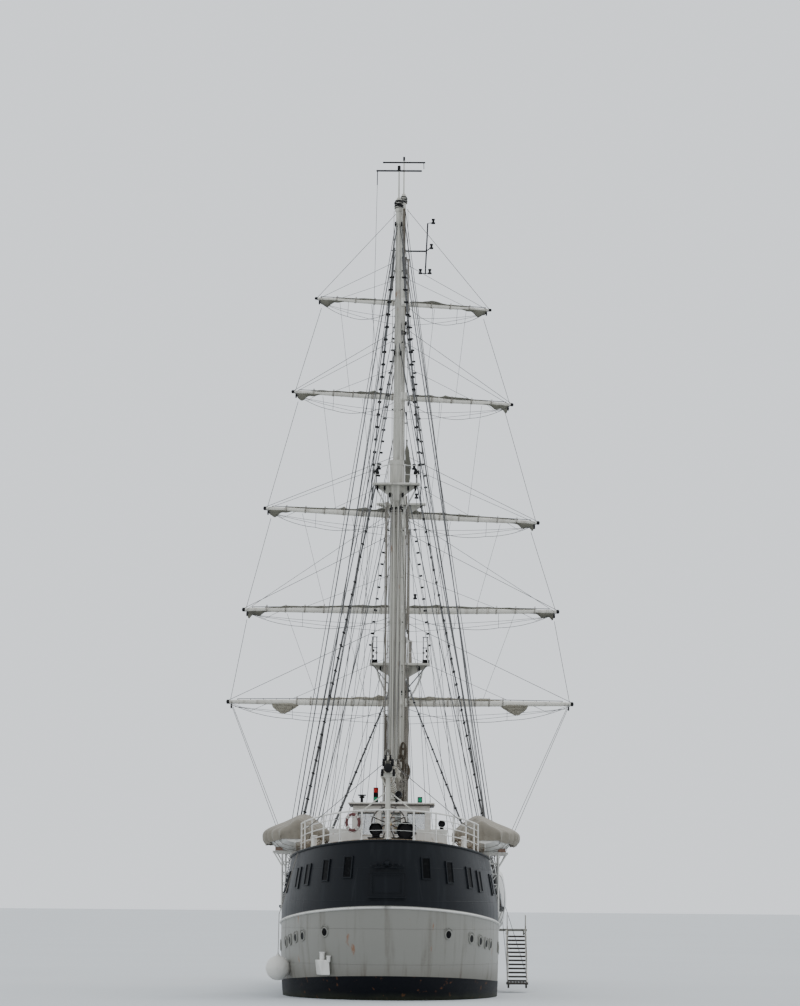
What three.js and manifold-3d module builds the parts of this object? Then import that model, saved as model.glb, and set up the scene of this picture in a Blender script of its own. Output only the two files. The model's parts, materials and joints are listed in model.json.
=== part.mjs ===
// Two-masted brigantine, a steel tall ship, as a 1:2 scale model.
// Every size below is in metres of the real ship. MM_PER_METRE turns them into the
// millimetres of the 1:2 model. +Y is forward, +X is starboard, +Z is up, and the
// origin is amidships on the centreline at the waterline.

import * as THREE from 'three';
import { mergeVertices } from 'three/addons/utils/BufferGeometryUtils.js';
import Module from 'manifold-3d';

const wasm = await Module();
wasm.setup();

// Scale and fits
const MM_PER_METRE = 500;
const GAP = 0.0008;
const RUNNING_GAP = 0.014;
const PIN_SIDES = 20;
const boreFor = (pinRadius) => (pinRadius + 0.0006) / Math.cos(Math.PI / PIN_SIDES);
const FAR = 30;

// Hull form: one row per level, from the flat keel up to above the poop deck
const HULL_LEVELS = [
  { z: -3.40, half: 0.20, stern: -15.0, run: 4.0, sternPower: 2.0, bow: 13.4, entry: 6.0, bowPower: 2.0 },
  { z: -3.18, half: 1.75, stern: -15.0, run: 12.0, sternPower: 1.25, bow: 14.0, entry: 13.0, bowPower: 1.25 },
  { z: -2.55, half: 3.15, stern: -15.0, run: 12.5, sternPower: 1.3, bow: 14.9, entry: 14.0, bowPower: 1.35 },
  { z: -1.75, half: 3.90, stern: -15.0, run: 12.0, sternPower: 1.4, bow: 15.8, entry: 14.5, bowPower: 1.45 },
  { z: -1.00, half: 4.16, stern: -15.05, run: 11.6, sternPower: 1.5, bow: 16.5, entry: 14.5, bowPower: 1.5 },
  { z: -0.62, half: 4.23, stern: -16.9, run: 10.2, sternPower: 1.75, bow: 16.8, entry: 14.5, bowPower: 1.54 },
  { z: -0.28, half: 4.27, stern: -18.0, run: 9.0, sternPower: 1.9, bow: 17.0, entry: 14.5, bowPower: 1.57 },
  { z: 0.00, half: 4.30, stern: -18.4, run: 8.2, sternPower: 2.0, bow: 17.2, entry: 14.5, bowPower: 1.6 },
  { z: 0.90, half: 4.33, stern: -18.85, run: 7.7, sternPower: 2.0, bow: 17.7, entry: 14.2, bowPower: 1.65 },
  { z: 2.20, half: 4.35, stern: -19.0, run: 7.5, sternPower: 2.0, bow: 18.3, entry: 13.6, bowPower: 1.75 },
  { z: 3.55, half: 4.33, stern: -19.05, run: 7.5, sternPower: 2.0, bow: 19.0, entry: 13.0, bowPower: 1.85 },
  { z: 5.00, half: 4.05, stern: -18.95, run: 7.4, sternPower: 2.0, bow: 19.9, entry: 12.2, bowPower: 2.0 },
  { z: 7.00, half: 3.62, stern: -18.7, run: 7.3, sternPower: 2.0, bow: 21.2, entry: 11.6, bowPower: 2.1 },
];
const ARC_DEGREES = [0, 9, 20, 33, 48, 68, 90];
const MIDBODY_FRACTIONS = [0.34, 0.67];

// Sheer of the main deck, and of the boot-top's upper edge, by position along the ship
const SHEER = [
  { y: -20.5, deck: 3.72, boot: 1.00 },
  { y: -18.0, deck: 3.46, boot: 0.88 },
  { y: -15.5, deck: 3.22, boot: 0.76 },
  { y: -13.0, deck: 3.01, boot: 0.66 },
  { y: -10.8, deck: 2.86, boot: 0.60 },
  { y: -8.0, deck: 2.69, boot: 0.56 },
  { y: -4.0, deck: 2.54, boot: 0.55 },
  { y: 1.0, deck: 2.47, boot: 0.55 },
  { y: 6.0, deck: 2.56, boot: 0.56 },
  { y: 11.5, deck: 2.86, boot: 0.62 },
  { y: 16.0, deck: 3.27, boot: 0.74 },
  { y: 22.0, deck: 3.97, boot: 0.92 },
];
const POOP_HEIGHT = 2.51;
const POOP_BREAK_Y = -8.0;
const FORECASTLE_HEIGHT = 2.0;
const FORECASTLE_BREAK_Y = 11.5;
const BULWARK_HEIGHT = 1.05;
const BULWARK_THICKNESS = 0.12;
const DECK_PLANK = 0.06;
const STRAKE_WIDTH = 0.07;
const KEEL_BOTTOM_Z = -3.40;

// Masts
const FOREMAST_Y = 9.0;
const MAINMAST_Y = -5.0;
const FOREMAST_PROFILE = [
  [0.42, 2.6], [0.42, 3.1], [0.275, 3.25], [0.262, 14.0], [0.30, 14.1], [0.30, 15.7], [0.33, 15.7],
  [0.33, 15.95], [0.20, 15.95], [0.185, 21.6], [0.22, 21.7], [0.22, 23.1], [0.145, 23.2], [0.105, 36.4],
  [0.15, 36.45], [0.15, 36.7], [0.08, 36.92], [0.035, 36.95], [0.03, 38.62],
];
const MAINMAST_PROFILE = [
  [0.42, 2.5], [0.42, 2.95], [0.275, 3.1], [0.255, 20.6], [0.29, 20.7], [0.29, 22.2], [0.31, 22.2],
  [0.31, 22.4], [0.165, 22.4], [0.12, 33.15], [0.17, 33.2], [0.17, 33.6], [0.08, 33.78], [0.035, 33.82],
  [0.03, 35.16],
];
const MAST_SIDES = 16;
const FORE_TOP = { z: 14.62, width: 2.8, depth: 1.9, thickness: 0.09, bracketDepth: 0.62 };
const FORE_CROSSTREES = { z: 22.12, width: 2.3, depth: 0.8, thickness: 0.08, bracketDepth: 0.5 };
const MAIN_CROSSTREES = { z: 21.32, width: 2.0, depth: 1.1, thickness: 0.08, bracketDepth: 0.5 };

// Yards: centre height, length, middle radius, tip radius, how many degrees the starboard end hangs
// down, radius of the mast inside the collar, and where the sail's clews are bunched
const YARD_OFFSET = 0.66;
const COLLAR_HALF_HEIGHT = 0.16;
const YARDS = [
  { name: 'course', z: 12.94, length: 16.1, radius: 0.17, tip: 0.09, cant: 0,
    mast: 0.268, bunchAt: 0.67, roll: 0.10, drop: 0 },
  { name: 'lower_topsail', z: 17.25, length: 14.75, radius: 0.16, tip: 0.085, cant: 0,
    mast: 0.20, bunchAt: 0.93, roll: 0.10, drop: 0 },
  { name: 'upper_topsail', z: 21.72, length: 12.9, radius: 0.145, tip: 0.08, cant: 2.7,
    mast: 0.187, bunchAt: 0.93, roll: 0.085, drop: 0.42 },
  { name: 'topgallant', z: 27.28, length: 10.4, radius: 0.125, tip: 0.07, cant: 3.1,
    mast: 0.134, bunchAt: 0.92, roll: 0.085, drop: 0 },
  { name: 'royal', z: 31.76, length: 8.3, radius: 0.105, tip: 0.06, cant: 3.6,
    mast: 0.121, bunchAt: 0.90, roll: 0.08, drop: 0 },
];

// The furled sail along half a yard: distance from the middle as a share of the way to the bunch or
// back from it in metres, how far it has slipped from the top of the yard to below it, and its size
const FURL_STEPS = [
  { share: 0, back: 0, down: 0, size: 1.25 },
  { share: 0.4, back: 0, down: 0, size: 1.1 },
  { share: 1, back: 1.1, down: 0, size: 1.0 },
  { share: 1, back: 0.75, down: 0.4, size: 1.2 },
  { share: 1, back: 0.35, down: 1, size: 1.7 },
  { share: 1, back: -0.02, down: 1, size: 2.0 },
  { share: 1, back: -0.3, down: 1, size: 0.9 },
];

// Standing rigging: feet along the channel, and heads on the mast
const WIRE_RADIUS = 0.026;
const WIRE_SIDES = 5;
const CHANNEL_WIDTH = 0.30;
const CHANNEL_THICKNESS = 0.10;
const CHANNEL_ABOVE_DECK = 0.78;
const FORE_WIRES = [
  { footY: 8.5, headX: 0.1, headY: 8.82, headZ: 14.35 },
  { footY: 7.8, headX: 0.1, headY: 8.76, headZ: 14.35 },
  { footY: 7.1, headX: 0.1, headY: 8.7, headZ: 14.35 },
  { footY: 6.2, headX: 0.4, headY: 8.72, headZ: 22.16 },
  { footY: 5.3, headX: 0.05, headY: 8.9, headZ: 30.3 },
  { footY: 4.5, headX: 0.05, headY: 8.94, headZ: 35.6 },
];
const MAIN_WIRES = [
  { footY: -5.2, headX: 0.86, headY: -5.0, headZ: 21.4 },
  { footY: -5.9, headX: 0.86, headY: -5.15, headZ: 21.4 },
  { footY: -6.6, headX: 0.86, headY: -5.3, headZ: 21.4 },
  { footY: -7.3, headX: 0.05, headY: -5.1, headZ: 27.5 },
  { footY: -7.8, headX: 0.05, headY: -5.08, headZ: 32.6 },
];

const FORE_UPPERS = [0, 1, 2].map((k) => ({
  onShroud: k, leaveZ: 13.6, rim: [1.45, 8.86 - 0.16 * k, 14.86], head: [0.5, 8.9 - 0.06 * k, 22.16],
  next: { leaveZ: 20.9, rim: [1.2, 8.96 - 0.09 * k, 22.26], head: [0.13, 8.96 - 0.03 * k, 33.0 - 0.4 * k] },
}));
const MAIN_UPPERS = [0, 1, 2].map((k) => ({
  onShroud: k, leaveZ: 20.6, rim: [1.05, -5.0 - 0.13 * k, 21.5], head: [0.16, -5.03 - 0.03 * k, 32.0 - 0.4 * k],
}));
const STAYS = [
  { name: 'fore_stay', mast: 'fore', head: [0, 9.1, 14.4], foot: [0, 19.6, 6.4], lands: 'bowsprit' },
  { name: 'jib_stay', mast: 'fore', head: [0, 9.1, 24.2], foot: [0, 23.6, 7.3], lands: 'bowsprit' },
  { name: 'flying_jib_stay', mast: 'fore', head: [0, 9.05, 33.6], foot: [0, 27.3, 8.15], lands: 'bowsprit' },
  { name: 'main_stay', mast: 'main', head: [0, -4.85, 20.9], foot: [0, 8.3, 2.5], lands: 'deck' },
];

// Masthead bars, and the instrument arm near the foremast's head
const FORE_BAR = { half: 0.95, z: 38.43, radius: 0.03 };
const MAIN_BAR = { half: 0.93, z: 34.97, radius: 0.03 };
const INSTRUMENT_ARM = { rootX: 0.05, reach: 1.10, z: 34.18, radius: 0.03 };
const INSTRUMENT_POST = { lowX: 1.04, lowZ: 33.12, highX: 1.14, highZ: 35.5, radius: 0.025 };

// Bowsprit, with the striker below it and the bobstay round the striker's foot
const BOWSPRIT = { heel: [0, 17.2, 5.75], tip: [0, 27.6, 8.2], heelRadius: 0.24, tipRadius: 0.11 };
const SADDLE = { half: 0.35, aftY: 17.0, foreY: 18.4, lowZ: 5.2, highZ: 5.85 };
const STRIKER = { head: [0, 21.6, 6.78], foot: [0, 21.8, 4.6], headRadius: 0.07, footRadius: 0.05 };
const BOBSTAY = { outer: [0, 27.2, 8.1], middle: [0, 21.78, 4.7], stem: [0, 18.35, 1.9], radius: 0.03 };

// Rudder and propeller
const RUDDER_AXIS_Y = -16.45;
const RUDDER = { half: 0.1, stock: 0.13, pintle: 0.06, stockTop: -0.25, pintleFoot: -3.28 };
const RUDDER_OUTLINE = [
  [-17.75, -3.05], [-17.75, -1.35], [-16.9, -1.05], [-16.1, -1.05], [-16.0, -1.4], [-16.0, -3.05],
];
const RUDDER_TRUNK = { radius: 0.145, lowZ: -1.3, highZ: -0.2 };
const SHAFT = { z: -2.05, radius: 0.06, aftY: -15.3, foreY: -14.45, bossAftY: -15.05, bossForeY: -12.6 };
const PROPELLER = {
  y: -15.35, blades: 4, pitchDegrees: 28, bladeThickness: 0.05, hubAftY: -15.62, hubForeY: -15.08,
};
const SOLE_PIECE = { half: 0.16, aftY: -16.75, foreY: -14.2, topZ: -3.19 };

// Deck and side fittings: the hatch, the windlass and the outlet low on the stern
const HATCH = { half: 1.3, aftY: 1.2, foreY: 4.6, topZ: 3.15 };
const WINDLASS = { y: 14.0, innerX: 0.8, outerX: 1.0, half: 0.4, height: 0.7, barrelHalf: 1.25, barrel: 0.24 };
const OUTLET = { portX: -2.74, innerX: -2.22, aftY: -18.6, foreY: -17.3, lowZ: 0.92, highZ: 1.6, pipeX: -2.34 };
const PANEL = { halfWidth: 0.64, low: 3.92, high: 4.80, scrollLow: 5.03, scrollHigh: 5.27 };
const GANGWAY = { aftY: -1.0, foreY: -0.1, lowZ: 2.75 };

// Boarding ladder on the starboard side, and the bracket that carries its pins
const LADDER = {
  lowX: 4.8, highX: 5.66, topY: -1.1, topZ: 2.58, footY: -4.6, footZ: 0.5, treads: 12,
  pinY: -1.2, pinZ: 2.43, pin: 0.025, side: 0.05, sideDepth: 0.18, treadHalf: 0.11, treadThickness: 0.04,
};
const BRACKET = { innerX: 4.30, outerX: 5.72, aftY: -1.0, foreY: -0.15, lowZ: 2.52, highZ: 2.62 };

// A tender stowed on edge, and a ball fender
const TENDER = { aftY: -4.85, foreY: -1.75, lowZ: 2.62, highZ: 5.14, faceX: 4.2, flat: 0.12, bulge: 0.45 };
const TENDER_STATIONS = [
  { at: 0, tall: 0.45, bulge: 0.2 }, { at: 0.15, tall: 0.82, bulge: 0.75 }, { at: 0.45, tall: 1.0, bulge: 1.0 },
  { at: 0.75, tall: 0.9, bulge: 0.85 }, { at: 0.92, tall: 0.6, bulge: 0.5 }, { at: 1, tall: 0.3, bulge: 0.15 },
];
const TENDER_ARC = [[0, -1], [0.55, -0.93], [0.9, -0.6], [1, 0], [0.9, 0.6], [0.55, 0.93], [0, 1]];
const FENDER = { x: -4.312, y: -14.664, z: 1.12, radius: 0.48, eye: 0.06 };

// Main boom with its furled sail, and the crutch that it rests over
const BOOM = { pinY: -5.48, heelY: -5.4, heelZ: 8.3, endY: -19.1, endZ: 8.78, radius: 0.15 };
const BOOM_ROLL = [
  { y: -6.1, size: 0.13 }, { y: -6.8, size: 0.3 }, { y: -9, size: 0.34 }, { y: -13, size: 0.3 },
  { y: -17, size: 0.24 }, { y: -18.3, size: 0.2 }, { y: -18.8, size: 0.1 },
];
const CRUTCH_Y = -18.5;

// Stern rail, lockers, vents, steering wheel and lifebuoy
const RAIL = { inset: 0.14, height: 1.1, middle: 0.58, radius: 0.032, endY: -13.9, level: 6.0 };
const WHEEL = { y: -16.55, z: 6.72, rim: 0.66, tube: 0.045, reach: 0.76, spoke: 0.026, hub: 0.12, axle: 0.04 };
const WHEEL_STAND = { half: 0.2, aft: 0.13, fore: 0.55, aboveWheel: 0.22 };
const LOCKER = { innerX: 1.08, outerX: 2.27, aftY: -16.95, foreY: -16.35, topZ: 6.44, wall: 0.04, lid: 0.05 };
const BUOY = {
  post: [-1.262, -18.255], outward: [-0.598, -0.801], standOff: 0.12, ring: 0.305, tube: 0.06, z: 6.72,
};
const VENT_Y = -17.95;
const VENTS = [{ x: -0.46, z: 6.47, radius: 0.25 }, { x: 0.68, z: 6.42, radius: 0.33 }];
const PLINTH = { portX: -0.75, starboardX: 0.98, aftY: -18.15, foreY: -17.75, topZ: 6.16 };

// Wheelhouse: its walls, the windows by wall, and the hinged door on the port side
const HOUSE = { half: 1.55, aftY: -10.9, foreY: -8.3, topZ: 7.58, wall: 0.08, floorZ: 5.45 };
const HOUSE_ROOF = { half: 1.76, aftY: -11.15, foreY: -8.03, thickness: 0.12 };
const PANE = { lowZ: 6.55, highZ: 7.25 };
const FRONT_PANES = { at: [-0.95, 0, 0.95], half: 0.36 };
const AFT_PANES = { at: [-0.8, 0.8], half: 0.3 };
const STARBOARD_PANES = { at: [-10.3, -9.35], half: 0.3 };
const PORT_PANE = { aftY: -10.6, foreY: -9.9 };
const DOOR = {
  foreY: -8.45, width: 0.66, lowZ: 5.47, highZ: 7.32, thickness: 0.06,
  hingeX: -1.587, hingeY: -8.42, knuckles: [5.8, 6.95], knuckle: 0.028, knuckleHalf: 0.05,
};
const DOOR_LIGHT = { aft: 0.5, fore: 0.16, lowZ: 6.6, highZ: 7.15 };

// Two ship's boats under canvas covers: sizes, stations along a boat, sections, and the cradle
const BOAT = { x: 3.75, aftY: -13.5, foreY: -7.98, keelZ: 5.72, gunwaleZ: 6.5, half: 1.16, ridgeZ: 7.22 };
const BOAT_STATIONS = [
  { at: 0.0, beam: 0.42, rise: 0.42 }, { at: 0.12, beam: 0.74, rise: 0.14 },
  { at: 0.32, beam: 0.97, rise: 0.0 }, { at: 0.55, beam: 1.0, rise: 0.0 },
  { at: 0.78, beam: 0.8, rise: 0.1 }, { at: 0.93, beam: 0.4, rise: 0.3 },
  { at: 1.0, beam: 0.07, rise: 0.55 },
];
const BOAT_SECTION = [[0.14, 0], [0.6, 0.14], [0.9, 0.45], [1.0, 1.0]];
const COVER = { skirt: 0.42, ends: 0.05, sides: 0.08, ridgeHalf: 0.05, lowRidge: 0.12 };
const CRADLE = {
  frameYs: [-12.2, -9.4], half: 0.06, innerX: 2.55, footX: 2.7, outerX: 4.7, postInnerX: 3.9, postOuterX: 4.35,
  postFootZ: 3.35, beamDepth: 0.1, chocks: [0.55, -0.85], chockWidth: 0.3, chockHeight: 0.35,
};

// Paints and materials
const material = (hex, roughness, metalness) =>
  new THREE.MeshStandardMaterial({ color: hex, roughness, metalness });
const WHITE_STEEL = () => material(0xd9d7cf, 0.5, 0.0);
const SPAR_PAINT = () => material(0xd2d0c4, 0.5, 0.0);
const SLATE_PAINT = () => material(0x2a3038, 0.45, 0.0);
const BOOT_PAINT = () => material(0x151b28, 0.6, 0.0);
const DECK_TEAK = () => material(0x9a7b58, 0.8, 0.0);
const SAILCLOTH = () => material(0x9a9585, 0.95, 0.0);
const COVER_CANVAS = () => material(0xcdc4ae, 0.95, 0.0);
const WIRE = () => material(0x3a3d40, 0.6, 0.3);
const BLACK_PAINT = () => material(0x17181a, 0.5, 0.0);
const BRONZE = () => material(0x9c7a3c, 0.35, 0.9);
const BUOY_PAINT = () => material(0x8c2f2a, 0.7, 0.0);
const VARNISH = () => material(0x5a3a24, 0.4, 0.0);

// Solids
function toSolid(geometry) {
  const bare = geometry.clone();
  bare.deleteAttribute('normal');
  bare.deleteAttribute('uv');
  const merged = mergeVertices(bare, 1e-5);
  const mesh = new wasm.Mesh({
    numProp: 3,
    vertProperties: new Float32Array(merged.attributes.position.array),
    triVerts: new Uint32Array(merged.index.array),
  });
  mesh.merge();
  return new wasm.Manifold(mesh);
}

function unite(solids) {
  return solids.reduce((sum, solid) => sum.add(solid));
}

function signedVolume(positions, triangles) {
  let volume = 0;
  for (let t = 0; t < triangles.length; t += 3) {
    const corner = (k) => new THREE.Vector3().fromArray(positions, 3 * triangles[t + k]);
    const [a, b, c] = [corner(0), corner(1), corner(2)];
    volume += a.dot(b.cross(c)) / 6;
  }
  return volume;
}

// Skins a row of closed rings with the same number of points, and caps both ends
function loft(rings) {
  const count = rings[0].length;
  const positions = rings.flat(2);
  const triangles = [];
  for (let r = 0; r + 1 < rings.length; r += 1) {
    for (let k = 0; k < count; k += 1) {
      const next = (k + 1) % count;
      const [a, b] = [r * count + k, r * count + next];
      const [c, d] = [(r + 1) * count + k, (r + 1) * count + next];
      triangles.push(a, b, d, a, d, c);
    }
  }
  [0, rings.length - 1].forEach((r) => {
    const ring = rings[r];
    const centre = [0, 1, 2].map((axis) => ring.reduce((sum, p) => sum + p[axis], 0) / count);
    const centreIndex = positions.length / 3;
    positions.push(...centre);
    for (let k = 0; k < count; k += 1) {
      const [a, b] = [r * count + k, r * count + ((k + 1) % count)];
      triangles.push(...(r === 0 ? [centreIndex, b, a] : [centreIndex, a, b]));
    }
  });
  if (signedVolume(positions, triangles) < 0) {
    triangles.reverse();
  }
  const geometry = new THREE.BufferGeometry();
  geometry.setAttribute('position', new THREE.Float32BufferAttribute(positions, 3));
  geometry.setIndex(triangles);
  return toSolid(geometry);
}

function box(low, high) {
  const size = high.map((value, axis) => value - low[axis]);
  const centre = high.map((value, axis) => (value + low[axis]) / 2);
  return toSolid(new THREE.BoxGeometry(...size).translate(...centre));
}

function rod(start, end, startRadius, endRadius = startRadius, sides = 8) {
  const a = new THREE.Vector3(...start);
  const b = new THREE.Vector3(...end);
  const along = b.clone().sub(a);
  const geometry = new THREE.CylinderGeometry(endRadius, startRadius, along.length(), sides);
  const turn = new THREE.Quaternion().setFromUnitVectors(new THREE.Vector3(0, 1, 0), along.clone().normalize());
  geometry.applyQuaternion(turn);
  const middle = a.add(b).multiplyScalar(0.5);
  return toSolid(geometry.translate(middle.x, middle.y, middle.z));
}

// Turns a profile of [radius, height] pairs about a vertical line at x, y
function turned(profile, x, y, sides) {
  const [first, last] = [profile[0], profile[profile.length - 1]];
  const points = [[0, first[1]], ...profile, [0, last[1]]].map(([r, z]) => new THREE.Vector2(r, z));
  const geometry = new THREE.LatheGeometry(points, sides);
  geometry.rotateX(Math.PI / 2);
  const solid = toSolid(geometry);
  return (solid.volume() < 0 ? toSolid(flipped(geometry)) : solid).translate([x, y, 0]);
}

function flipped(geometry) {
  const copy = geometry.clone();
  copy.setIndex([...copy.index.array].reverse());
  return copy;
}

// Extrudes a [y, z] outline across the ship between two x positions
function acrossPrism(outline, lowX, highX) {
  const shape = new THREE.Shape(outline.map(([y, z]) => new THREE.Vector2(y, z)));
  const geometry = new THREE.ExtrudeGeometry(shape, { depth: highX - lowX, bevelEnabled: false });
  geometry.applyMatrix4(new THREE.Matrix4().set(0, 0, 1, lowX, 1, 0, 0, 0, 0, 1, 0, 0, 0, 0, 0, 1));
  return toSolid(geometry);
}

// Extrudes an [x, y] outline upward between two heights
function uprightPrism(outline, lowZ, highZ) {
  const shape = new THREE.Shape(outline.map(([x, y]) => new THREE.Vector2(x, y)));
  const geometry = new THREE.ExtrudeGeometry(shape, { depth: highZ - lowZ, bevelEnabled: false });
  return toSolid(geometry.translate(0, 0, lowZ));
}

// Sweeps a round bar along a path of points
function bar(path, radius, sides = 5) {
  const points = path.map((p) => new THREE.Vector3(...p));
  const rings = points.map((point, i) => {
    const before = points[Math.max(i - 1, 0)];
    const after = points[Math.min(i + 1, points.length - 1)];
    const along = after.clone().sub(before).normalize();
    const lead = Math.abs(along.z) > 0.9 ? new THREE.Vector3(0, 1, 0) : new THREE.Vector3(0, 0, 1);
    const u = lead.clone().cross(along).normalize();
    const v = along.clone().cross(u);
    return Array.from({ length: sides }, (_, k) => {
      const angle = (2 * Math.PI * k) / sides;
      const p = point.clone();
      p.addScaledVector(u, radius * Math.cos(angle));
      p.addScaledVector(v, radius * Math.sin(angle));
      return [p.x, p.y, p.z];
    });
  });
  return loft(rings);
}

const mix = (a, b, t) => a + (b - a) * t;

function sheerAt(y, key) {
  const found = SHEER.findIndex((row) => row.y > y);
  const i = found < 0 ? SHEER.length - 1 : Math.max(found, 1);
  const [a, b] = [SHEER[i - 1], SHEER[i]];
  return mix(a[key], b[key], (y - a.y) / (b.y - a.y));
}

function levelAt(z) {
  const last = HULL_LEVELS.length - 1;
  const found = HULL_LEVELS.findIndex((row) => row.z > z);
  const i = found < 0 ? last : Math.max(found, 1);
  const [a, b] = [HULL_LEVELS[i - 1], HULL_LEVELS[i]];
  const t = (z - a.z) / (b.z - a.z);
  return Object.fromEntries(Object.keys(a).map((key) => [key, mix(a[key], b[key], t)]));
}

// Half-breadth of the hull at a place along the ship and a height
function halfBreadth(y, z) {
  const level = levelAt(z);
  const fromStern = y - level.stern;
  const fromBow = level.bow - y;
  const oval = (distance, length, power) => (1 - Math.abs(1 - distance / length) ** power) ** (1 / power);
  if (fromStern < level.run) {
    return level.half * oval(Math.max(fromStern, 0), level.run, level.sternPower);
  }
  if (fromBow < level.entry) {
    return level.half * oval(Math.max(fromBow, 0), level.entry, level.bowPower);
  }
  return level.half;
}

// One closed level line of the hull, grown outward by an offset
function hullRing(level, offset) {
  const half = level.half + offset;
  const stern = level.stern - offset;
  const bow = level.bow + offset;
  const run = level.run + offset;
  const entry = level.entry + offset;
  const side = [];
  ARC_DEGREES.forEach((degrees) => {
    const angle = THREE.MathUtils.degToRad(degrees);
    const [c, s] = [Math.max(Math.cos(angle), 0), Math.sin(angle)];
    side.push([half * s ** (2 / level.sternPower), stern + run * (1 - c ** (2 / level.sternPower))]);
  });
  MIDBODY_FRACTIONS.forEach((fraction) => side.push([half, mix(stern + run, bow - entry, fraction)]));
  [...ARC_DEGREES].reverse().forEach((degrees) => {
    const angle = THREE.MathUtils.degToRad(degrees);
    const [c, s] = [Math.max(Math.cos(angle), 0), Math.sin(angle)];
    side.push([half * s ** (2 / level.bowPower), bow - entry * (1 - c ** (2 / level.bowPower))]);
  });
  const port = side.slice(1, -1).reverse().map(([x, y]) => [-x, y]);
  return [...side, ...port].map(([x, y]) => [x, y, level.z]);
}

const hullForm = (offset) => loft(HULL_LEVELS.map((level) => hullRing(level, offset)));

// The space across the ship between two lines that follow the sheer
function sheerLayer(key, lowOffset, highOffset, startY = -20.5, endY = 22) {
  const inside = SHEER.map((row) => row.y).filter((y) => y > startY && y < endY);
  const stations = [startY, ...inside, endY];
  const low = stations.map((y) => [y, sheerAt(y, key) + lowOffset]);
  const high = stations.map((y) => [y, sheerAt(y, key) + highOffset]);
  return acrossPrism([...low, ...high.reverse()], -FAR, FAR);
}

const deckAt = (y) => sheerAt(y, 'deck');
const poopAt = (y) => deckAt(y) + POOP_HEIGHT;
const starboardHalf = box([0, -FAR, -FAR], [FAR, FAR, 2 * FAR]);
const portHalf = box([-FAR, -FAR, -FAR], [0, FAR, 2 * FAR]);

// Assembly
const ship = new THREE.Group();
ship.name = 'tall_ship';

function add(name, solid, finish, position = [0, 0, 0]) {
  const raw = solid.getMesh();
  const geometry = new THREE.BufferGeometry();
  geometry.setAttribute('position', new THREE.Float32BufferAttribute(Array.from(raw.vertProperties), 3));
  geometry.setIndex(Array.from(raw.triVerts));
  geometry.scale(MM_PER_METRE, MM_PER_METRE, MM_PER_METRE);
  geometry.computeVertexNormals();
  const mesh = new THREE.Mesh(geometry, finish());
  mesh.name = name;
  mesh.position.set(...position.map((value) => value * MM_PER_METRE));
  ship.add(mesh);
}

// Hull
const hull = hullForm(0);
const hullGrown = hullForm(STRAKE_WIDTH);
const hullClear = hullForm(GAP);

function buildHull() {
  const belowBoot = sheerLayer('boot', -6, 0);
  const onShaft = (y) => [0, y, SHAFT.z];
  const onRudderAxis = (z) => [0, RUDDER_AXIS_Y, z];
  const shaftBoss = rod(onShaft(SHAFT.bossAftY), onShaft(SHAFT.bossForeY), 0.24, 0.3, 12);
  const solePiece = box(
    [-SOLE_PIECE.half, SOLE_PIECE.aftY, KEEL_BOTTOM_Z], [SOLE_PIECE.half, SOLE_PIECE.foreY, SOLE_PIECE.topZ]);
  const rudderTrunk = rod(onRudderAxis(RUDDER_TRUNK.lowZ), onRudderAxis(RUDDER_TRUNK.highZ),
    RUDDER_TRUNK.radius, RUDDER_TRUNK.radius, 12);
  const shaftBore = rod(onShaft(SHAFT.aftY), onShaft(SHAFT.foreY + 0.05),
    boreFor(SHAFT.radius), boreFor(SHAFT.radius), PIN_SIDES);
  const pintleBore = rod(onRudderAxis(RUDDER.pintleFoot - 0.02), onRudderAxis(-3.0),
    boreFor(RUDDER.pintle), boreFor(RUDDER.pintle), PIN_SIDES);
  const bottom = hull.intersect(belowBoot).add(shaftBoss).add(solePiece);
  add('hull_bottom', bottom.subtract(rudderTrunk).subtract(shaftBore).subtract(pintleBore), BOOT_PAINT);

  const sides = hull.intersect(sheerLayer('boot', GAP, 4.0)).intersect(sheerLayer('deck', -4.0, 0));
  const strake = hullGrown.subtract(hullForm(-0.1)).intersect(sheerLayer('deck', -0.17, -0.01));
  const outletBox = box(
    [OUTLET.portX, OUTLET.aftY, OUTLET.lowZ], [OUTLET.innerX, OUTLET.foreY, OUTLET.highZ]);
  const pipeY = OUTLET.aftY + 0.1;
  const outletPipe = rod([OUTLET.pipeX, pipeY, OUTLET.highZ], [OUTLET.pipeX, pipeY, OUTLET.highZ + 0.18], 0.06);
  add('hull_topsides', unite([sides, strake, outletBox, outletPipe]), WHITE_STEEL);
}

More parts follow.
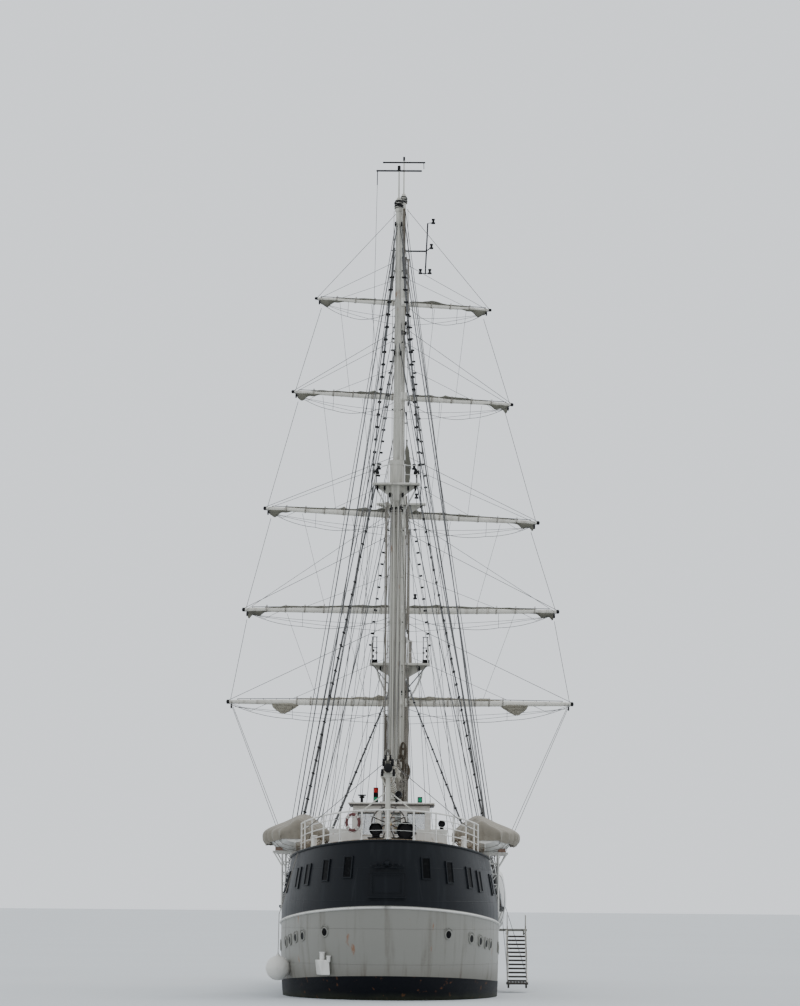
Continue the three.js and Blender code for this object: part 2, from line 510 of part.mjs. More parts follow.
// Poop, forecastle, bulwarks and decks
function buildUpperworks() {
  const poopBlock = hull.intersect(sheerLayer('deck', GAP, POOP_HEIGHT, -20.5, POOP_BREAK_Y));
  const panelSlab = (halfWidth, aftY, low, high) => box([-halfWidth, aftY, low], [halfWidth, -18, high]);
  const frame = panelSlab(PANEL.halfWidth, -19.1, PANEL.low, PANEL.high);
  const sill = panelSlab(PANEL.halfWidth + 0.06, -19.14, PANEL.low - 0.06, PANEL.low);
  const scroll = panelSlab(0.5, -19.02, PANEL.scrollLow, PANEL.scrollHigh);
  const inset = box([-PANEL.halfWidth + 0.07, -19.2, PANEL.low + 0.07],
    [PANEL.halfWidth - 0.07, -19.06, PANEL.high - 0.07]);
  add('poop', unite([poopBlock, frame.subtract(inset), sill, scroll]), SLATE_PAINT);

  const forecastle = hull.intersect(sheerLayer('deck', GAP, FORECASTLE_HEIGHT, FORECASTLE_BREAK_Y, 22));
  const windlassZ = deckAt(WINDLASS.y) + FORECASTLE_HEIGHT;
  const barrelZ = windlassZ + 0.45;
  const windlassCheek = (lowX) => box([lowX, WINDLASS.y - WINDLASS.half, windlassZ - 0.2],
    [lowX + WINDLASS.outerX - WINDLASS.innerX, WINDLASS.y + WINDLASS.half, windlassZ + WINDLASS.height]);
  const windlass = unite([
    windlassCheek(-WINDLASS.outerX),
    windlassCheek(WINDLASS.innerX),
    rod([-WINDLASS.barrelHalf, WINDLASS.y, barrelZ], [WINDLASS.barrelHalf, WINDLASS.y, barrelZ],
      WINDLASS.barrel, WINDLASS.barrel, 10),
  ]);
  add('forecastle', forecastle.add(windlass), WHITE_STEEL);

  const hullInner = hullForm(-BULWARK_THICKNESS);
  const wall = hull.subtract(hullInner).intersect(
    sheerLayer('deck', GAP, BULWARK_HEIGHT, POOP_BREAK_Y + GAP, FORECASTLE_BREAK_Y - GAP));
  const gangway = box([4, GANGWAY.aftY, GANGWAY.lowZ], [5, GANGWAY.foreY, 4.2]);
  const ears = [LADDER.lowX + 0.07, LADDER.highX - 0.12].map((x) =>
    box([x, LADDER.pinY - 0.08, LADDER.pinZ - 0.07], [x + 0.05, BRACKET.aftY + 0.05, BRACKET.highZ]));
  const pinSpans = [[LADDER.lowX - 0.01, LADDER.lowX + 0.1], [LADDER.highX - 0.1, LADDER.highX + 0.01]];
  const pins = pinSpans.map(([a, b]) =>
    rod([a, LADDER.pinY, LADDER.pinZ], [b, LADDER.pinY, LADDER.pinZ], LADDER.pin, LADDER.pin, PIN_SIDES));
  const stage = box(
    [BRACKET.innerX, BRACKET.aftY, BRACKET.lowZ], [BRACKET.outerX, BRACKET.foreY, BRACKET.highZ]);
  const ladderBracket = unite([stage, ...ears, ...pins]);
  add('bulwark_port', wall.intersect(portHalf), WHITE_STEEL);
  add('bulwark_starboard', wall.intersect(starboardHalf).subtract(gangway).add(ladderBracket), WHITE_STEEL);

  const hatch = box([-HATCH.half, HATCH.aftY, 2.3], [HATCH.half, HATCH.foreY, HATCH.topZ]);
  const planks = hullForm(-BULWARK_THICKNESS - GAP).intersect(
    sheerLayer('deck', GAP, DECK_PLANK, POOP_BREAK_Y + GAP, FORECASTLE_BREAK_Y - GAP));
  const hatchAbove = hatch.subtract(sheerLayer('deck', -3, 0.5 * DECK_PLANK));
  add('main_deck', planks.add(hatchAbove), DECK_TEAK);
  const poopPlanks = hullForm(-0.1).intersect(
    sheerLayer('deck', POOP_HEIGHT + GAP, POOP_HEIGHT + DECK_PLANK, -20.5, POOP_BREAK_Y - 0.05));
  add('poop_deck', poopPlanks, DECK_TEAK);
}

const poopSurface = (offset) => sheerLayer('deck', -1, POOP_HEIGHT + DECK_PLANK + offset);
const deckSurface = (offset) => sheerLayer('deck', -1, DECK_PLANK + offset);

// Rudder and propeller
function buildSteeringAndDrive() {
  const blade = acrossPrism(RUDDER_OUTLINE, -RUDDER.half, RUDDER.half);
  const stock = rod([0, RUDDER_AXIS_Y, -2.5], [0, RUDDER_AXIS_Y, RUDDER.stockTop],
    RUDDER.stock, RUDDER.stock, 12);
  const pintle = rod([0, RUDDER_AXIS_Y, RUDDER.pintleFoot], [0, RUDDER_AXIS_Y, -2.6],
    RUDDER.pintle, RUDDER.pintle, PIN_SIDES);
  add('rudder', unite([blade, stock, pintle]), BOOT_PAINT);

  const hub = rod([0, PROPELLER.hubAftY, SHAFT.z], [0, PROPELLER.hubForeY, SHAFT.z], 0.12, 0.2, 12);
  const shaft = rod([0, SHAFT.aftY, SHAFT.z], [0, SHAFT.foreY, SHAFT.z], SHAFT.radius, SHAFT.radius, PIN_SIDES);
  const blades = Array.from({ length: PROPELLER.blades }, (_, k) => {
    const shape = new THREE.Shape();
    shape.moveTo(-0.1, 0.1);
    shape.lineTo(-0.3, 0.6);
    shape.quadraticCurveTo(-0.22, 0.95, 0.05, 0.95);
    shape.quadraticCurveTo(0.3, 0.9, 0.26, 0.5);
    shape.lineTo(0.1, 0.1);
    const depth = PROPELLER.bladeThickness;
    const geometry = new THREE.ExtrudeGeometry(shape, { depth, bevelEnabled: false, curveSegments: 3 });
    geometry.translate(0, 0, -depth / 2);
    geometry.rotateY(THREE.MathUtils.degToRad(PROPELLER.pitchDegrees));
    geometry.rotateX(Math.PI / 2);
    return toSolid(geometry).rotate([0, (360 * k) / PROPELLER.blades, 0]).translate([0, PROPELLER.y, SHAFT.z]);
  });
  add('propeller', unite([hub, shaft, ...blades]), BRONZE);
}

// Masts with their platforms
function platform(place, mastY, mastRadius) {
  const half = place.width / 2;
  const outline = [
    [-half, mastY - 0.35 * place.depth], [-0.6 * half, mastY - 0.45 * place.depth],
    [0.6 * half, mastY - 0.45 * place.depth], [half, mastY - 0.35 * place.depth],
    [half, mastY + 0.15 * place.depth], [0.55 * half, mastY + 0.5 * place.depth],
    [-0.55 * half, mastY + 0.5 * place.depth], [-half, mastY + 0.15 * place.depth],
  ];
  const plate = uprightPrism(outline, place.z, place.z + place.thickness);
  const bracket = new THREE.Shape();
  const root = mastRadius - 0.05;
  bracket.moveTo(-half * 0.96, place.z + 0.02);
  bracket.lineTo(-root, place.z - place.bracketDepth);
  bracket.lineTo(root, place.z - place.bracketDepth);
  bracket.lineTo(half * 0.96, place.z + 0.02);
  const geometry = new THREE.ExtrudeGeometry(bracket, { depth: 0.08, bevelEnabled: false });
  geometry.translate(0, 0, -0.04);
  geometry.rotateX(Math.PI / 2);
  return plate.add(toSolid(geometry).translate([0, mastY, 0]));
}

// A hoop on the mast carries the collar of each yard
function yardHoop(yard) {
  const collarBottom = yard.z - yard.drop - COLLAR_HALF_HEIGHT;
  const radius = yard.mast + RUNNING_GAP + 0.07;
  return turned([[radius, collarBottom - 0.07], [radius, collarBottom - GAP]], 0, FOREMAST_Y, MAST_SIDES);
}

function buildMasts() {
  const mastheadBar = (spec, mastY) =>
    rod([-spec.half, mastY, spec.z], [spec.half, mastY, spec.z], spec.radius, spec.radius, 6);
  const bracketArm = unite([
    rod([INSTRUMENT_ARM.rootX, FOREMAST_Y, INSTRUMENT_ARM.z],
      [INSTRUMENT_ARM.reach, FOREMAST_Y, INSTRUMENT_ARM.z],
      INSTRUMENT_ARM.radius, INSTRUMENT_ARM.radius, 6),
    rod([INSTRUMENT_POST.lowX, FOREMAST_Y, INSTRUMENT_POST.lowZ],
      [INSTRUMENT_POST.highX, FOREMAST_Y, INSTRUMENT_POST.highZ],
      INSTRUMENT_POST.radius, INSTRUMENT_POST.radius, 6),
  ]);
  const foremast = unite([
    turned(FOREMAST_PROFILE, 0, FOREMAST_Y, MAST_SIDES),
    platform(FORE_TOP, FOREMAST_Y, 0.3),
    platform(FORE_CROSSTREES, FOREMAST_Y, 0.22),
    mastheadBar(FORE_BAR, FOREMAST_Y),
    bracketArm,
    ...YARDS.map(yardHoop),
  ]);
  const foreStanding = foremast.subtract(deckSurface(GAP));
  add('foremast', foreStanding, SPAR_PAINT);
  const mainmast = unite([
    turned(MAINMAST_PROFILE, 0, MAINMAST_Y, MAST_SIDES),
    platform(MAIN_CROSSTREES, MAINMAST_Y, 0.29),
    mastheadBar(MAIN_BAR, MAINMAST_Y),
    box([-0.12, BOOM.pinY - 0.12, BOOM.heelZ - 0.3], [0.12, MAINMAST_Y, BOOM.heelZ - 0.2 - GAP]),
  ]);
  const mainStanding = mainmast.subtract(deckSurface(GAP));
  add('mainmast', mainStanding, SPAR_PAINT);

  const sprit = rod(BOWSPRIT.heel, BOWSPRIT.tip, BOWSPRIT.heelRadius, BOWSPRIT.tipRadius, 12);
  const saddle = box([-SADDLE.half, SADDLE.aftY, SADDLE.lowZ], [SADDLE.half, SADDLE.foreY, SADDLE.highZ]);
  const striker = rod(STRIKER.head, STRIKER.foot, STRIKER.headRadius, STRIKER.footRadius, 8);
  const bobstay = unite([
    rod(BOBSTAY.outer, BOBSTAY.middle, BOBSTAY.radius, BOBSTAY.radius, 5),
    rod(BOBSTAY.middle, BOBSTAY.stem, BOBSTAY.radius, BOBSTAY.radius, 5),
  ]);
  const forward = unite([sprit, saddle, striker, bobstay]);
  const stem = hullForm(GAP).intersect(sheerLayer('deck', -9, FORECASTLE_HEIGHT + GAP));
  const pieces = forward.subtract(stem).decompose();
  pieces.sort((a, b) => b.volume() - a.volume());
  add('bowsprit', pieces[0], SPAR_PAINT);
  return [foreStanding, mainStanding, pieces[0]];
}

// Yards with their furled sails
function buildYard(yard) {
  const half = yard.length / 2;
  const collar = yard.mast + RUNNING_GAP;
  const height = COLLAR_HALF_HEIGHT;
  const ring = turned([[collar + 0.09, -height - yard.drop], [collar + 0.09, height - yard.drop]], 0, 0, 16)
    .subtract(turned([[collar, -1], [collar, 1]], 0, 0, 16));
  const inner = collar + 0.02;
  const arm = acrossPrism([
    [inner, -0.12 - yard.drop], [YARD_OFFSET, -0.12], [YARD_OFFSET, 0.08], [inner, 0.12 - yard.drop],
  ], -0.1, 0.1);
  const sparBody = (grow) => {
    const [middle, tip, quarter] = [yard.radius + grow, yard.tip + grow, 0.25 * half];
    const stations = [[-half - grow, tip], [-quarter, middle], [quarter, middle], [half + grow, tip]];
    return loft(stations.map(([x, radius]) => Array.from({ length: 10 }, (_, k) => {
      const angle = (2 * Math.PI * k) / 10;
      return [x, YARD_OFFSET + radius * Math.cos(angle), radius * Math.sin(angle)];
    })));
  };
  const spar = sparBody(0);
  const hang = (solid) => solid.rotate([0, yard.cant, 0]);
  const place = [0, FOREMAST_Y, yard.z];
  add(`${yard.name}_yard`, unite([ring, arm, hang(spar)]), SPAR_PAINT, place);

  const radiusAt = (x) => {
    const reach = Math.abs(x) / half;
    return reach < 0.25 ? yard.radius : mix(yard.radius, yard.tip, (reach - 0.25) / 0.75);
  };
  const bunch = yard.bunchAt * half;
  const steps = FURL_STEPS.map((step) => ({ ...step, x: step.share * bunch - step.back }));
  const both = [...steps.slice(1).reverse().map((s) => ({ ...s, x: -s.x })), ...steps];
  const rings = both.map((step) => {
    const angle = THREE.MathUtils.degToRad(mix(80, -80, step.down));
    const size = yard.roll * step.size;
    const reach = radiusAt(step.x) + 0.94 * size;
    const [cy, cz] = [YARD_OFFSET + reach * Math.cos(angle), reach * Math.sin(angle)];
    return Array.from({ length: 8 }, (_, k) => {
      const a = (2 * Math.PI * (k + 0.5)) / 8;
      return [step.x, cy + size * Math.cos(a), cz + size * Math.sin(a)];
    });
  });
  const furled = loft(rings).subtract(sparBody(GAP));
  add(`${yard.name}_sail`, hang(furled), SAILCLOTH, place);
}

// Main boom and its furled sail
const boomAxisAt = (y) => mix(BOOM.heelZ, BOOM.endZ, (y - BOOM.heelY) / (BOOM.endY - BOOM.heelY));

function buildBoom() {
  const start = [0, BOOM.heelY, BOOM.heelZ];
  const end = [0, BOOM.endY, BOOM.endZ];
  const spar = rod(start, end, BOOM.radius, BOOM.radius, 10);
  const knuckle = rod([0, BOOM.pinY, BOOM.heelZ - 0.2], [0, BOOM.pinY, BOOM.heelZ + 0.22], 0.11, 0.11, 12);
  add('main_boom', spar.add(knuckle), SPAR_PAINT);
  const rings = BOOM_ROLL.map(({ y, size }) => {
    const centreZ = boomAxisAt(y) + BOOM.radius + size * 0.88;
    return Array.from({ length: 8 }, (_, k) => {
      const a = (2 * Math.PI * (k + 0.5)) / 8;
      return [0.8 * size * Math.cos(a), y, centreZ + size * Math.sin(a)];
    });
  });
  add('main_sail', loft(rings).subtract(rod(start, end, BOOM.radius + GAP, BOOM.radius + GAP, 10)), SAILCLOTH);
}

// Takes a neighbour away from a solid with a small gap all round, and keeps the main piece
function clearOf(solid, neighbour) {
  const shifts = [[GAP, 0, 0], [-GAP, 0, 0], [0, GAP, 0], [0, -GAP, 0], [0, 0, GAP], [0, 0, -GAP]];
  const cut = shifts.reduce((left, shift) => left.subtract(neighbour.translate(shift)), solid);
  return cut.decompose().sort((a, b) => b.volume() - a.volume())[0];
}

// Shrouds and backstays on their channels, port and starboard, and the stays
function wirePath(wire, side) {
  const footZ = deckAt(wire.footY) + CHANNEL_ABOVE_DECK + 0.02;
  const footX = halfBreadth(wire.footY, footZ) + CHANNEL_WIDTH - 0.1;
  return [[side * footX, wire.footY, footZ], [side * wire.headX, wire.headY, wire.headZ]];
}

const pointAtHeight = ([a, b], z) => a.map((value, axis) => mix(value, b[axis], (z - a[2]) / (b[2] - a[2])));

// Upper shrouds leave the shroud below, pass outside a platform's rim and run up to the mast
function upperShroud(below, leaveZ, rim, head, side) {
  const start = pointAtHeight(below, leaveZ);
  return [start, [side * rim[0], rim[1], rim[2]], [side * head[0], head[1], head[2]]];
}

const wireBar = (path) => bar(path, WIRE_RADIUS, WIRE_SIDES);

function wireSet(wires, side, uppers) {
  const startY = Math.min(...wires.map((w) => w.footY)) - 0.2;
  const endY = Math.max(...wires.map((w) => w.footY)) + 0.2;
  const channel = hullForm(CHANNEL_WIDTH).subtract(hullForm(GAP))
    .intersect(sheerLayer('deck', CHANNEL_ABOVE_DECK, CHANNEL_ABOVE_DECK + CHANNEL_THICKNESS, startY, endY))
    .intersect(side > 0 ? starboardHalf : portHalf);
  const paths = wires.map((wire) => wirePath(wire, side));
  let set = unite([channel, ...paths.map(wireBar)]);
  uppers.forEach((upper) => {
    const path = upperShroud(paths[upper.onShroud], upper.leaveZ, upper.rim, upper.head, side);
    set = set.add(wireBar(path));
    if (upper.next) {
      const above = upperShroud([path[1], path[2]], upper.next.leaveZ, upper.next.rim, upper.next.head, side);
      set = set.add(wireBar(above));
    }
  });
  return set;
}

function buildRigging(foremast, mainmast, bowsprit) {
  [['port', -1], ['starboard', 1]].forEach(([label, side]) => {
    add(`fore_shrouds_${label}`, clearOf(wireSet(FORE_WIRES, side, FORE_UPPERS), foremast), WIRE);
    add(`main_shrouds_${label}`, clearOf(wireSet(MAIN_WIRES, side, MAIN_UPPERS), mainmast), WIRE);
  });
  const masts = { fore: foremast, main: mainmast };
  const landings = { bowsprit, deck: deckSurface(0) };
  STAYS.forEach((stay) => {
    const wire = rod(stay.head, stay.foot, WIRE_RADIUS, WIRE_RADIUS, WIRE_SIDES);
    add(stay.name, clearOf(clearOf(wire, masts[stay.mast]), landings[stay.lands]), WIRE);
  });
}

// Stern rail with the boom crutch, lockers, vents, steering wheel and lifebuoy
const buoyPoint = (out) => BUOY.post.map((value, axis) => value + BUOY.outward[axis] * out);
const poopDeckAt = (y) => poopAt(y) + DECK_PLANK;

function railPath(height) {
  const ring = hullRing(levelAt(RAIL.level), -RAIL.inset);
  const side = ring.slice(0, ARC_DEGREES.length).filter(([, y]) => y < RAIL.endY - 0.3).map(([x, y]) => [x, y]);
  side.push([halfBreadth(RAIL.endY, RAIL.level) - RAIL.inset, RAIL.endY]);
  const port = side.slice(1).reverse().map(([x, y]) => [-x, y]);
  return [...port, ...side].map(([x, y]) => [x, y, poopDeckAt(y) + height]);
}

function buildSternFittings() {
  const path = railPath(RAIL.height);
  const posts = path.map(([x, y]) =>
    rod([x, y, poopAt(y) - 0.2], [x, y, poopDeckAt(y) + RAIL.height], RAIL.radius, RAIL.radius, 6));
  const saddleZ = boomAxisAt(CRUTCH_Y) - BOOM.radius - RUNNING_GAP;
  const crutch = unite([
    rod([0, CRUTCH_Y, poopAt(CRUTCH_Y) - 0.2], [0, CRUTCH_Y, saddleZ - 0.1], 0.1, 0.09, 8),
    box([-0.3, CRUTCH_Y - 0.1, saddleZ - 0.16], [0.3, CRUTCH_Y + 0.1, saddleZ]),
    box([-0.05, -18.78, 6.5], [0.05, CRUTCH_Y, 6.6]),
  ]);
  const hookTop = BUOY.z + BUOY.ring - BUOY.tube - 2 * GAP;
  const hook = rod([...BUOY.post, hookTop - 0.032], [...buoyPoint(0.2), hookTop - 0.032], 0.03, 0.03, 4);
  const middleBar = bar(railPath(RAIL.middle), RAIL.radius * 0.8);
  const rail = unite([hook, bar(path, RAIL.radius), middleBar, ...posts, crutch]);
  add('stern_rail', rail.subtract(poopSurface(GAP)), WHITE_STEEL);

  [['port', -1], ['starboard', 1]].forEach(([label, side]) => {
    const [lowX, highX] = [side * LOCKER.innerX, side * LOCKER.outerX].sort((a, b) => a - b);
    const outer = box([lowX, LOCKER.aftY, 5.5], [highX, LOCKER.foreY, LOCKER.topZ]);
    const hollow = box([lowX + LOCKER.wall, LOCKER.aftY + LOCKER.wall, 6.0],
      [highX - LOCKER.wall, LOCKER.foreY - LOCKER.wall, 7]);
    add(`locker_${label}`, outer.subtract(hollow).subtract(poopSurface(GAP)), WHITE_STEEL);
    const lidLow = LOCKER.topZ + GAP;
    add(`locker_lid_${label}`, box([lowX - 0.02, LOCKER.aftY - 0.02, lidLow],
      [highX + 0.02, LOCKER.foreY, lidLow + LOCKER.lid]), WHITE_STEEL);
  });

  const cowl = ({ x, z, radius }) => {
    const at = (aft) => [x, VENT_Y - aft, z];
    const neck = rod([x, VENT_Y, 5.6], at(0), radius * 0.62, radius * 0.62, 10);
    const bend = rod(at(-radius * 0.62), at(0.12), radius * 0.7, radius * 0.95, 12);
    const mouth = rod(at(0.12), at(0.3), radius * 0.95, radius, 12);
    const throat = rod(at(0.02), at(0.32), radius * 0.6, radius * 0.9, 12);
    return unite([neck, bend, mouth]).subtract(throat);
  };
  const plinth = box([PLINTH.portX, PLINTH.aftY, 5.6], [PLINTH.starboardX, PLINTH.foreY, PLINTH.topZ]);
  add('stern_vents', unite([plinth, ...VENTS.map(cowl)]).subtract(poopSurface(GAP)), BLACK_PAINT);

  const rim = toSolid(new THREE.TorusGeometry(WHEEL.rim, WHEEL.tube, 6, 20).rotateX(Math.PI / 2));
  const spokes = [0, 1, 2, 3].map((k) => {
    const angle = (Math.PI * (k + 0.5)) / 4;
    const [x, z] = [WHEEL.reach * Math.cos(angle), WHEEL.reach * Math.sin(angle)];
    return rod([-x, 0, -z], [x, 0, z], WHEEL.spoke, WHEEL.spoke, 6);
  });
  const hub = rod([0, -0.08, 0], [0, 0.06, 0], WHEEL.hub, WHEEL.hub, 12);
  const axle = rod([0, 0, 0], [0, 0.3, 0], WHEEL.axle, WHEEL.axle, PIN_SIDES);
  const wheel = unite([rim, hub, axle, ...spokes]).translate([0, WHEEL.y, WHEEL.z]);
  add('steering_wheel', wheel, VARNISH);
  const stand = box([-WHEEL_STAND.half, WHEEL.y + WHEEL_STAND.aft, 5.5],
    [WHEEL_STAND.half, WHEEL.y + WHEEL_STAND.fore, WHEEL.z + WHEEL_STAND.aboveWheel]);
  const axleBore = rod([0, WHEEL.y, WHEEL.z], [0, WHEEL.y + 0.35, WHEEL.z],
    boreFor(WHEEL.axle), boreFor(WHEEL.axle), PIN_SIDES);
  add('wheel_stand', stand.subtract(axleBore).subtract(poopSurface(GAP)), WHITE_STEEL);

  const turn = Math.atan2(BUOY.outward[0], -BUOY.outward[1]);
  const buoy = new THREE.TorusGeometry(BUOY.ring, BUOY.tube, 8, 18).rotateX(Math.PI / 2).rotateZ(turn);
  add('lifebuoy', toSolid(buoy).translate([...buoyPoint(BUOY.standOff), BUOY.z]), BUOY_PAINT);
}

// Wheelhouse: hollow, with its windows cut, a roof and a hinged door on the port side
function buildWheelhouse() {
  const outer = box([-HOUSE.half, HOUSE.aftY, 5], [HOUSE.half, HOUSE.foreY, HOUSE.topZ]);
  const inner = box([-HOUSE.half + HOUSE.wall, HOUSE.aftY + HOUSE.wall, HOUSE.floorZ],
    [HOUSE.half - HOUSE.wall, HOUSE.foreY - HOUSE.wall, 8]);
  const acrossPane = (x, half, wallY) =>
    box([x - half, wallY - 0.3, PANE.lowZ], [x + half, wallY + 0.3, PANE.highZ]);
  const windows = [
    ...FRONT_PANES.at.map((x) => acrossPane(x, FRONT_PANES.half, HOUSE.foreY)),
    ...AFT_PANES.at.map((x) => acrossPane(x, AFT_PANES.half, HOUSE.aftY)),
    ...STARBOARD_PANES.at.map((y) =>
      box([1.2, y - STARBOARD_PANES.half, PANE.lowZ], [2, y + STARBOARD_PANES.half, PANE.highZ])),
    box([-2, PORT_PANE.aftY, PANE.lowZ], [-1.2, PORT_PANE.foreY, PANE.highZ]),
  ];
  const doorway = box([-2, DOOR.foreY - DOOR.width - RUNNING_GAP, DOOR.lowZ - RUNNING_GAP],
    [-1.3, DOOR.foreY + RUNNING_GAP, DOOR.highZ + RUNNING_GAP]);
  const walls = windows.reduce((left, hole) => left.subtract(hole), outer.subtract(inner).subtract(doorway));
  const lugs = DOOR.knuckles.map((z) => box([DOOR.hingeX - 0.033, DOOR.hingeY - 0.02, z - 0.1],
    [DOOR.hingeX + 0.047, DOOR.hingeY + 0.03, z - DOOR.knuckleHalf - GAP]));
  add('wheelhouse', unite([walls, ...lugs]).subtract(poopSurface(GAP)), WHITE_STEEL);
  const roof = box([-HOUSE_ROOF.half, HOUSE_ROOF.aftY, HOUSE.topZ + GAP],
    [HOUSE_ROOF.half, HOUSE_ROOF.foreY, HOUSE.topZ + HOUSE_ROOF.thickness]);
  add('wheelhouse_roof', roof, WHITE_STEEL);
  const panel = box([-HOUSE.half - 0.01, DOOR.foreY - DOOR.width, DOOR.lowZ],
    [-HOUSE.half - 0.01 + DOOR.thickness, DOOR.foreY, DOOR.highZ]);
  const light = box([-2, DOOR.foreY - DOOR_LIGHT.aft, DOOR_LIGHT.lowZ],
    [-1, DOOR.foreY - DOOR_LIGHT.fore, DOOR_LIGHT.highZ]);
  const knuckles = DOOR.knuckles.map((z) => {
    const barrel = rod([DOOR.hingeX, DOOR.hingeY, z - DOOR.knuckleHalf],
      [DOOR.hingeX, DOOR.hingeY, z + DOOR.knuckleHalf], DOOR.knuckle);
    const strap = box([DOOR.hingeX - 0.012, DOOR.hingeY - 0.2, z - 0.03],
      [DOOR.hingeX + 0.03, DOOR.hingeY, z + 0.03]);
    return barrel.add(strap);
  });
  add('wheelhouse_door', unite([panel.subtract(light), ...knuckles]), VARNISH);
}

// Two ship's boats under canvas covers, on cradles at the poop's sides
function boatBody(grow, topZ) {
  const depth = BOAT.gunwaleZ - BOAT.keelZ;
  return loft(BOAT_STATIONS.map((station) => {
    const y = mix(BOAT.aftY - grow, BOAT.foreY + grow, station.at);
    const half = BOAT.half * station.beam + grow;
    const keel = BOAT.keelZ + station.rise * depth - grow;
    const side = BOAT_SECTION.map(([across, up]) => [across * half, mix(keel, BOAT.gunwaleZ, up)]);
    const shape = topZ ? [...side, [half, topZ]] : side;
    const port = shape.map(([x, z]) => [-x, z]).reverse();
    return [...shape, ...port].map(([x, z]) => [x, y, z]);
  }));
}

function coverBody() {
  return loft(BOAT_STATIONS.map((station) => {
    const y = mix(BOAT.aftY - COVER.ends, BOAT.foreY + COVER.ends, station.at);
    const half = BOAT.half * station.beam + COVER.sides;
    const ridge = mix(BOAT.gunwaleZ + COVER.lowRidge, BOAT.ridgeZ, station.beam);
    const low = BOAT.gunwaleZ - COVER.skirt * (0.35 + 0.65 * station.beam);
    const side = [
      [half, low], [half * 1.02, BOAT.gunwaleZ + 0.03],
      [half * 0.5, mix(BOAT.gunwaleZ, ridge, 0.66)], [COVER.ridgeHalf, ridge],
    ];
    const port = side.map(([x, z]) => [-x, z]).reverse();
    return [...side, ...port].map(([x, z]) => [x, y, z]);
  }));
}

function buildBoats() {
  const hullBody = boatBody(0);
  const grown = boatBody(GAP * 2);
  const cover = coverBody().subtract(boatBody(GAP, BOAT.gunwaleZ + GAP));
  [['port', -1], ['starboard', 1]].forEach(([label, side]) => {
    const place = [side * BOAT.x, 0, 0];
    add(`boat_${label}`, hullBody.translate(place), WHITE_STEEL);
    add(`boat_cover_${label}`, cover.translate(place), COVER_CANVAS);
    const bridge = (y, x0, x1, lowZ, highZ) => {
      const [lowX, highX] = [side * x0, side * x1].sort((a, b) => a - b);
      return box([lowX, y - CRADLE.half, lowZ], [highX, y + CRADLE.half, highZ]);
    };
    const beamLowZ = BOAT.keelZ - CRADLE.beamDepth;
    const footTopZ = BOAT.keelZ - 0.05;
    const frames = CRADLE.frameYs.map((y) => unite([
      bridge(y, CRADLE.innerX, CRADLE.outerX, beamLowZ, BOAT.keelZ - GAP),
      bridge(y, CRADLE.innerX, CRADLE.footX, 5.0, footTopZ),
      bridge(y, CRADLE.postInnerX, CRADLE.postOuterX, CRADLE.postFootZ, footTopZ),
      ...CRADLE.chocks.map((x) =>
        bridge(y, BOAT.x + x, BOAT.x + x + CRADLE.chockWidth, footTopZ, BOAT.keelZ + CRADLE.chockHeight)),
    ]));
    const [railLow, railHigh] = [side * 2.58, side * 2.66].sort((a, b) => a - b);
    const stringer = box([railLow, CRADLE.frameYs[0], BOAT.keelZ - 0.09],
      [railHigh, CRADLE.frameYs[1], BOAT.keelZ - 0.02]);
    const poopSide = hullForm(GAP).intersect(sheerLayer('deck', -1, POOP_HEIGHT + GAP));
    const poopTop = hullForm(-0.1 + GAP).intersect(poopSurface(GAP));
    const cradle = unite([...frames, stringer]).subtract(grown.translate(place));
    const pieces = cradle.subtract(poopSide).subtract(poopTop).decompose();
    pieces.sort((a, b) => b.volume() - a.volume());
    add(`boat_cradle_${label}`, pieces[0], WHITE_STEEL);
  });
}

// Over the side: a tender on edge, the boarding ladder and a ball fender
function buildOverside() {
  const [middleZ, halfZ] = [(TENDER.lowZ + TENDER.highZ) / 2, (TENDER.highZ - TENDER.lowZ) / 2];
  const rings = TENDER_STATIONS.map(({ at, tall, bulge }) => {
    const y = mix(TENDER.aftY, TENDER.foreY, at);
    const reach = TENDER.flat + TENDER.bulge * bulge;
    return TENDER_ARC.map(([out, up]) => [TENDER.faceX + reach * out, y, middleZ + halfZ * tall * up]);
  });
  add('tender', loft(rings).subtract(hullForm(GAP)), WHITE_STEEL);

  const rise = (LADDER.topZ - LADDER.footZ) / (LADDER.topY - LADDER.footY);
  const side = [
    [LADDER.topY, LADDER.topZ], [LADDER.topY, LADDER.topZ - LADDER.sideDepth],
    [LADDER.footY, LADDER.footZ - LADDER.sideDepth], [LADDER.footY, LADDER.footZ],
  ];
  const treads = Array.from({ length: LADDER.treads }, (_, k) => {
    const y = mix(LADDER.topY - 0.34, LADDER.footY + 0.1, k / (LADDER.treads - 1));
    const z = LADDER.footZ - 0.08 + rise * (y - LADDER.footY);
    return box([LADDER.lowX + 0.02, y - LADDER.treadHalf, z - LADDER.treadThickness / 2],
      [LADDER.highX - 0.02, y + LADDER.treadHalf, z + LADDER.treadThickness / 2]);
  });
  const landing = box([LADDER.lowX, LADDER.footY - 0.5, LADDER.footZ - 0.16],
    [LADDER.highX, LADDER.footY + 0.05, LADDER.footZ - 0.08]);
  const pinBore = rod([4, LADDER.pinY, LADDER.pinZ], [6.5, LADDER.pinY, LADDER.pinZ],
    boreFor(LADDER.pin), boreFor(LADDER.pin), PIN_SIDES);
  const ladder = unite([
    acrossPrism(side, LADDER.lowX, LADDER.lowX + LADDER.side),
    acrossPrism(side, LADDER.highX - LADDER.side, LADDER.highX),
    ...treads,
    landing,
  ]);
  add('boarding_ladder', ladder.subtract(pinBore), WHITE_STEEL);

  const onFender = (up) => [FENDER.x, FENDER.y, FENDER.z + up];
  const ball = toSolid(new THREE.SphereGeometry(FENDER.radius, 14, 9)).translate(onFender(0));
  const eye = rod(onFender(0.4), onFender(0.6), FENDER.eye, 0.05, 8);
  add('ball_fender', ball.add(eye), WHITE_STEEL);
}

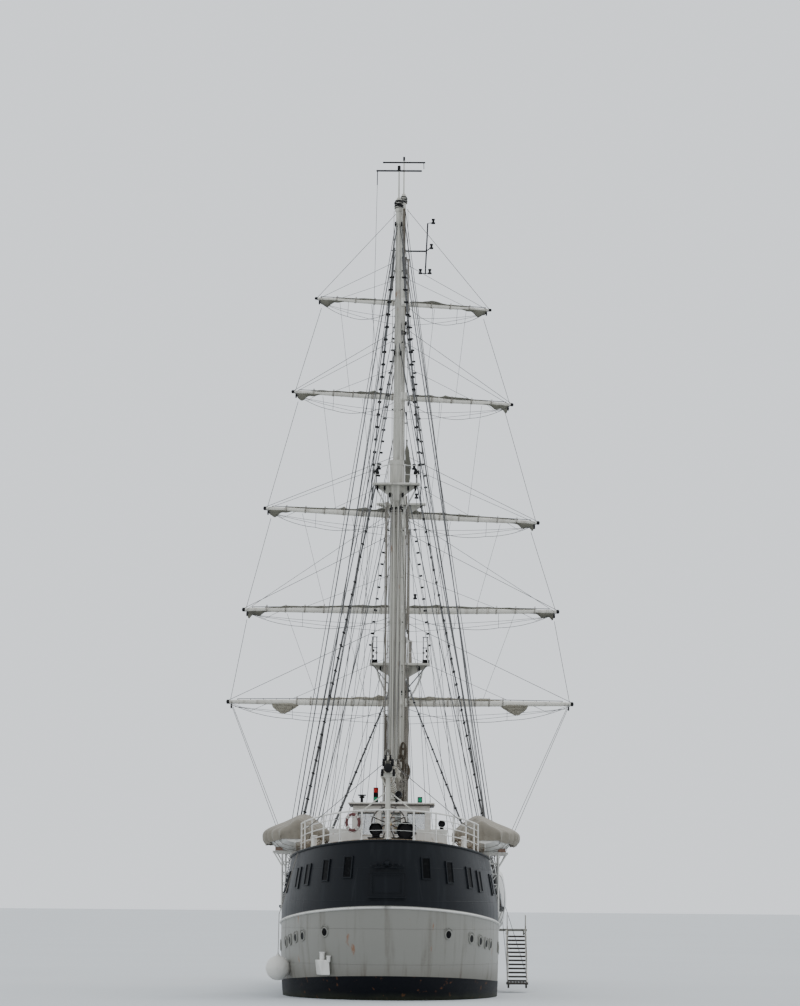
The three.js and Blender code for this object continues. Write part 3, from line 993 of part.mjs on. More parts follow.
buildHull();
buildUpperworks();
buildSteeringAndDrive();
const standing = buildMasts();
YARDS.forEach(buildYard);
buildBoom();
buildRigging(...standing);
buildSternFittings();
buildWheelhouse();
buildBoats();
buildOverside();

export default ship;
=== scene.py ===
"""Looks of a two-masted brigantine, a steel tall ship, as a 1:2 scale model.

Every size below is in metres of the real ship, and MODEL_SCALE turns it into the model's metres.
+Y is forward, +X is starboard, +Z is up, and the origin is amidships at the waterline.
"""

import json
import logging
import math
import random
from dataclasses import dataclass
from enum import Enum
from typing import Iterable, Optional, Sequence, Union

import bmesh
import bpy
from mathutils import Matrix, Vector

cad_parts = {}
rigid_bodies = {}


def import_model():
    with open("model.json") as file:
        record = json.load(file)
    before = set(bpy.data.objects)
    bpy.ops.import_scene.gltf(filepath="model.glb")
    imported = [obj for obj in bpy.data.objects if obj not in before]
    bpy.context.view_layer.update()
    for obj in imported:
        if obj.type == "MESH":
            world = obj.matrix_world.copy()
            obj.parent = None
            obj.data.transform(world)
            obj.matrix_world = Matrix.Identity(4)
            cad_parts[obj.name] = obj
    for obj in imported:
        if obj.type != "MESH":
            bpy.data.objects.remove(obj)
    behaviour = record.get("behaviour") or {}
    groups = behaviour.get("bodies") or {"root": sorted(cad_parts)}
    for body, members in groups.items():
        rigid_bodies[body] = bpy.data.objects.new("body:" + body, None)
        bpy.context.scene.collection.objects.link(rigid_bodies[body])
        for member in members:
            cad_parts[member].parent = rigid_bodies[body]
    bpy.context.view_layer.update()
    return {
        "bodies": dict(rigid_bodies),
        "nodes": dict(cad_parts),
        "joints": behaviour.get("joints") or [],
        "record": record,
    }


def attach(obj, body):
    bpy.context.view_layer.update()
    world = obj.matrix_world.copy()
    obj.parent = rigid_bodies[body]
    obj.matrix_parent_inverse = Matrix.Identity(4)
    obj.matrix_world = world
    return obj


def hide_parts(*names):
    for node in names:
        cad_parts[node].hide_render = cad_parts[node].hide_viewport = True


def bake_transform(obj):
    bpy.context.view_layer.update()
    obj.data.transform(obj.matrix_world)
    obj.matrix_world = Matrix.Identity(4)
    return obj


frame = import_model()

MODEL_SCALE = 0.5
UP = (0, 0, 1)
FORWARD = (0, 1, 0)
LEAST_RADIUS = 0.0004
NEARLY_UPRIGHT = 0.9
Point = Sequence[float]
Pair = tuple[float, float]
Triple = tuple[float, float, float]
Colour = Triple
log = logging.getLogger("brigantine")


class Body(Enum):
    """The moving bodies that pieces ride on."""

    HULL = "hull"
    BOOM = "main_boom"
    WHEEL = "steering_wheel"
    DOOR = "wheelhouse_door"
    LADDER = "boarding_ladder"
    LID_PORT = "locker_lid_port"
    LID_STARBOARD = "locker_lid_starboard"
    COURSE = "course_yard"
    LOWER_TOPSAIL = "lower_topsail_yard"
    UPPER_TOPSAIL = "upper_topsail_yard"
    TOPGALLANT = "topgallant_yard"
    ROYAL = "royal_yard"


class Slot(Enum):
    """The record's material slots."""

    WHITE_STEEL = "white_steel"
    SPAR_PAINT = "spar_paint"
    SLATE_PAINT = "slate_paint"
    BOOT_PAINT = "boot_paint"
    SAILCLOTH = "sailcloth"
    COVER_CANVAS = "cover_canvas"
    WIRE = "wire"
    BLACK_PAINT = "black_paint"
    BRONZE = "bronze"
    BUOY_PAINT = "buoy_paint"
    VARNISH = "varnish"
    TENDER_PLASTIC = "tender_plastic"
    FENDER_VINYL = "fender_vinyl"


# Shader maths


class Value:
    """A shader socket with arithmetic that adds Math nodes."""

    def __init__(self, graph: "Graph", socket: bpy.types.NodeSocket) -> None:
        """Keep the graph and the socket."""
        self.graph = graph
        self.socket = socket

    def _math(self, operation: str, first: "Operand", second: "Operand") -> "Value":
        """Add a Math node for two operands."""
        node = self.graph.node("ShaderNodeMath", {"operation": operation}, {0: first, 1: second})
        return Value(self.graph, node.outputs[0])

    def __add__(self, other: "Operand") -> "Value":
        """Sum."""
        return self._math("ADD", self, other)

    def __radd__(self, other: "Operand") -> "Value":
        """Sum with the number first."""
        return self._math("ADD", other, self)

    def __sub__(self, other: "Operand") -> "Value":
        """Difference."""
        return self._math("SUBTRACT", self, other)

    def __rsub__(self, other: "Operand") -> "Value":
        """Difference with the number first."""
        return self._math("SUBTRACT", other, self)

    def __mul__(self, other: "Operand") -> "Value":
        """Product."""
        return self._math("MULTIPLY", self, other)

    def __truediv__(self, other: "Operand") -> "Value":
        """Quotient."""
        return self._math("DIVIDE", self, other)

    def fraction(self) -> "Value":
        """The part after the point."""
        return self._math("FRACT", self, 0.0)

    def floor(self) -> "Value":
        """The whole number below."""
        return self._math("FLOOR", self, 0.0)

    def size(self) -> "Value":
        """The value without its sign."""
        return self._math("ABSOLUTE", self, 0.0)

    def wave(self) -> "Value":
        """Sine of the value."""
        return self._math("SINE", self, 0.0)

    def angle_from(self, across: "Value") -> "Value":
        """The angle whose rise is this value and whose run is across."""
        return self._math("ARCTAN2", self, across)

    def ramp(self, low: float, high: float) -> "Value":
        """A smooth step from 0 at low to 1 at high.

        Args:
            low: where the step begins.
            high: where it ends; may be below low for a falling step.

        Returns:
            The stepped value, from 0 to 1.
        """
        settings = {"interpolation_type": "SMOOTHSTEP", "clamp": True}
        node = self.graph.node("ShaderNodeMapRange", settings, {0: self, 1: low, 2: high, 3: 0.0, 4: 1.0})
        return Value(self.graph, node.outputs[0])


Operand = Union[Value, float]


class Graph:
    """The node tree of one material."""

    def __init__(self, name: str) -> None:
        """Make an empty material with a surface shader and its output."""
        self.material = bpy.data.materials.new(name)
        self.material.use_nodes = True
        self.tree = self.material.node_tree
        self.tree.nodes.clear()
        self.shader = self.node("ShaderNodeBsdfPrincipled")
        output = self.node("ShaderNodeOutputMaterial")
        self.tree.links.new(self.shader.outputs[0], output.inputs["Surface"])
        place = self.node("ShaderNodeTexCoord").outputs["Object"]
        scaled = self.node(
            "ShaderNodeVectorMath", {"operation": "SCALE"}, {0: place, "Scale": 1 / MODEL_SCALE}
        )
        self.place = scaled.outputs[0]

    def node(
        self, kind: str, settings: Optional[dict] = None, inputs: Optional[dict] = None
    ) -> bpy.types.Node:
        """Add a node.

        Args:
            kind: Blender's type name of the node.
            settings: attributes that are set first.
            inputs: numbers, colours or links by socket name or place.

        Returns:
            The new node.
        """
        node = self.tree.nodes.new(kind)
        for key, setting in (settings or {}).items():
            setattr(node, key, setting)
        for key, given in (inputs or {}).items():
            socket = node.inputs[key]
            if isinstance(given, Value):
                self.tree.links.new(given.socket, socket)
            elif isinstance(given, bpy.types.NodeSocket):
                self.tree.links.new(given, socket)
            else:
                socket.default_value = given
        return node

    def axes(self) -> tuple[Value, Value, Value]:
        """The place on the ship, as three values in real metres."""
        split = self.node("ShaderNodeSeparateXYZ", inputs={0: self.place})
        return tuple(Value(self, split.outputs[k]) for k in range(3))

    def noise(self, scale: float, detail: float = 3.0, stretch: Point = (1, 1, 1)) -> Value:
        """Soft noise over the piece.

        Args:
            scale: features for each metre of the real ship.
            detail: how many finer layers are added.
            stretch: how much quicker it changes along each axis.

        Returns:
            The noise, from 0 to 1.
        """
        mapped = self.node(
            "ShaderNodeVectorMath", {"operation": "MULTIPLY"}, {0: self.place, 1: tuple(stretch)}
        )
        inputs = {"Vector": mapped.outputs[0], "Scale": scale, "Detail": detail}
        return Value(self, self.node("ShaderNodeTexNoise", {}, inputs).outputs[0])

    def chance(self, first: Value, second: Value) -> Value:
        """A random number for each pair of whole numbers."""
        pair = self.node("ShaderNodeCombineXYZ", inputs={0: first, 1: second})
        texture = self.node(
            "ShaderNodeTexWhiteNoise", {"noise_dimensions": "3D"}, {"Vector": pair.outputs[0]}
        )
        return Value(self, texture.outputs[0])

    def blend(self, first: object, second: object, factor: Operand) -> bpy.types.NodeSocket:
        """Mix two colours.

        Args:
            first: the colour, or its socket, where the factor is 0.
            second: the colour, or its socket, where the factor is 1.
            factor: how far the mix goes towards the second.

        Returns:
            The colour socket of the mix.
        """
        first = (*first, 1.0) if isinstance(first, tuple) else first
        second = (*second, 1.0) if isinstance(second, tuple) else second
        node = self.node("ShaderNodeMix", {"data_type": "RGBA"}, {0: factor, 6: first, 7: second})
        return node.outputs[2]

    def bump(self, height: Value, depth: float) -> None:
        """Raise the surface by a height map, at most depth metres of the real ship."""
        inputs = {"Strength": 1.0, "Distance": depth * MODEL_SCALE, "Height": height}
        self.set("Normal", self.node("ShaderNodeBump", {}, inputs).outputs[0])

    def set(self, name: str, given: object) -> None:
        """Set or link one socket of the surface shader."""
        socket = self.shader.inputs[name]
        if isinstance(given, Value):
            self.tree.links.new(given.socket, socket)
        elif isinstance(given, bpy.types.NodeSocket):
            self.tree.links.new(given, socket)
        else:
            socket.default_value = (*given, 1.0) if isinstance(given, tuple) else given


def shade(colour: Colour, amount: float) -> Colour:
    """A colour made lighter or darker by a factor."""
    return tuple(min(channel * amount, 1.0) for channel in colour)


# Finishes

RUST: Colour = (0.22, 0.09, 0.035)
GRIME: Colour = (0.20, 0.18, 0.15)
_made: dict[str, bpy.types.Material] = {}


@dataclass(frozen=True)
class Finish:
    """A named finish; the kinds below draw it."""

    name: str

    def draw(self, graph: Graph) -> None:
        """Draw the finish into a material's graph."""
        raise NotImplementedError

    def material(self) -> bpy.types.Material:
        """The material, made the first time it is asked for."""
        if self.name not in _made:
            graph = Graph(self.name)
            self.draw(graph)
            _made[self.name] = graph.material
        return _made[self.name]


@dataclass(frozen=True)
class Paint(Finish):
    """Weathered paint on steel or timber."""

    colour: Colour
    stain: Colour = GRIME
    fade: float = 0.10
    streaks: float = 0.35
    rust: float = 0.0
    roughness: float = 0.42
    metallic: float = 0.0
    orange_peel: float = 0.0015
    plate_height: float = 0.0
    plate_length: float = 6.0
    # height under which the paint gets darker towards the bottom
    darker_below: Optional[float] = None
    shine: float = 0.5

    def draw(self, graph: Graph) -> None:
        """Colour patches, runs of dirt, rust spots, plate seams and a slightly uneven film."""
        along, height = graph.axes()[1:]
        patches = graph.noise(0.45, 4.0)
        fine = graph.noise(14.0, 5.0)
        runs = graph.noise(1.0, 4.0, (3.5, 3.5, 0.22)).ramp(0.50, 0.74)
        faded = graph.blend(shade(self.colour, 1 - self.fade), shade(self.colour, 1 + self.fade), patches)
        dirt = runs * self.streaks * (0.45 + fine * 0.9)
        # Under that height the colour is mixed further towards the stain, so it gets darker towards the
        # bottom.
        if self.darker_below is not None:
            low = height.ramp(self.darker_below, self.darker_below - 0.9)
            dirt = dirt + low * (0.2 + patches * 0.45)
        tone = graph.blend(faded, self.stain, dirt)
        relief = fine
        if self.plate_height:
            row = (height / self.plate_height).floor()
            seam = ((height / self.plate_height).fraction() - 0.5).size().ramp(0.488, 0.497)
            shift = along / self.plate_length + row * 0.37
            butt = (shift.fraction() - 0.5).size().ramp(0.4975, 0.4995)
            relief = fine * 0.25 + graph.noise(0.9, 2.0) * 2.2 + seam * 1.2 + butt * 1.0
            tone = graph.blend(tone, shade(self.stain, 0.8), (seam + butt) * 0.22)
        if self.rust:
            spots = graph.noise(2.6, 6.0, (1.0, 1.0, 0.45)).ramp(0.70 - 0.1 * self.rust, 0.76)
            tone = graph.blend(tone, RUST, spots * 0.75)
        graph.set("Base Color", tone)
        graph.set("Roughness", self.roughness - 0.06 + fine * 0.12 + dirt * 0.25)
        graph.set("Metallic", self.metallic)
        graph.set("Specular IOR Level", self.shine)
        graph.bump(relief, self.orange_peel)


@dataclass(frozen=True)
class Antifouling(Finish):
    """The boot-top and the bottom: dark paint with a tide line of weed and scale."""

    colour: Colour
    deep: Colour = (0.060, 0.022, 0.018)

    def draw(self, graph: Graph) -> None:
        """Dark boot-top above, rust-red below the water, with weed between them."""
        height = graph.axes()[2]
        patches = graph.noise(0.9, 5.0)
        fine = graph.noise(16.0, 5.0)
        edge = height + patches * 0.35
        tone = graph.blend(self.deep, self.colour, edge.ramp(-0.05, 0.12))
        weed = edge.ramp(0.52, 0.16) * edge.ramp(-0.8, 0.1) * (0.25 + fine * 0.6)
        tone = graph.blend(tone, (0.045, 0.050, 0.030), weed)
        scale = graph.noise(4.0, 6.0).ramp(0.62, 0.72)
        tone = graph.blend(tone, RUST, scale * 0.35)
        graph.set("Base Color", tone)
        graph.set("Roughness", 0.5 + fine * 0.25)
        graph.set("Specular IOR Level", 0.15)
        graph.bump(fine + weed * 2.0, 0.003)


@dataclass(frozen=True)
class Planking(Finish):
    """Scrubbed deck planks with dark caulked seams."""

    colour: Colour
    width: float = 0.14
    length: float = 5.2
    seam: Colour = (0.030, 0.026, 0.022)

    def draw(self, graph: Graph) -> None:
        """Planks run along the ship, with butts that step from plank to plank."""
        across, along, _ = graph.axes()
        column = (across / self.width).floor()
        shift = along / self.length + graph.chance(column, column) * 3.0
        plank = graph.chance(column, shift.floor())
        grain = graph.noise(7.0, 6.0, (9.0, 0.5, 1.0))
        wet = graph.noise(0.5, 4.0)
        tone = graph.blend(shade(self.colour, 0.72), shade(self.colour, 1.18), plank * 0.6 + grain * 0.4)
        tone = graph.blend(tone, shade(self.colour, 0.55), wet.ramp(0.52, 0.75) * 0.5)
        side = ((across / self.width).fraction() - 0.5).size().ramp(0.44, 0.475)
        butt = (shift.fraction() - 0.5).size().ramp(0.4985, 0.4995)
        seams = side + butt
        graph.set("Base Color", graph.blend(tone, self.seam, seams))
        graph.set("Roughness", 0.62 + grain * 0.2)
        graph.bump(grain * 0.4 - seams, 0.004)


@dataclass(frozen=True)
class Canvas(Finish):
    """Woven cloth with creases, dirt and damp patches."""

    colour: Colour
    stain: Colour = GRIME
    weave: float = 55.0
    dirt: float = 0.45
    crease: float = 0.012

    def draw(self, graph: Graph) -> None:
        """A plain weave over creases with painted shade in their hollows and painted highlight on their
        ridges, darker where dirt has settled.
        """
        across, along, height = graph.axes()
        warp = ((across + height) * (self.weave * 2 * math.pi)).wave()
        weft = ((along - height) * (self.weave * 2 * math.pi)).wave()
        creases = graph.noise(3.2, 4.0, (1.0, 0.5, 1.6))
        patches = graph.noise(1.1, 5.0)
        # Painted shade and highlight: the tone follows the creases' relief, darker in the hollows and lighter
        # on the ridges.
        tone = graph.blend(shade(self.colour, 0.82), shade(self.colour, 1.12), creases)
        tone = graph.blend(tone, self.stain, patches.ramp(0.46, 0.78) * self.dirt)
        graph.set("Base Color", tone)
        graph.set("Roughness", 0.85 + patches * 0.12)
        graph.set("Sheen Weight", 0.15)
        graph.bump(creases * 3.0 + (warp * weft) * 0.12, self.crease)


@dataclass(frozen=True)
class Rope(Finish):
    """Laid rope or wire, with the twist of its strands."""

    colour: Colour
    lay: float = 14.0
    roughness: float = 0.75
    metallic: float = 0.0

    def draw(self, graph: Graph) -> None:
        """Strands in a twist, with painted shade between them and painted highlight on their crests."""
        across, along, height = graph.axes()
        twist = ((across * 0.6 + along * 0.8 + height) * (self.lay * 2 * math.pi)).wave()
        age = graph.noise(0.8, 4.0)
        # Painted shade and highlight: the tone follows the twist, darker in the grooves and lighter on the
        # strands; age adds real changes of tone.
        tone = graph.blend(shade(self.colour, 0.65), shade(self.colour, 1.3), twist * 0.35 + age)
        graph.set("Base Color", tone)
        graph.set("Roughness", self.roughness - 0.1 + age * 0.2)
        graph.set("Metallic", self.metallic)
        graph.bump(twist, 0.004)


@dataclass(frozen=True)
class Grain(Finish):
    """Varnished timber."""

    colour: Colour
    stretch: Triple = (8.0, 0.7, 8.0)
    coat: float = 0.6

    def draw(self, graph: Graph) -> None:
        """Long grain with darker growth lines under varnish."""
        grain = graph.noise(2.4, 6.0, self.stretch)
        lines = (grain * 34.0).wave()
        tone = graph.blend(shade(self.colour, 0.55), shade(self.colour, 1.35), grain)
        tone = graph.blend(tone, shade(self.colour, 0.4), lines.ramp(0.2, 1.0) * 0.35)
        graph.set("Base Color", tone)
        graph.set("Roughness", 0.38 + grain * 0.2)
        graph.set("Coat Weight", self.coat)
        graph.bump(grain, 0.002)


@dataclass(frozen=True)
class Metal(Finish):
    """Bare metal, such as bronze or galvanised iron."""

    colour: Colour
    tarnish: Colour
    roughness: float = 0.35

    def draw(self, graph: Graph) -> None:
        """Metal that has dulled in patches."""
        patches = graph.noise(3.0, 6.0)
        fine = graph.noise(25.0, 4.0)
        dull = patches.ramp(0.42, 0.68)
        graph.set("Base Color", graph.blend(self.colour, self.tarnish, dull))
        graph.set("Roughness", self.roughness + dull * 0.3 + fine * 0.1)
        graph.set("Metallic", 0.9 - dull * 0.5)
        graph.bump(fine, 0.001)


@dataclass(frozen=True)
class Glass(Finish):
    """Dark glazing, or a lamp's coloured lens."""

    colour: Colour
    roughness: float = 0.3
    shine: float = 0.12
    clear: float = 0.0
    salted: float = 0.25

    def draw(self, graph: Graph) -> None:
        """Glossy glass with salt spots."""
        salt = graph.noise(9.0, 5.0).ramp(0.5, 0.8)
        graph.set("Base Color", graph.blend(self.colour, (0.25, 0.26, 0.27), salt * self.salted))
        graph.set("Roughness", self.roughness + salt * self.salted)
        graph.set("Specular IOR Level", self.shine)
        graph.set("Alpha", salt * (self.salted * self.clear) + (1 - self.clear))
        graph.bump(salt, 0.0006)


@dataclass(frozen=True)
class Bands(Finish):
    """A ring in two colours, in bands about its own centre."""

    first: Colour
    second: Colour
    centre: Triple
    outward: Pair
    count: int = 4

    def draw(self, graph: Graph) -> None:
        """Bands by the angle about the ring's centre."""
        across, along, height = graph.axes()
        sideways = (across - self.centre[0]) * -self.outward[1] + (along - self.centre[1]) * self.outward[0]
        upward = height - self.centre[2]
        angle = upward.angle_from(sideways)
        share = (angle / (2 * math.pi / self.count) + 0.5).fraction()
        band = (share - 0.5).size().ramp(0.335, 0.345)
        wear = graph.noise(12.0, 5.0)
        tone = graph.blend(self.first, self.second, band)
        graph.set("Base Color", graph.blend(tone, GRIME, wear.ramp(0.5, 0.8) * 0.4))
        graph.set("Roughness", 0.55 + wear * 0.2)
        graph.bump(wear, 0.002)


# The hull is white, but its colour here is a dark grey that paints the shade the hull stands in; its stains
# and rust are real.
HULL_WHITE_IN_PAINTED_SHADE = Paint(
    "hull_white_painted_shade", (0.222, 0.219, 0.196), stain=(0.110, 0.095, 0.073), fade=0.05, streaks=0.5, rust=0.25,
    plate_height=1.35, orange_peel=0.006, darker_below=1.6, shine=0.3,
)
WHITE_STEEL = Paint("deckhouse_white", (0.66, 0.65, 0.61), streaks=0.3, rust=0.2)
SLATE = Paint(
    "poop_slate", (0.006, 0.0075, 0.010), stain=(0.026, 0.029, 0.033), fade=0.16, streaks=0.35, rust=0.0,
    plate_height=1.25, orange_peel=0.005, roughness=0.42, shine=0.14,
)
BOOT = Antifouling("boot_top", (0.0028, 0.0036, 0.006))
# One cream paint in two copies: the lighter spar colour is painted light on the yards and the darker mast
# colour is painted shade on the masts; streaks, stains and rust are real.
SPAR = Paint("spar_cream", (0.62, 0.605, 0.545), stain=(0.24, 0.21, 0.17), streaks=0.55, rust=0.3)
MAST = Paint("mast_cream", (0.49, 0.477, 0.42), stain=(0.13, 0.12, 0.10), streaks=0.9, rust=0.3)
TEAK = Planking("deck_teak", (0.36, 0.27, 0.175))
SAIL = Canvas("furled_sailcloth", (0.135, 0.131, 0.104), stain=(0.045, 0.042, 0.034), dirt=0.6)
SAIL_PALE = Canvas("boom_sailcloth", (0.30, 0.28, 0.225), stain=(0.12, 0.11, 0.085))
COVER = Canvas("boat_cover", (0.255, 0.230, 0.185), stain=(0.115, 0.098, 0.072), dirt=0.4)
WIRE = Rope("rigging_wire", (0.115, 0.115, 0.115), roughness=0.6, metallic=0.1)
ROPE_DARK = Rope("tarred_rope", (0.085, 0.082, 0.078))
ROPE_PALE = Rope("weathered_rope", (0.24, 0.22, 0.19))
ROPE_BROWN = Rope("old_manila", (0.075, 0.058, 0.038))
BLACK = Paint(
    "black_fittings", (0.005, 0.005, 0.006), stain=(0.03, 0.027, 0.024), streaks=0.3, rust=0.2, roughness=0.6,
    shine=0.2
)
BRONZE = Metal("bronze_castings", (0.45, 0.30, 0.12), (0.13, 0.15, 0.09))
GALVANISED = Metal("galvanised_iron", (0.36, 0.37, 0.38), (0.20, 0.19, 0.18), roughness=0.45)
VARNISH = Grain("varnished_mahogany", (0.16, 0.072, 0.030))
DARK_TEAK = Grain("weathered_teak", (0.040, 0.030, 0.024))
CLEAR_PANE = Glass("wheelhouse_glass", (0.16, 0.19, 0.20), clear=0.80, salted=0.12)
# Near-black glass: the black paints the shade of the unlit rooms behind the windows, ports and skylight; the
# salt spots are real.
PANE = Glass("dark_pane", (0.0012, 0.0015, 0.002), shine=0.06, salted=0.05)
PLASTIC = Paint("tender_gelcoat", (0.62, 0.615, 0.59), streaks=0.25, roughness=0.25, orange_peel=0.0006)
VINYL = Paint("fender_vinyl", (0.66, 0.645, 0.60), streaks=0.4, roughness=0.5)
TREAD = Paint("ladder_treads", (0.05, 0.043, 0.036), stain=(0.02, 0.018, 0.016), streaks=0.3, roughness=0.7)
BOAT_PAINT = Paint("boat_paint", (0.70, 0.69, 0.65), streaks=0.35)
BUOY_CENTRE, BUOY_OUTWARD = (-1.334, -18.351, 6.72), (-0.598, -0.801)
BUOY_BANDS = Bands("lifebuoy_bands", (0.085, 0.016, 0.016), (0.50, 0.47, 0.43), BUOY_CENTRE, BUOY_OUTWARD)
RED_LENS = Glass("red_lens", (0.45, 0.012, 0.010))
GREEN_LENS = Glass("green_lens", (0.010, 0.26, 0.12))


# Meshes


class Shape:
    """Points and faces of one piece, in metres of the real ship."""

    def __init__(self) -> None:
        """Start with nothing."""
        self.points: list[Vector] = []
        self.faces: list[tuple[int, ...]] = []

    def add(self, points: Iterable[Point], faces: Iterable[Sequence[int]]) -> "Shape":
        """Add points and the faces that join them.

        Args:
            points: the new points.
            faces: the faces, counted from the first new point.

        Returns:
            This shape.
        """
        base = len(self.points)
        self.points.extend(Vector(point) for point in points)
        self.faces.extend(tuple(base + index for index in face) for face in faces)
        return self

    def rings(self, rings: Sequence[Sequence[Point]], loop: bool = False) -> "Shape":
        """Skin a row of closed rings with the same number of points.

        Args:
            rings: the rings, in order.
            loop: whether the last ring joins the first; otherwise both ends are closed.

        Returns:
            This shape.
        """
        count = len(rings[0])
        faces: list[Sequence[int]] = []
        for row in range(len(rings) if loop else len(rings) - 1):
            following = (row + 1) % len(rings)
            here, there = row * count, following * count
            for k in range(count):
                near = (k + 1) % count
                faces.append((here + k, here + near, there + near, there + k))
        if not loop:
            faces.append(tuple(reversed(range(count))))
            faces.append(tuple((len(rings) - 1) * count + k for k in range(count)))
        return self.add([point for ring in rings for point in ring], faces)

    def sheet(self, rows: Sequence[Sequence[Point]]) -> "Shape":
        """Skin a grid of points as an open sheet."""
        count = len(rows[0])
        faces: list[Sequence[int]] = []
        for row in range(len(rows) - 1):
            here, there = row * count, (row + 1) * count
            for k in range(count - 1):
                faces.append((here + k, here + k + 1, there + k + 1, there + k))
        return self.add([point for row in rows for point in row], faces)

    def tube(
        self, path: Sequence[Point], radius: Union[float, Sequence[float]], sides: int = 6, loop: bool = False
    ) -> "Shape":
        """Sweep a round bar along a path.

        Args:
            path: the points of its middle line.
            radius: one radius, or one for each point.
            sides: how many flats go round it.
            loop: whether the path closes on itself.

        Returns:
            This shape.
        """
        points = [Vector(point) for point in path]
        radii = [radius] * len(points) if isinstance(radius, (int, float)) else list(radius)
        count = len(points)
        rings = []
        lead: Optional[Vector] = None
        for index, point in enumerate(points):
            before = points[index - 1] if index or loop else point
            after = points[(index + 1) % count] if index + 1 < count or loop else point
            along = (after - before).normalized()
            if lead is None:
                lead = level_across(along)
            lead = (lead - along * lead.dot(along)).normalized()
            other = along.cross(lead)
            radius_here = radii[index]
            ring = [
                point + (lead * math.cos(a) + other * math.sin(a)) * radius_here for a in full_turn(sides)
            ]
            rings.append(ring)
        return self.rings(rings, loop)

    def turned(
        self, profile: Sequence[Pair], foot: Point, axis: Point, sides: int = 14, loop: bool = False
    ) -> "Shape":
        """Turn a profile about an axis.

        Args:
            profile: pairs of radius and distance along the axis.
            foot: where the distance is 0.
            axis: the direction of the axis.
            sides: how many flats go round it.
            loop: whether the profile closes on itself, which leaves a hole in the middle.

        Returns:
            This shape.
        """
        along = Vector(axis).normalized()
        start = Vector(foot)
        rings = [
            ring_points(start + along * up, along, max(radius, LEAST_RADIUS), sides) for radius, up in profile
        ]
        return self.rings(rings, loop)

    def block(self, low: Point, high: Point) -> "Shape":
        """A box between its lowest and its highest corner."""
        corners = [
            Vector((x, y, z)) for z in (low[2], high[2]) for y in (low[1], high[1]) for x in (low[0], high[0])
        ]
        faces = [(0, 2, 3, 1), (4, 5, 7, 6), (0, 1, 5, 4), (2, 6, 7, 3), (0, 4, 6, 2), (1, 3, 7, 5)]
        return self.add(corners, faces)

    def plate(self, outline: Sequence[Point], through: Point) -> "Shape":
        """An outline in space, given a thickness along a direction."""
        front = [Vector(point) for point in outline]
        back = [point + Vector(through) for point in front]
        return self.rings([front, back])

    def ball(self, centre: Point, radius: float, sides: int = 12, squash: float = 1.0) -> "Shape":
        """A ball, or a flattened one."""
        steps = max(sides // 2, 4)
        profile = [
            (radius * math.sin(math.pi * k / steps), -radius * squash * math.cos(math.pi * k / steps))
            for k in range(steps + 1)
        ]
        return self.turned(profile, centre, UP, sides)


def full_turn(count: int) -> list[float]:
    """Angles that divide a full turn equally."""
    return [2 * math.pi * k / count for k in range(count)]


def level_across(along: Vector) -> Vector:
    """A direction across an axis, level unless the axis is upright."""
    return along.cross(Vector(UP) if abs(along.z) < NEARLY_UPRIGHT else Vector(FORWARD))


def ring_points(centre: Vector, along: Vector, radius: float, sides: int) -> list[Vector]:
    """Points of a ring about an axis."""
    lead = level_across(along).normalized()
    other = along.cross(lead)
    return [centre + (lead * math.cos(a) + other * math.sin(a)) * radius for a in full_turn(sides)]


def mix(first: float, second: float, share: float) -> float:
    """A number part of the way from one to another."""
    return first + (second - first) * share


def between(first: Point, second: Point, share: float) -> Vector:
    """A point part of the way from one to another."""
    return Vector(first).lerp(Vector(second), share)


def spread(low: float, high: float, steps: int) -> list[float]:
    """Numbers from one to another in equal steps, both ends included."""
    return [mix(low, high, k / steps) for k in range(steps + 1)]


def line_points(start: Point, end: Point, steps: int) -> list[Vector]:
    """Points of a straight line in equal steps, both ends included."""
    return [between(start, end, k / steps) for k in range(steps + 1)]


def sagging(start: Point, end: Point, sag: float, steps: int = 10) -> list[Vector]:
    """A line that hangs between two points by sag metres in its middle."""
    line = line_points(start, end, steps)
    for k, point in enumerate(line):
        share = k / steps
        point.z -= 4 * sag * share * (1 - share)
    return line


BEVEL_STEPS = 2
BEVEL_ABOVE_DEGREES = 40
WELD_REACH = 0.0002


def make_piece(
    name: str, shape: Shape, finish: Finish, slot: Slot, body: Optional[Body] = Body.HULL,
    bevel: float = 0.0, crease: float = 38.0, closed: bool = True, weld: bool = False,
) -> bpy.types.Object:
    """Turn a shape into a piece of the ship.

    Args:
        name: the piece's name.
        shape: its points and faces.
        finish: what it is covered with.
        slot: the record's slot for that finish.
        body: what it rides on; None leaves that to the caller.
        bevel: width of the rounded edges, in real metres.
        crease: angle in degrees above which an edge stays sharp.
        closed: whether its faces enclose a solid.
        weld: whether points that meet are joined first.

    Returns:
        The new object.
    """
    mesh = bpy.data.meshes.new(name)
    mesh.from_pydata([tuple(point * MODEL_SCALE) for point in shape.points], [], shape.faces)
    work = bmesh.new()
    work.from_mesh(mesh)
    if weld:
        bmesh.ops.remove_doubles(work, verts=work.verts, dist=WELD_REACH)
        bmesh.ops.dissolve_degenerate(work, edges=work.edges, dist=WELD_REACH)
    if closed:
        bmesh.ops.recalc_face_normals(work, faces=work.faces)
    work.to_mesh(mesh)
    work.free()
    mesh.shade_smooth()
    mesh.set_sharp_from_angle(angle=math.radians(crease))
    mesh.materials.append(finish.material())
    piece = bpy.data.objects.new(name, mesh)
    bpy.context.scene.collection.objects.link(piece)
    if bevel:
        edge = piece.modifiers.new("edges", "BEVEL")
        edge.width = bevel * MODEL_SCALE
        edge.segments = BEVEL_STEPS
        edge.limit_method = "ANGLE"
        edge.angle_limit = math.radians(BEVEL_ABOVE_DEGREES)
    if body is not None:
        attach(piece, body.value)
    log.info("%s: %d faces", name, len(mesh.polygons))
    return piece


# Studio


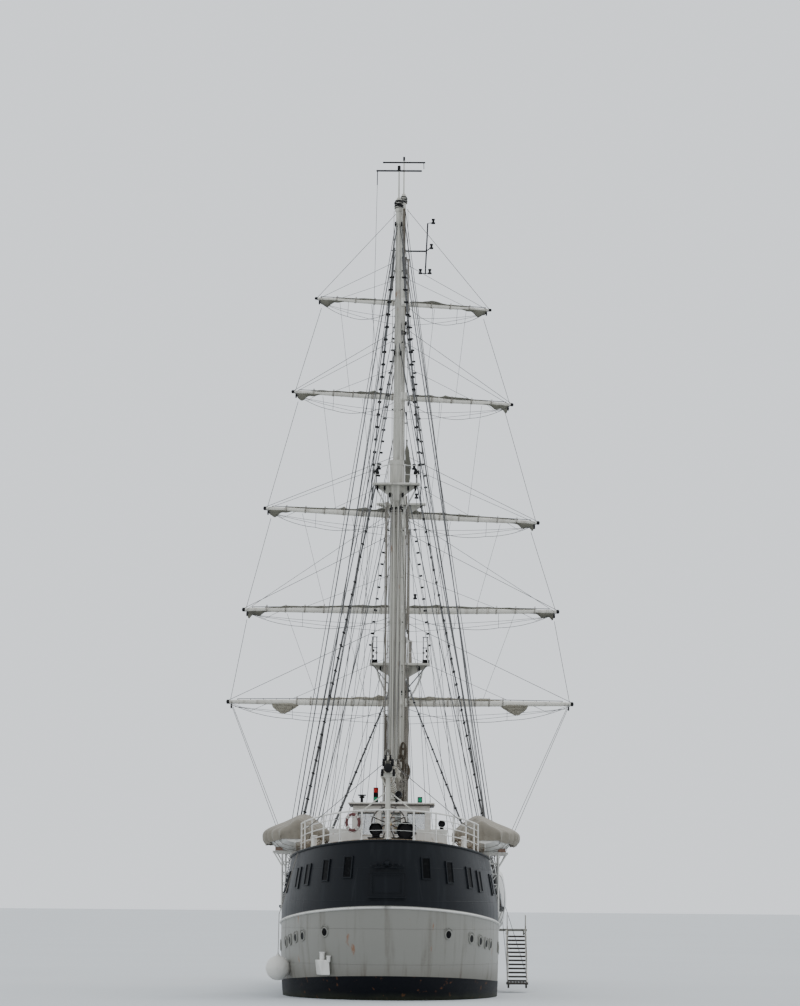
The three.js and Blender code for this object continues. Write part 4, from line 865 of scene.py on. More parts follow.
@dataclass
class Studio:
    """Camera, floor and light, from the photograph's view of the stern."""

    eye: Triple = (2.37, -148.6, 3.6)
    focal_pixels: float = 3400.0
    image_width: int = 800
    image_height: int = 1006
    vanishing_x: float = 452.4
    horizon_y: float = 905.0
    lean_degrees: float = 0.48
    floor_half: float = 900.0
    sensor: float = 36.0
    far_clip: float = 2000.0
    floor_tones: tuple[Colour, Colour] = ((0.50, 0.53, 0.55), (0.56, 0.585, 0.60))
    sky: Colour = (0.775, 0.81, 0.85)
    sky_strength: float = 1.45
    sun_tone: Colour = (1.0, 0.975, 0.94)
    sun_energy: float = 1.1
    sun_width_degrees: float = 35.0
    sun_turn_degrees: Triple = (-44.0, 0.0, -24.0)

    def camera(self) -> None:
        """Place the camera so that the ship's own direction meets its vanishing point."""
        yaw = math.atan((self.vanishing_x - self.image_width / 2) / self.focal_pixels)
        pitch = math.atan((self.horizon_y - self.image_height / 2) / self.focal_pixels)
        forward = Vector((-math.sin(yaw) * math.cos(pitch), math.cos(yaw) * math.cos(pitch), math.sin(pitch)))
        right = forward.cross(Vector(UP)).normalized()
        up = right.cross(forward)
        lean = math.radians(self.lean_degrees)
        tilted_up = up * math.cos(lean) - right * math.sin(lean)
        tilted_right = forward.cross(tilted_up)
        turn = Matrix((tilted_right, tilted_up, -forward)).transposed()
        data = bpy.data.cameras.new("camera")
        data.sensor_width = self.sensor
        data.lens = self.sensor * self.focal_pixels / self.image_height
        data.clip_end = self.far_clip
        camera = bpy.data.objects.new("camera", data)
        camera.matrix_world = Matrix.Translation(Vector(self.eye) * MODEL_SCALE) @ turn.to_4x4()
        bpy.context.scene.collection.objects.link(camera)
        bpy.context.scene.camera = camera

    def floor(self) -> None:
        """A pale floor at the waterline."""
        graph = Graph("studio_floor")
        cloudy = graph.noise(0.05, 3.0)
        graph.set("Base Color", graph.blend(*self.floor_tones, cloudy))
        graph.set("Roughness", 0.85)
        half = self.floor_half
        mesh = bpy.data.meshes.new("floor")
        corners = [(-half, -half, 0), (half, -half, 0), (half, half, 0), (-half, half, 0)]
        mesh.from_pydata(corners, [], [(0, 1, 2, 3)])
        mesh.materials.append(graph.material)
        floor = bpy.data.objects.new("floor", mesh)
        bpy.context.scene.collection.objects.link(floor)

    def light(self) -> None:
        """An overcast sky, and one broad soft light from ahead of the ship."""
        world = bpy.data.worlds.new("overcast")
        world.use_nodes = True
        background = world.node_tree.nodes["Background"]
        background.inputs["Color"].default_value = (*self.sky, 1.0)
        background.inputs["Strength"].default_value = self.sky_strength
        bpy.context.scene.world = world
        lamp = bpy.data.lights.new("soft_sun", "SUN")
        lamp.energy = self.sun_energy
        lamp.angle = math.radians(self.sun_width_degrees)
        lamp.color = self.sun_tone
        sun = bpy.data.objects.new("soft_sun", lamp)
        sun.rotation_euler = [math.radians(angle) for angle in self.sun_turn_degrees]
        bpy.context.scene.collection.objects.link(sun)

    def build(self) -> None:
        """Make the camera, the floor and the light."""
        self.camera()
        self.floor()
        self.light()


# Hull form


@dataclass(frozen=True)
class Level:
    """One level line of the hull: an oval stern and an oval bow with a straight middle."""

    z: float
    half: float
    stern: float
    run: float
    stern_power: float
    bow: float
    entry: float
    bow_power: float

    def toward(self, other: "Level", share: float) -> "Level":
        """The level part of the way to another."""
        pairs = zip(vars(self).values(), vars(other).values())
        return Level(*(mix(a, b, share) for a, b in pairs))

    def half_breadth(self, y: float) -> float:
        """Half the breadth at a place along the ship."""
        if y - self.stern < self.run:
            inner = 1 - max(y - self.stern, 0.0) / self.run
            return self.half * max(1 - inner**self.stern_power, 0.0) ** (1 / self.stern_power)
        if self.bow - y < self.entry:
            inner = 1 - max(self.bow - y, 0.0) / self.entry
            return self.half * max(1 - inner**self.bow_power, 0.0) ** (1 / self.bow_power)
        return self.half

    def point(self, share: float) -> Pair:
        """A point of the starboard side: share is 0 at the stern, 1 to 2 amidships and 3 at the bow."""
        if share <= 1:
            c, s = math.cos(share * math.pi / 2), math.sin(share * math.pi / 2)
            power = 2 / self.stern_power
            return self.half * s**power, self.stern + self.run * (1 - c**power)
        if share <= 2:
            return self.half, mix(self.stern + self.run, self.bow - self.entry, share - 1)
        angle = (3 - share) * math.pi / 2
        c, s = math.cos(angle), math.sin(angle)
        power = 2 / self.bow_power
        return self.half * s**power, self.bow - self.entry * (1 - c**power)


LEVELS = [
    Level(-3.40, 0.20, -15.0, 4.0, 2.0, 13.4, 6.0, 2.0),
    Level(-3.18, 1.75, -15.0, 12.0, 1.25, 14.0, 13.0, 1.25),
    Level(-2.55, 3.15, -15.0, 12.5, 1.3, 14.9, 14.0, 1.35),
    Level(-1.75, 3.90, -15.0, 12.0, 1.4, 15.8, 14.5, 1.45),
    Level(-1.00, 4.16, -15.05, 11.6, 1.5, 16.5, 14.5, 1.5),
    Level(-0.62, 4.23, -16.9, 10.2, 1.75, 16.8, 14.5, 1.54),
    Level(-0.28, 4.27, -18.0, 9.0, 1.9, 17.0, 14.5, 1.57),
    Level(0.0, 4.30, -18.4, 8.2, 2.0, 17.2, 14.5, 1.6),
    Level(0.90, 4.33, -18.85, 7.7, 2.0, 17.7, 14.2, 1.65),
    Level(2.20, 4.35, -19.0, 7.5, 2.0, 18.3, 13.6, 1.75),
    Level(3.55, 4.33, -19.05, 7.5, 2.0, 19.0, 13.0, 1.85),
    Level(5.00, 4.05, -18.95, 7.4, 2.0, 19.9, 12.2, 2.0),
    Level(7.00, 3.62, -18.7, 7.3, 2.0, 21.2, 11.6, 2.1),
]
# place along the ship, height of the deck line and height of the boot-top's edge
SHEER = [
    (-20.5, 3.72, 1.00), (-18, 3.46, 0.88), (-15.5, 3.22, 0.76), (-13, 3.01, 0.66), (-10.8, 2.86, 0.60),
    (-8, 2.69, 0.56), (-4, 2.54, 0.55), (1, 2.47, 0.55), (6, 2.56, 0.56), (11.5, 2.86, 0.62),
    (16, 3.27, 0.74), (22, 3.97, 0.92),
]
POOP_BREAK_Y, POOP_HEIGHT = -8.0, 2.51
FORECASTLE_BREAK_Y, FORECASTLE_HEIGHT = 11.5, 2.0
BULWARK_HEIGHT, BULWARK_THICKNESS, DECK_PLANK = 1.05, 0.12, 0.06
# where the hull's sections stand: round the stern, along the straight middle, and round the bow
SIDE_SHARES = [
    *(k / 26 for k in range(26)), *(1 + k / 8 for k in range(8)), *(2 + k / 26 for k in range(27)),
]


def level_at(z: float) -> Level:
    """The hull's level line at a height."""
    index = next((k for k, level in enumerate(LEVELS) if level.z > z), len(LEVELS) - 1)
    lower, upper = LEVELS[index - 1], LEVELS[index]
    return lower.toward(upper, (z - lower.z) / (upper.z - lower.z))


def sheer_at(y: float, column: int) -> float:
    """Height of the deck line (column 1) or the boot-top (column 2) at a place along the ship."""
    index = next((k for k, row in enumerate(SHEER) if row[0] > y), len(SHEER) - 1)
    index = max(index, 1)
    lower, upper = SHEER[index - 1], SHEER[index]
    return mix(lower[column], upper[column], (y - lower[0]) / (upper[0] - lower[0]))


def deck_at(y: float) -> float:
    """Height of the deck line."""
    return sheer_at(y, 1)


def poop_at(y: float) -> float:
    """Height of the poop deck's planks."""
    return deck_at(y) + POOP_HEIGHT + DECK_PLANK


def half_breadth(y: float, z: float) -> float:
    """Half the breadth of the hull at a place and height."""
    return level_at(z).half_breadth(y)


def side_point(share: float, offset: float, grow: float = 0.0, column: int = 1) -> Vector:
    """A point of the starboard side on a line that follows the sheer.

    Args:
        share: where along the side, as in Level.point.
        offset: height above the deck line or the boot-top.
        grow: how far outside the hull.
        column: 1 for the deck line, 2 for the boot-top.

    Returns:
        The point.
    """
    height = 3.0
    for _ in range(6):
        x, y = level_at(height).point(share)
        height = sheer_at(y, column) + offset
    outward = Vector((1, 0, 0)) if 1 < share < 2 else outward_at(share, height)
    return Vector((x, y, height)) + outward.normalized() * grow


def outward_at(share: float, height: float) -> Vector:
    """Level direction away from the hull's side."""
    level = level_at(height)
    before = Vector((*level.point(max(share - 0.01, 0.0)), 0))
    after = Vector((*level.point(min(share + 0.01, 3.0)), 0))
    along = after - before
    if share < 0.012:
        return Vector((0, -1, 0))
    if share > 2.988:
        return Vector((0, 1, 0))
    return Vector((along.y, -along.x, 0)).normalized()


def share_at(y: float, offset: float, column: int = 1) -> float:
    """The share of the side whose point has a given place along the ship."""
    low, high = 0.0, 3.0
    for _ in range(40):
        middle = (low + high) / 2
        if side_point(middle, offset, 0.0, column).y < y:
            low = middle
        else:
            high = middle
    return (low + high) / 2


def skin_normal(y: float, z: float) -> Vector:
    """Outward direction of the starboard skin."""
    step = 0.02
    slope_y = (half_breadth(y + step, z) - half_breadth(y - step, z)) / (2 * step)
    slope_z = (half_breadth(y, z + step) - half_breadth(y, z - step)) / (2 * step)
    return Vector((1, -slope_y, -slope_z)).normalized()


def mirrored(point: Point, side: int) -> Vector:
    """A starboard point, or its port twin where side is -1."""
    return Vector((point[0] * side, point[1], point[2]))


@dataclass
class Block:
    """A slab of the hull between two lines that follow the sheer, from one share to another."""

    name: str
    finish: Finish
    slot: Slot
    low: tuple[int, float]
    high: tuple[int, float]
    aft_y: Optional[float] = None
    fore_y: Optional[float] = None
    rows: int = 8

    def grid(self) -> list[list[Vector]]:
        """Rows of starboard points from the low line to the high one."""
        grid = []
        for row in range(self.rows + 1):
            share_up = row / self.rows
            line = []
            start, end = 0.0, 3.0
            if self.aft_y is not None:
                start = share_at(self.aft_y, self.high[1])
            if self.fore_y is not None:
                end = share_at(self.fore_y, self.high[1])
            shares = [s for s in SIDE_SHARES if start + 0.01 < s < end - 0.01]
            for share in [start, *shares, end]:
                low = side_point(share, self.low[1], 0.0, self.low[0])
                high = side_point(share, self.high[1], 0.0, self.high[0])
                height = mix(low.z, high.z, share_up)
                for _ in range(4):
                    x, y = level_at(height).point(share)
                    low_z = sheer_at(y, self.low[0]) + self.low[1]
                    high_z = sheer_at(y, self.high[0]) + self.high[1]
                    height = mix(low_z, high_z, share_up)
                if share in (start, end) and (self.aft_y is not None or self.fore_y is not None):
                    flat_y = self.aft_y if share == start and self.aft_y is not None else None
                    flat_y = self.fore_y if share == end and self.fore_y is not None else flat_y
                    if flat_y is not None:
                        low_z = sheer_at(flat_y, self.low[0]) + self.low[1]
                        high_z = sheer_at(flat_y, self.high[0]) + self.high[1]
                        height = mix(low_z, high_z, share_up)
                        x, y = half_breadth(flat_y, height), flat_y
                line.append(Vector((x, y, height)))
            grid.append(line)
        return grid

    def shape(self) -> Shape:
        """The closed slab, port and starboard."""
        grid = self.grid()
        count = len(grid[0])
        shape = Shape()
        for side in (1, -1):
            shape.sheet([[mirrored(point, side) for point in line] for line in grid])
        for line in (grid[0], grid[-1]):
            shape.sheet([[mirrored(point, -1), point] for point in line])
        for end in (0, count - 1):
            column = [line[end] for line in grid]
            if column[0].x > 0.01:
                shape.sheet([[mirrored(point, -1), point] for point in column])
        return shape


@dataclass
class HullSkin:
    """Smooth plating in place of the hull's blocks, with its mouldings and openings."""

    strake_width: float = 0.085
    # side, place along the ship and height of each poop window and, below, of each porthole
    windows: tuple[tuple[int, float, float], ...] = (
        (1, -18.45, 4.99), (1, -17.59, 4.85), (1, -16.38, 4.67), (1, -15.45, 4.53), (1, -13.6, 4.42),
        (1, -11.6, 4.32),
        (-1, -18.42, 5.02), (-1, -17.58, 4.90), (-1, -16.39, 4.74), (-1, -15.45, 4.62), (-1, -13.6, 4.46),
        (-1, -11.6, 4.34),
    )
    ports: tuple[tuple[int, float, float], ...] = (
        (1, -17.84, 2.49), (1, -16.56, 2.33), (1, -15.8, 2.23), (1, -15.17, 2.13), (1, -14.54, 2.08),
        (1, -12.6, 1.95), (1, -10.2, 1.85), (1, -7.0, 1.72), (1, -2.4, 1.62), (1, 2.0, 1.6), (1, 5.2, 1.65),
        (1, 8.4, 1.75), (1, 11.4, 1.95), (1, 13.6, 2.15),
        (-1, -17.79, 2.55), (-1, -16.44, 2.38), (-1, -15.79, 2.31), (-1, -15.1, 2.2), (-1, -14.4, 2.1),
        (-1, -12.6, 1.95), (-1, -10.2, 1.85), (-1, -7.0, 1.72), (-1, -2.4, 1.62), (-1, 2.0, 1.6),
        (-1, 5.2, 1.65),
        (-1, 8.4, 1.75), (-1, 11.4, 1.95), (-1, 13.6, 2.15),
    )
    window_width: float = 0.33
    window_height: float = 0.76
    port_radius: float = 0.145
    panel_half: float = 0.64
    panel_low: float = 3.92
    panel_high: float = 4.80
    gangway: Pair = (-1.0, -0.1)
    gangway_sill: float = 2.75

    def blocks(self) -> None:
        """The topsides, the poop and the forecastle."""
        gap = 0.0008
        plans = [
            Block("plated_topsides", HULL_WHITE_IN_PAINTED_SHADE, Slot.WHITE_STEEL, (2, gap), (1, 0.0), rows=12),
            Block(
                "plated_poop", SLATE, Slot.SLATE_PAINT, (1, gap), (1, POOP_HEIGHT), fore_y=POOP_BREAK_Y,
                rows=10
            ),
            Block(
                "plated_forecastle", HULL_WHITE_IN_PAINTED_SHADE, Slot.WHITE_STEEL, (1, gap), (1, FORECASTLE_HEIGHT),
                aft_y=FORECASTLE_BREAK_Y, rows=8,
            ),
        ]
        for plan, node in zip(plans, ("hull_topsides", "poop", "forecastle")):
            piece = make_piece(plan.name, plan.shape(), plan.finish, plan.slot, weld=True)
            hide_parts(node)

    def boot_shell(self) -> None:
        """Thin smooth plating over the boot-top, from just under the water to its painted edge."""
        shape = Shape()
        for side in (1, -1):
            rows = []
            for share_up in (0.0, 0.3, 0.6, 0.8, 1.0):
                line = []
                for share in SIDE_SHARES:
                    edge = side_point(share, 0.0, 0.0, 2)
                    height = mix(-0.26, edge.z, share_up)
                    x, y = level_at(height).point(share)
                    line.append(mirrored(Vector((x, y, height)) + outward_at(share, height) * 0.014, side))
                rows.append(line)
            back = [
                [point + Vector((-0.05 * side * min(abs(point.x), 1), 0, 0)) for point in row] for row in rows
            ]
            shape.sheet(rows).sheet([rows[-1], back[-1]]).sheet([rows[0], back[0]])
        make_piece("boot_plating", shape, BOOT, Slot.BOOT_PAINT, closed=False, weld=True)

    def strake(self) -> None:
        """The pale half-round moulding between the topsides and the poop, carried round the ship."""
        shape = Shape()
        half_circle = [
            (math.cos(math.pi * k / 6 - math.pi / 2), math.sin(math.pi * k / 6 - math.pi / 2))
            for k in range(7)
        ]
        for side in (1, -1):
            rings = []
            for share in SIDE_SHARES:
                ring = [
                    mirrored(side_point(share, -0.07 + 0.045 * up, self.strake_width * out - 0.01), side)
                    for out, up in half_circle
                ]
                rings.append(ring)
            shape.rings(rings)
        make_piece("rubbing_strake", shape, WHITE_STEEL, Slot.WHITE_STEEL, weld=True)

    def poop_rail_bar(self) -> None:
        """A narrow half-round bar along the top edge of the poop and the forecastle."""
        shape = Shape()
        for start, end, offset in (
            (0.0, share_at(POOP_BREAK_Y, 2.5), POOP_HEIGHT), (share_at(11.55, 2.0), 3.0, FORECASTLE_HEIGHT)
        ):
            shares = [start, *[s for s in SIDE_SHARES if start < s < end], end]
            for side in (1, -1):
                path = [mirrored(side_point(share, offset - 0.02, 0.02), side) for share in shares]
                shape.tube(path, 0.045, 8)
        make_piece("deck_edge_bars", shape, SLATE, Slot.SLATE_PAINT)

    def openings(self) -> None:
        """Windows in the poop and portholes in the topsides, each with its frame and pane."""
        frames, panes, rims, glass = Shape(), Shape(), Shape(), Shape()
        for side, y, z in self.windows:
            centre, across, up, out = self.tangent(side, y, z)
            half_w, half_h = self.window_width / 2, self.window_height / 2
            self.rectangle_ring(frames, centre, across, up, out, half_w, half_h, 0.055, 0.045)
            corners = [(-half_w, -half_h), (half_w, -half_h), (half_w, half_h), (-half_w, half_h)]
            outline = [centre + across * a + up * b + out * 0.006 for a, b in corners]
            panes.plate(outline, out * 0.012)
        for side, y, z in self.ports:
            centre, across, up, out = self.tangent(side, y, z)
            r = self.port_radius
            rims.turned(
                [(r, 0.0), (r + 0.06, 0.0), (r + 0.055, 0.03), (r + 0.02, 0.045), (r, 0.03)], centre, out, 20,
                loop=True
            )
            glass.turned([(0.0, 0.0), (r + 0.004, 0.0), (r + 0.004, 0.018), (0.0, 0.026)], centre, out, 20)
            brow = [
                centre + (across * math.cos(a) + up * math.sin(a)) * (r + 0.11) + out * 0.02
                for a in (math.radians(30 + 15 * k) for k in range(9))
            ]
            rims.tube(brow, 0.016, 5)
        make_piece("poop_window_frames", frames, SLATE, Slot.SLATE_PAINT, bevel=0.008)
        make_piece("poop_window_panes", panes, PANE, Slot.BLACK_PAINT)
        make_piece("porthole_rims", rims, HULL_WHITE_IN_PAINTED_SHADE, Slot.WHITE_STEEL)
        make_piece("porthole_glass", glass, PANE, Slot.BLACK_PAINT)

    def tangent(self, side: int, y: float, z: float) -> tuple[Vector, Vector, Vector, Vector]:
        """A place on the skin, with its directions along, up and out."""
        normal = skin_normal(y, z)
        centre = Vector((half_breadth(y, z), y, z))
        up = (Vector(UP) - normal * normal.z).normalized()
        across = up.cross(normal)
        return tuple(mirrored(vector, side) for vector in (centre, across, up, normal))

    def rectangle_ring(
        self, shape: Shape, centre: Vector, across: Vector, up: Vector, out: Vector,
        half_w: float, half_h: float, width: float, height: float,
    ) -> None:
        """Add a raised rectangular frame around an opening.

        Args:
            shape: what it is added to.
            centre: the middle of the opening, on the wall's face.
            across: level direction along the wall.
            up: upward direction along the wall.
            out: direction away from the wall.
            half_w: half the opening's width.
            half_h: half its height.
            width: width of the frame's bars.
            height: how far they stand out.
        """
        corners = [(-1, -1), (1, -1), (1, 1), (-1, 1)]
        sections = [(0.0, -0.03), (width, -0.03), (width, height), (0.0, height)]
        rings = [
            [
                centre + across * (a * (half_w + grow)) + up * (b * (half_h + grow)) + out * lift
                for grow, lift in sections
            ]
            for a, b in corners
        ]
        shape.rings(rings, loop=True)

    def stern_panel(self) -> None:
        """The blank framed panel, its sill, and the scroll ornament over it."""
        y = -19.02
        frame = Shape()
        centre = Vector((0, y, (self.panel_low + self.panel_high) / 2))
        across, up, out = Vector((1, 0, 0)), Vector((0, 0.02, 1)).normalized(), Vector((0, -1, 0))
        half_h = (self.panel_high - self.panel_low) / 2
        self.rectangle_ring(
            frame, centre, across, up, out, self.panel_half - 0.07, half_h - 0.07, 0.07, 0.075
        )
        self.rectangle_ring(frame, centre, across, up, out, self.panel_half - 0.16, half_h - 0.16, 0.03, 0.03)
        frame.block((-self.panel_half, y - 0.02, self.panel_low), (self.panel_half, y + 0.3, self.panel_high))
        frame.block((-0.72, y - 0.13, self.panel_low - 0.07), (0.72, y + 0.3, self.panel_low))
        frame.block((-0.68, y - 0.10, self.panel_high), (0.68, y + 0.3, self.panel_high + 0.035))
        make_piece("stern_panel", frame, SLATE, Slot.SLATE_PAINT, bevel=0.008)
        carving = Shape()
        for side in (1, -1):
            for reach, rise, size, turns in (
                (0.12, 5.11, 0.075, 1.4), (0.36, 5.09, 0.085, 1.6), (0.56, 5.05, 0.055, 1.4)
            ):
                spiral = []
                for k in range(22):
                    angle = turns * 2 * math.pi * k / 21
                    radius = size * (1 - 0.72 * k / 21)
                    spiral.append(
                        (side * (reach + radius * math.cos(angle)), y - 0.03, rise + radius * math.sin(angle))
                    )
                widths = [0.026 * (1 - 0.45 * k / 21) for k in range(22)]
                carving.tube(spiral, widths, 6)
            leaf = [
                (side * 0.05, y - 0.02, 5.0), (side * 0.2, y - 0.045, 5.02), (side * 0.42, y - 0.04, 4.985),
                (side * 0.66, y - 0.02, 5.01)
            ]
            carving.tube(leaf, [0.02, 0.03, 0.026, 0.008], 6)
        carving.ball((0, y - 0.02, 5.16), 0.10, 14, 1.15)
        carving.ball((0, y - 0.02, 5.285), 0.045, 10)
        make_piece("stern_scrolls", carving, SLATE, Slot.SLATE_PAINT)

    def outlet(self) -> None:
        """The white overboard box on the port quarter, with two short pipes on it."""
        shape = Shape()
        top = [(-2.76, -17.2), (-2.20, -17.2), (-2.20, -18.03), (-2.62, -18.03)]
        foot = [(-2.70, -17.2), (-2.16, -17.2), (-2.16, -18.1), (-2.50, -18.1)]
        shape.rings([[(x, y, 0.93) for x, y in foot], [(x, y, 1.50) for x, y in top]])
        make_piece("overboard_box", shape, WHITE_STEEL, Slot.WHITE_STEEL, bevel=0.025)
        pipes = Shape()
        for x, y, low, high, radius in (
            (-2.47, -17.85, 1.45, 1.80, 0.095), (-2.22, -18.0, 1.42, 1.66, 0.075)
        ):
            profile = [
                (radius, low), (radius, high - 0.03), (radius + 0.02, high - 0.03), (radius + 0.02, high),
                (0, high)
            ]
            pipes.turned([(0.0, low), *profile], (x, y, 0), UP, 14)
        make_piece("overboard_pipes", pipes, WHITE_STEEL, Slot.WHITE_STEEL)

    def bulwarks(self) -> None:
        """The walls along the main deck with cap rails, stays and freeing ports."""
        aft, fore = POOP_BREAK_Y + 0.001, FORECASTLE_BREAK_Y - 0.001
        low, high = 0.0008, BULWARK_HEIGHT
        for side, label in ((-1, "port"), (1, "starboard")):
            spans = [(aft, fore, low)]
            if side > 0:
                gate_aft, gate_fore = self.gangway
                spans = [(aft, gate_aft, low), (gate_aft, gate_fore, low), (gate_fore, fore, low)]
            wall, cap, stays, flaps = Shape(), Shape(), Shape(), Shape()
            for start, end, foot in spans:
                notch = (start, end) == self.gangway
                steps = max(int((end - start) / 0.5), 2)
                rings, cap_rings = [], []
                for k in range(steps + 1):
                    y = mix(start, end, k / steps)
                    base = deck_at(y)
                    top = self.gangway_sill - base if notch else high
                    ring = []
                    for inset, up in (
                        (0, foot), (0, top), (BULWARK_THICKNESS, top), (BULWARK_THICKNESS, foot)
                    ):
                        x = half_breadth(y, base + up) - inset
                        ring.append(mirrored((x, y, base + up), side))
                    rings.append(ring)
                    x = half_breadth(y, base + top)
                    cap_rings.append([
                        mirrored((x + over, y, base + top + up), side)
                        for over, up in ((0.035, 0.0), (0.035, 0.045), (-0.155, 0.045), (-0.155, 0.0))
                    ])
                wall.rings(rings)
                if not notch:
                    cap.rings(cap_rings)
            y = aft + 0.7
            while y < fore - 0.4:
                if side < 0 or not -1.4 < y < 0.3:
                    base = deck_at(y) + DECK_PLANK
                    x = half_breadth(y, base + 0.5) - BULWARK_THICKNESS
                    outline = [
                        (x, y, base), (x - 0.34, y, base), (x - 0.04, y, base + 0.85), (x, y, base + 0.9)
                    ]
                    stays.plate([mirrored(point, side) for point in outline], (0, 0.025, 0))
                y += 1.15
            for y in (-6.6, -4.2, 1.9, 4.3, 6.6, 9.0):
                base = deck_at(y) + 0.12
                outline = [
                    (y - 0.38, base), (y + 0.38, base), (y + 0.38, base + 0.32), (y - 0.38, base + 0.32)
                ]
                points = [mirrored((half_breadth(a, b) + 0.004, a, b), side) for a, b in outline]
                flaps.plate(points, mirrored((0.02, 0, 0), side))
                hinge = [
                    mirrored((half_breadth(a, base + 0.33) + 0.02, a, base + 0.33), side)
                    for a in (y - 0.36, y + 0.36)
                ]
                flaps.tube(hinge, 0.018, 6)
            if side > 0:
                self.ladder_stage(wall)
            piece = make_piece(f"bulwark_plating_{label}", wall, HULL_WHITE_IN_PAINTED_SHADE, Slot.WHITE_STEEL, bevel=0.01)
            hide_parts(f"bulwark_{label}")
            make_piece(f"cap_rail_{label}", cap, VARNISH, Slot.VARNISH, bevel=0.012)
            make_piece(f"bulwark_stays_{label}", stays, WHITE_STEEL, Slot.WHITE_STEEL)
            make_piece(f"freeing_ports_{label}", flaps, HULL_WHITE_IN_PAINTED_SHADE, Slot.WHITE_STEEL, bevel=0.006)

    def ladder_stage(self, shape: Shape) -> None:
        """The bracket that the boarding ladder hangs from, with its ears and pins."""
        shape.block((4.30, -1.0, 2.52), (5.72, -0.15, 2.62))
        for x in (4.87, 5.54):
            shape.block((x, -1.28, 2.36), (x + 0.05, -0.95, 2.62))
        for low, high in ((4.79, 4.9), (5.56, 5.67)):
            shape.tube([(low, -1.2, 2.43), (high, -1.2, 2.43)], 0.025, 12)

    def build(self) -> None:
        """Make every part of the skin."""
        self.blocks()
        self.boot_shell()
        self.strake()
        self.poop_rail_bar()
        self.openings()
        self.stern_panel()
        self.outlet()
        self.bulwarks()


# Spars and rigging

FOREMAST_Y, MAINMAST_Y = 9.0, -5.0
YARD_FORWARD = 0.66
COLLAR_HALF_HEIGHT = 0.16


@dataclass(frozen=True)
class YardPlan:
    """Sizes of one yard and its furled sail; cant is how far the starboard end hangs down, in degrees."""

    body: Body
    z: float
    length: float
    radius: float
    tip: float
    cant: float
    mast: float
    bunch: float
    roll: float
    drop: float
    lift_z: float
    inner_lift: Pair
    brace_z: float

    @property
    def name(self) -> str:
        """The yard's node name without its ending."""
        return self.body.value.removesuffix("_yard")

    @property
    def half(self) -> float:
        """Half the length."""
        return self.length / 2

    def radius_at(self, x: float) -> float:
        """Radius of the spar at a distance from its middle."""
        reach = min(abs(x) / self.half, 1.0)
        return self.radius if reach < 0.25 else mix(self.radius, self.tip, (reach - 0.25) / 0.75)

    def at(self, x: float, forward: float = 0.0, up: float = 0.0) -> Vector:
        """A point measured from the middle of the spar, along it, forward of it and above it."""
        turn = Matrix.Rotation(math.radians(self.cant), 3, "Y")
        return Vector((0, FOREMAST_Y, self.z)) + turn @ Vector((x, YARD_FORWARD + forward, up))


YARDS = [
    YardPlan(Body.COURSE, 12.94, 16.1, 0.17, 0.09, 0.0, 0.268, 0.67, 0.10, 0.0, 16.7, (0.62, 15.2), 16.5),
    YardPlan(
        Body.LOWER_TOPSAIL, 17.25, 14.75, 0.16, 0.085, 0.0, 0.20, 0.93, 0.10, 0.0, 20.9, (0.6, 19.0), 20.2
    ),
    YardPlan(
        Body.UPPER_TOPSAIL, 21.72, 12.9, 0.145, 0.08, 2.7, 0.187, 0.93, 0.085, 0.42, 24.5, (0.5, 23.4), 22.3
    ),
    YardPlan(
        Body.TOPGALLANT, 27.28, 10.4, 0.125, 0.07, 3.1, 0.134, 0.92, 0.085, 0.0, 30.5, (0.62, 28.7), 27.6
    ),
    YardPlan(Body.ROYAL, 31.76, 8.3, 0.105, 0.06, 3.6, 0.121, 0.90, 0.08, 0.0, 36.2, (0.7, 32.9), 31.0),
]


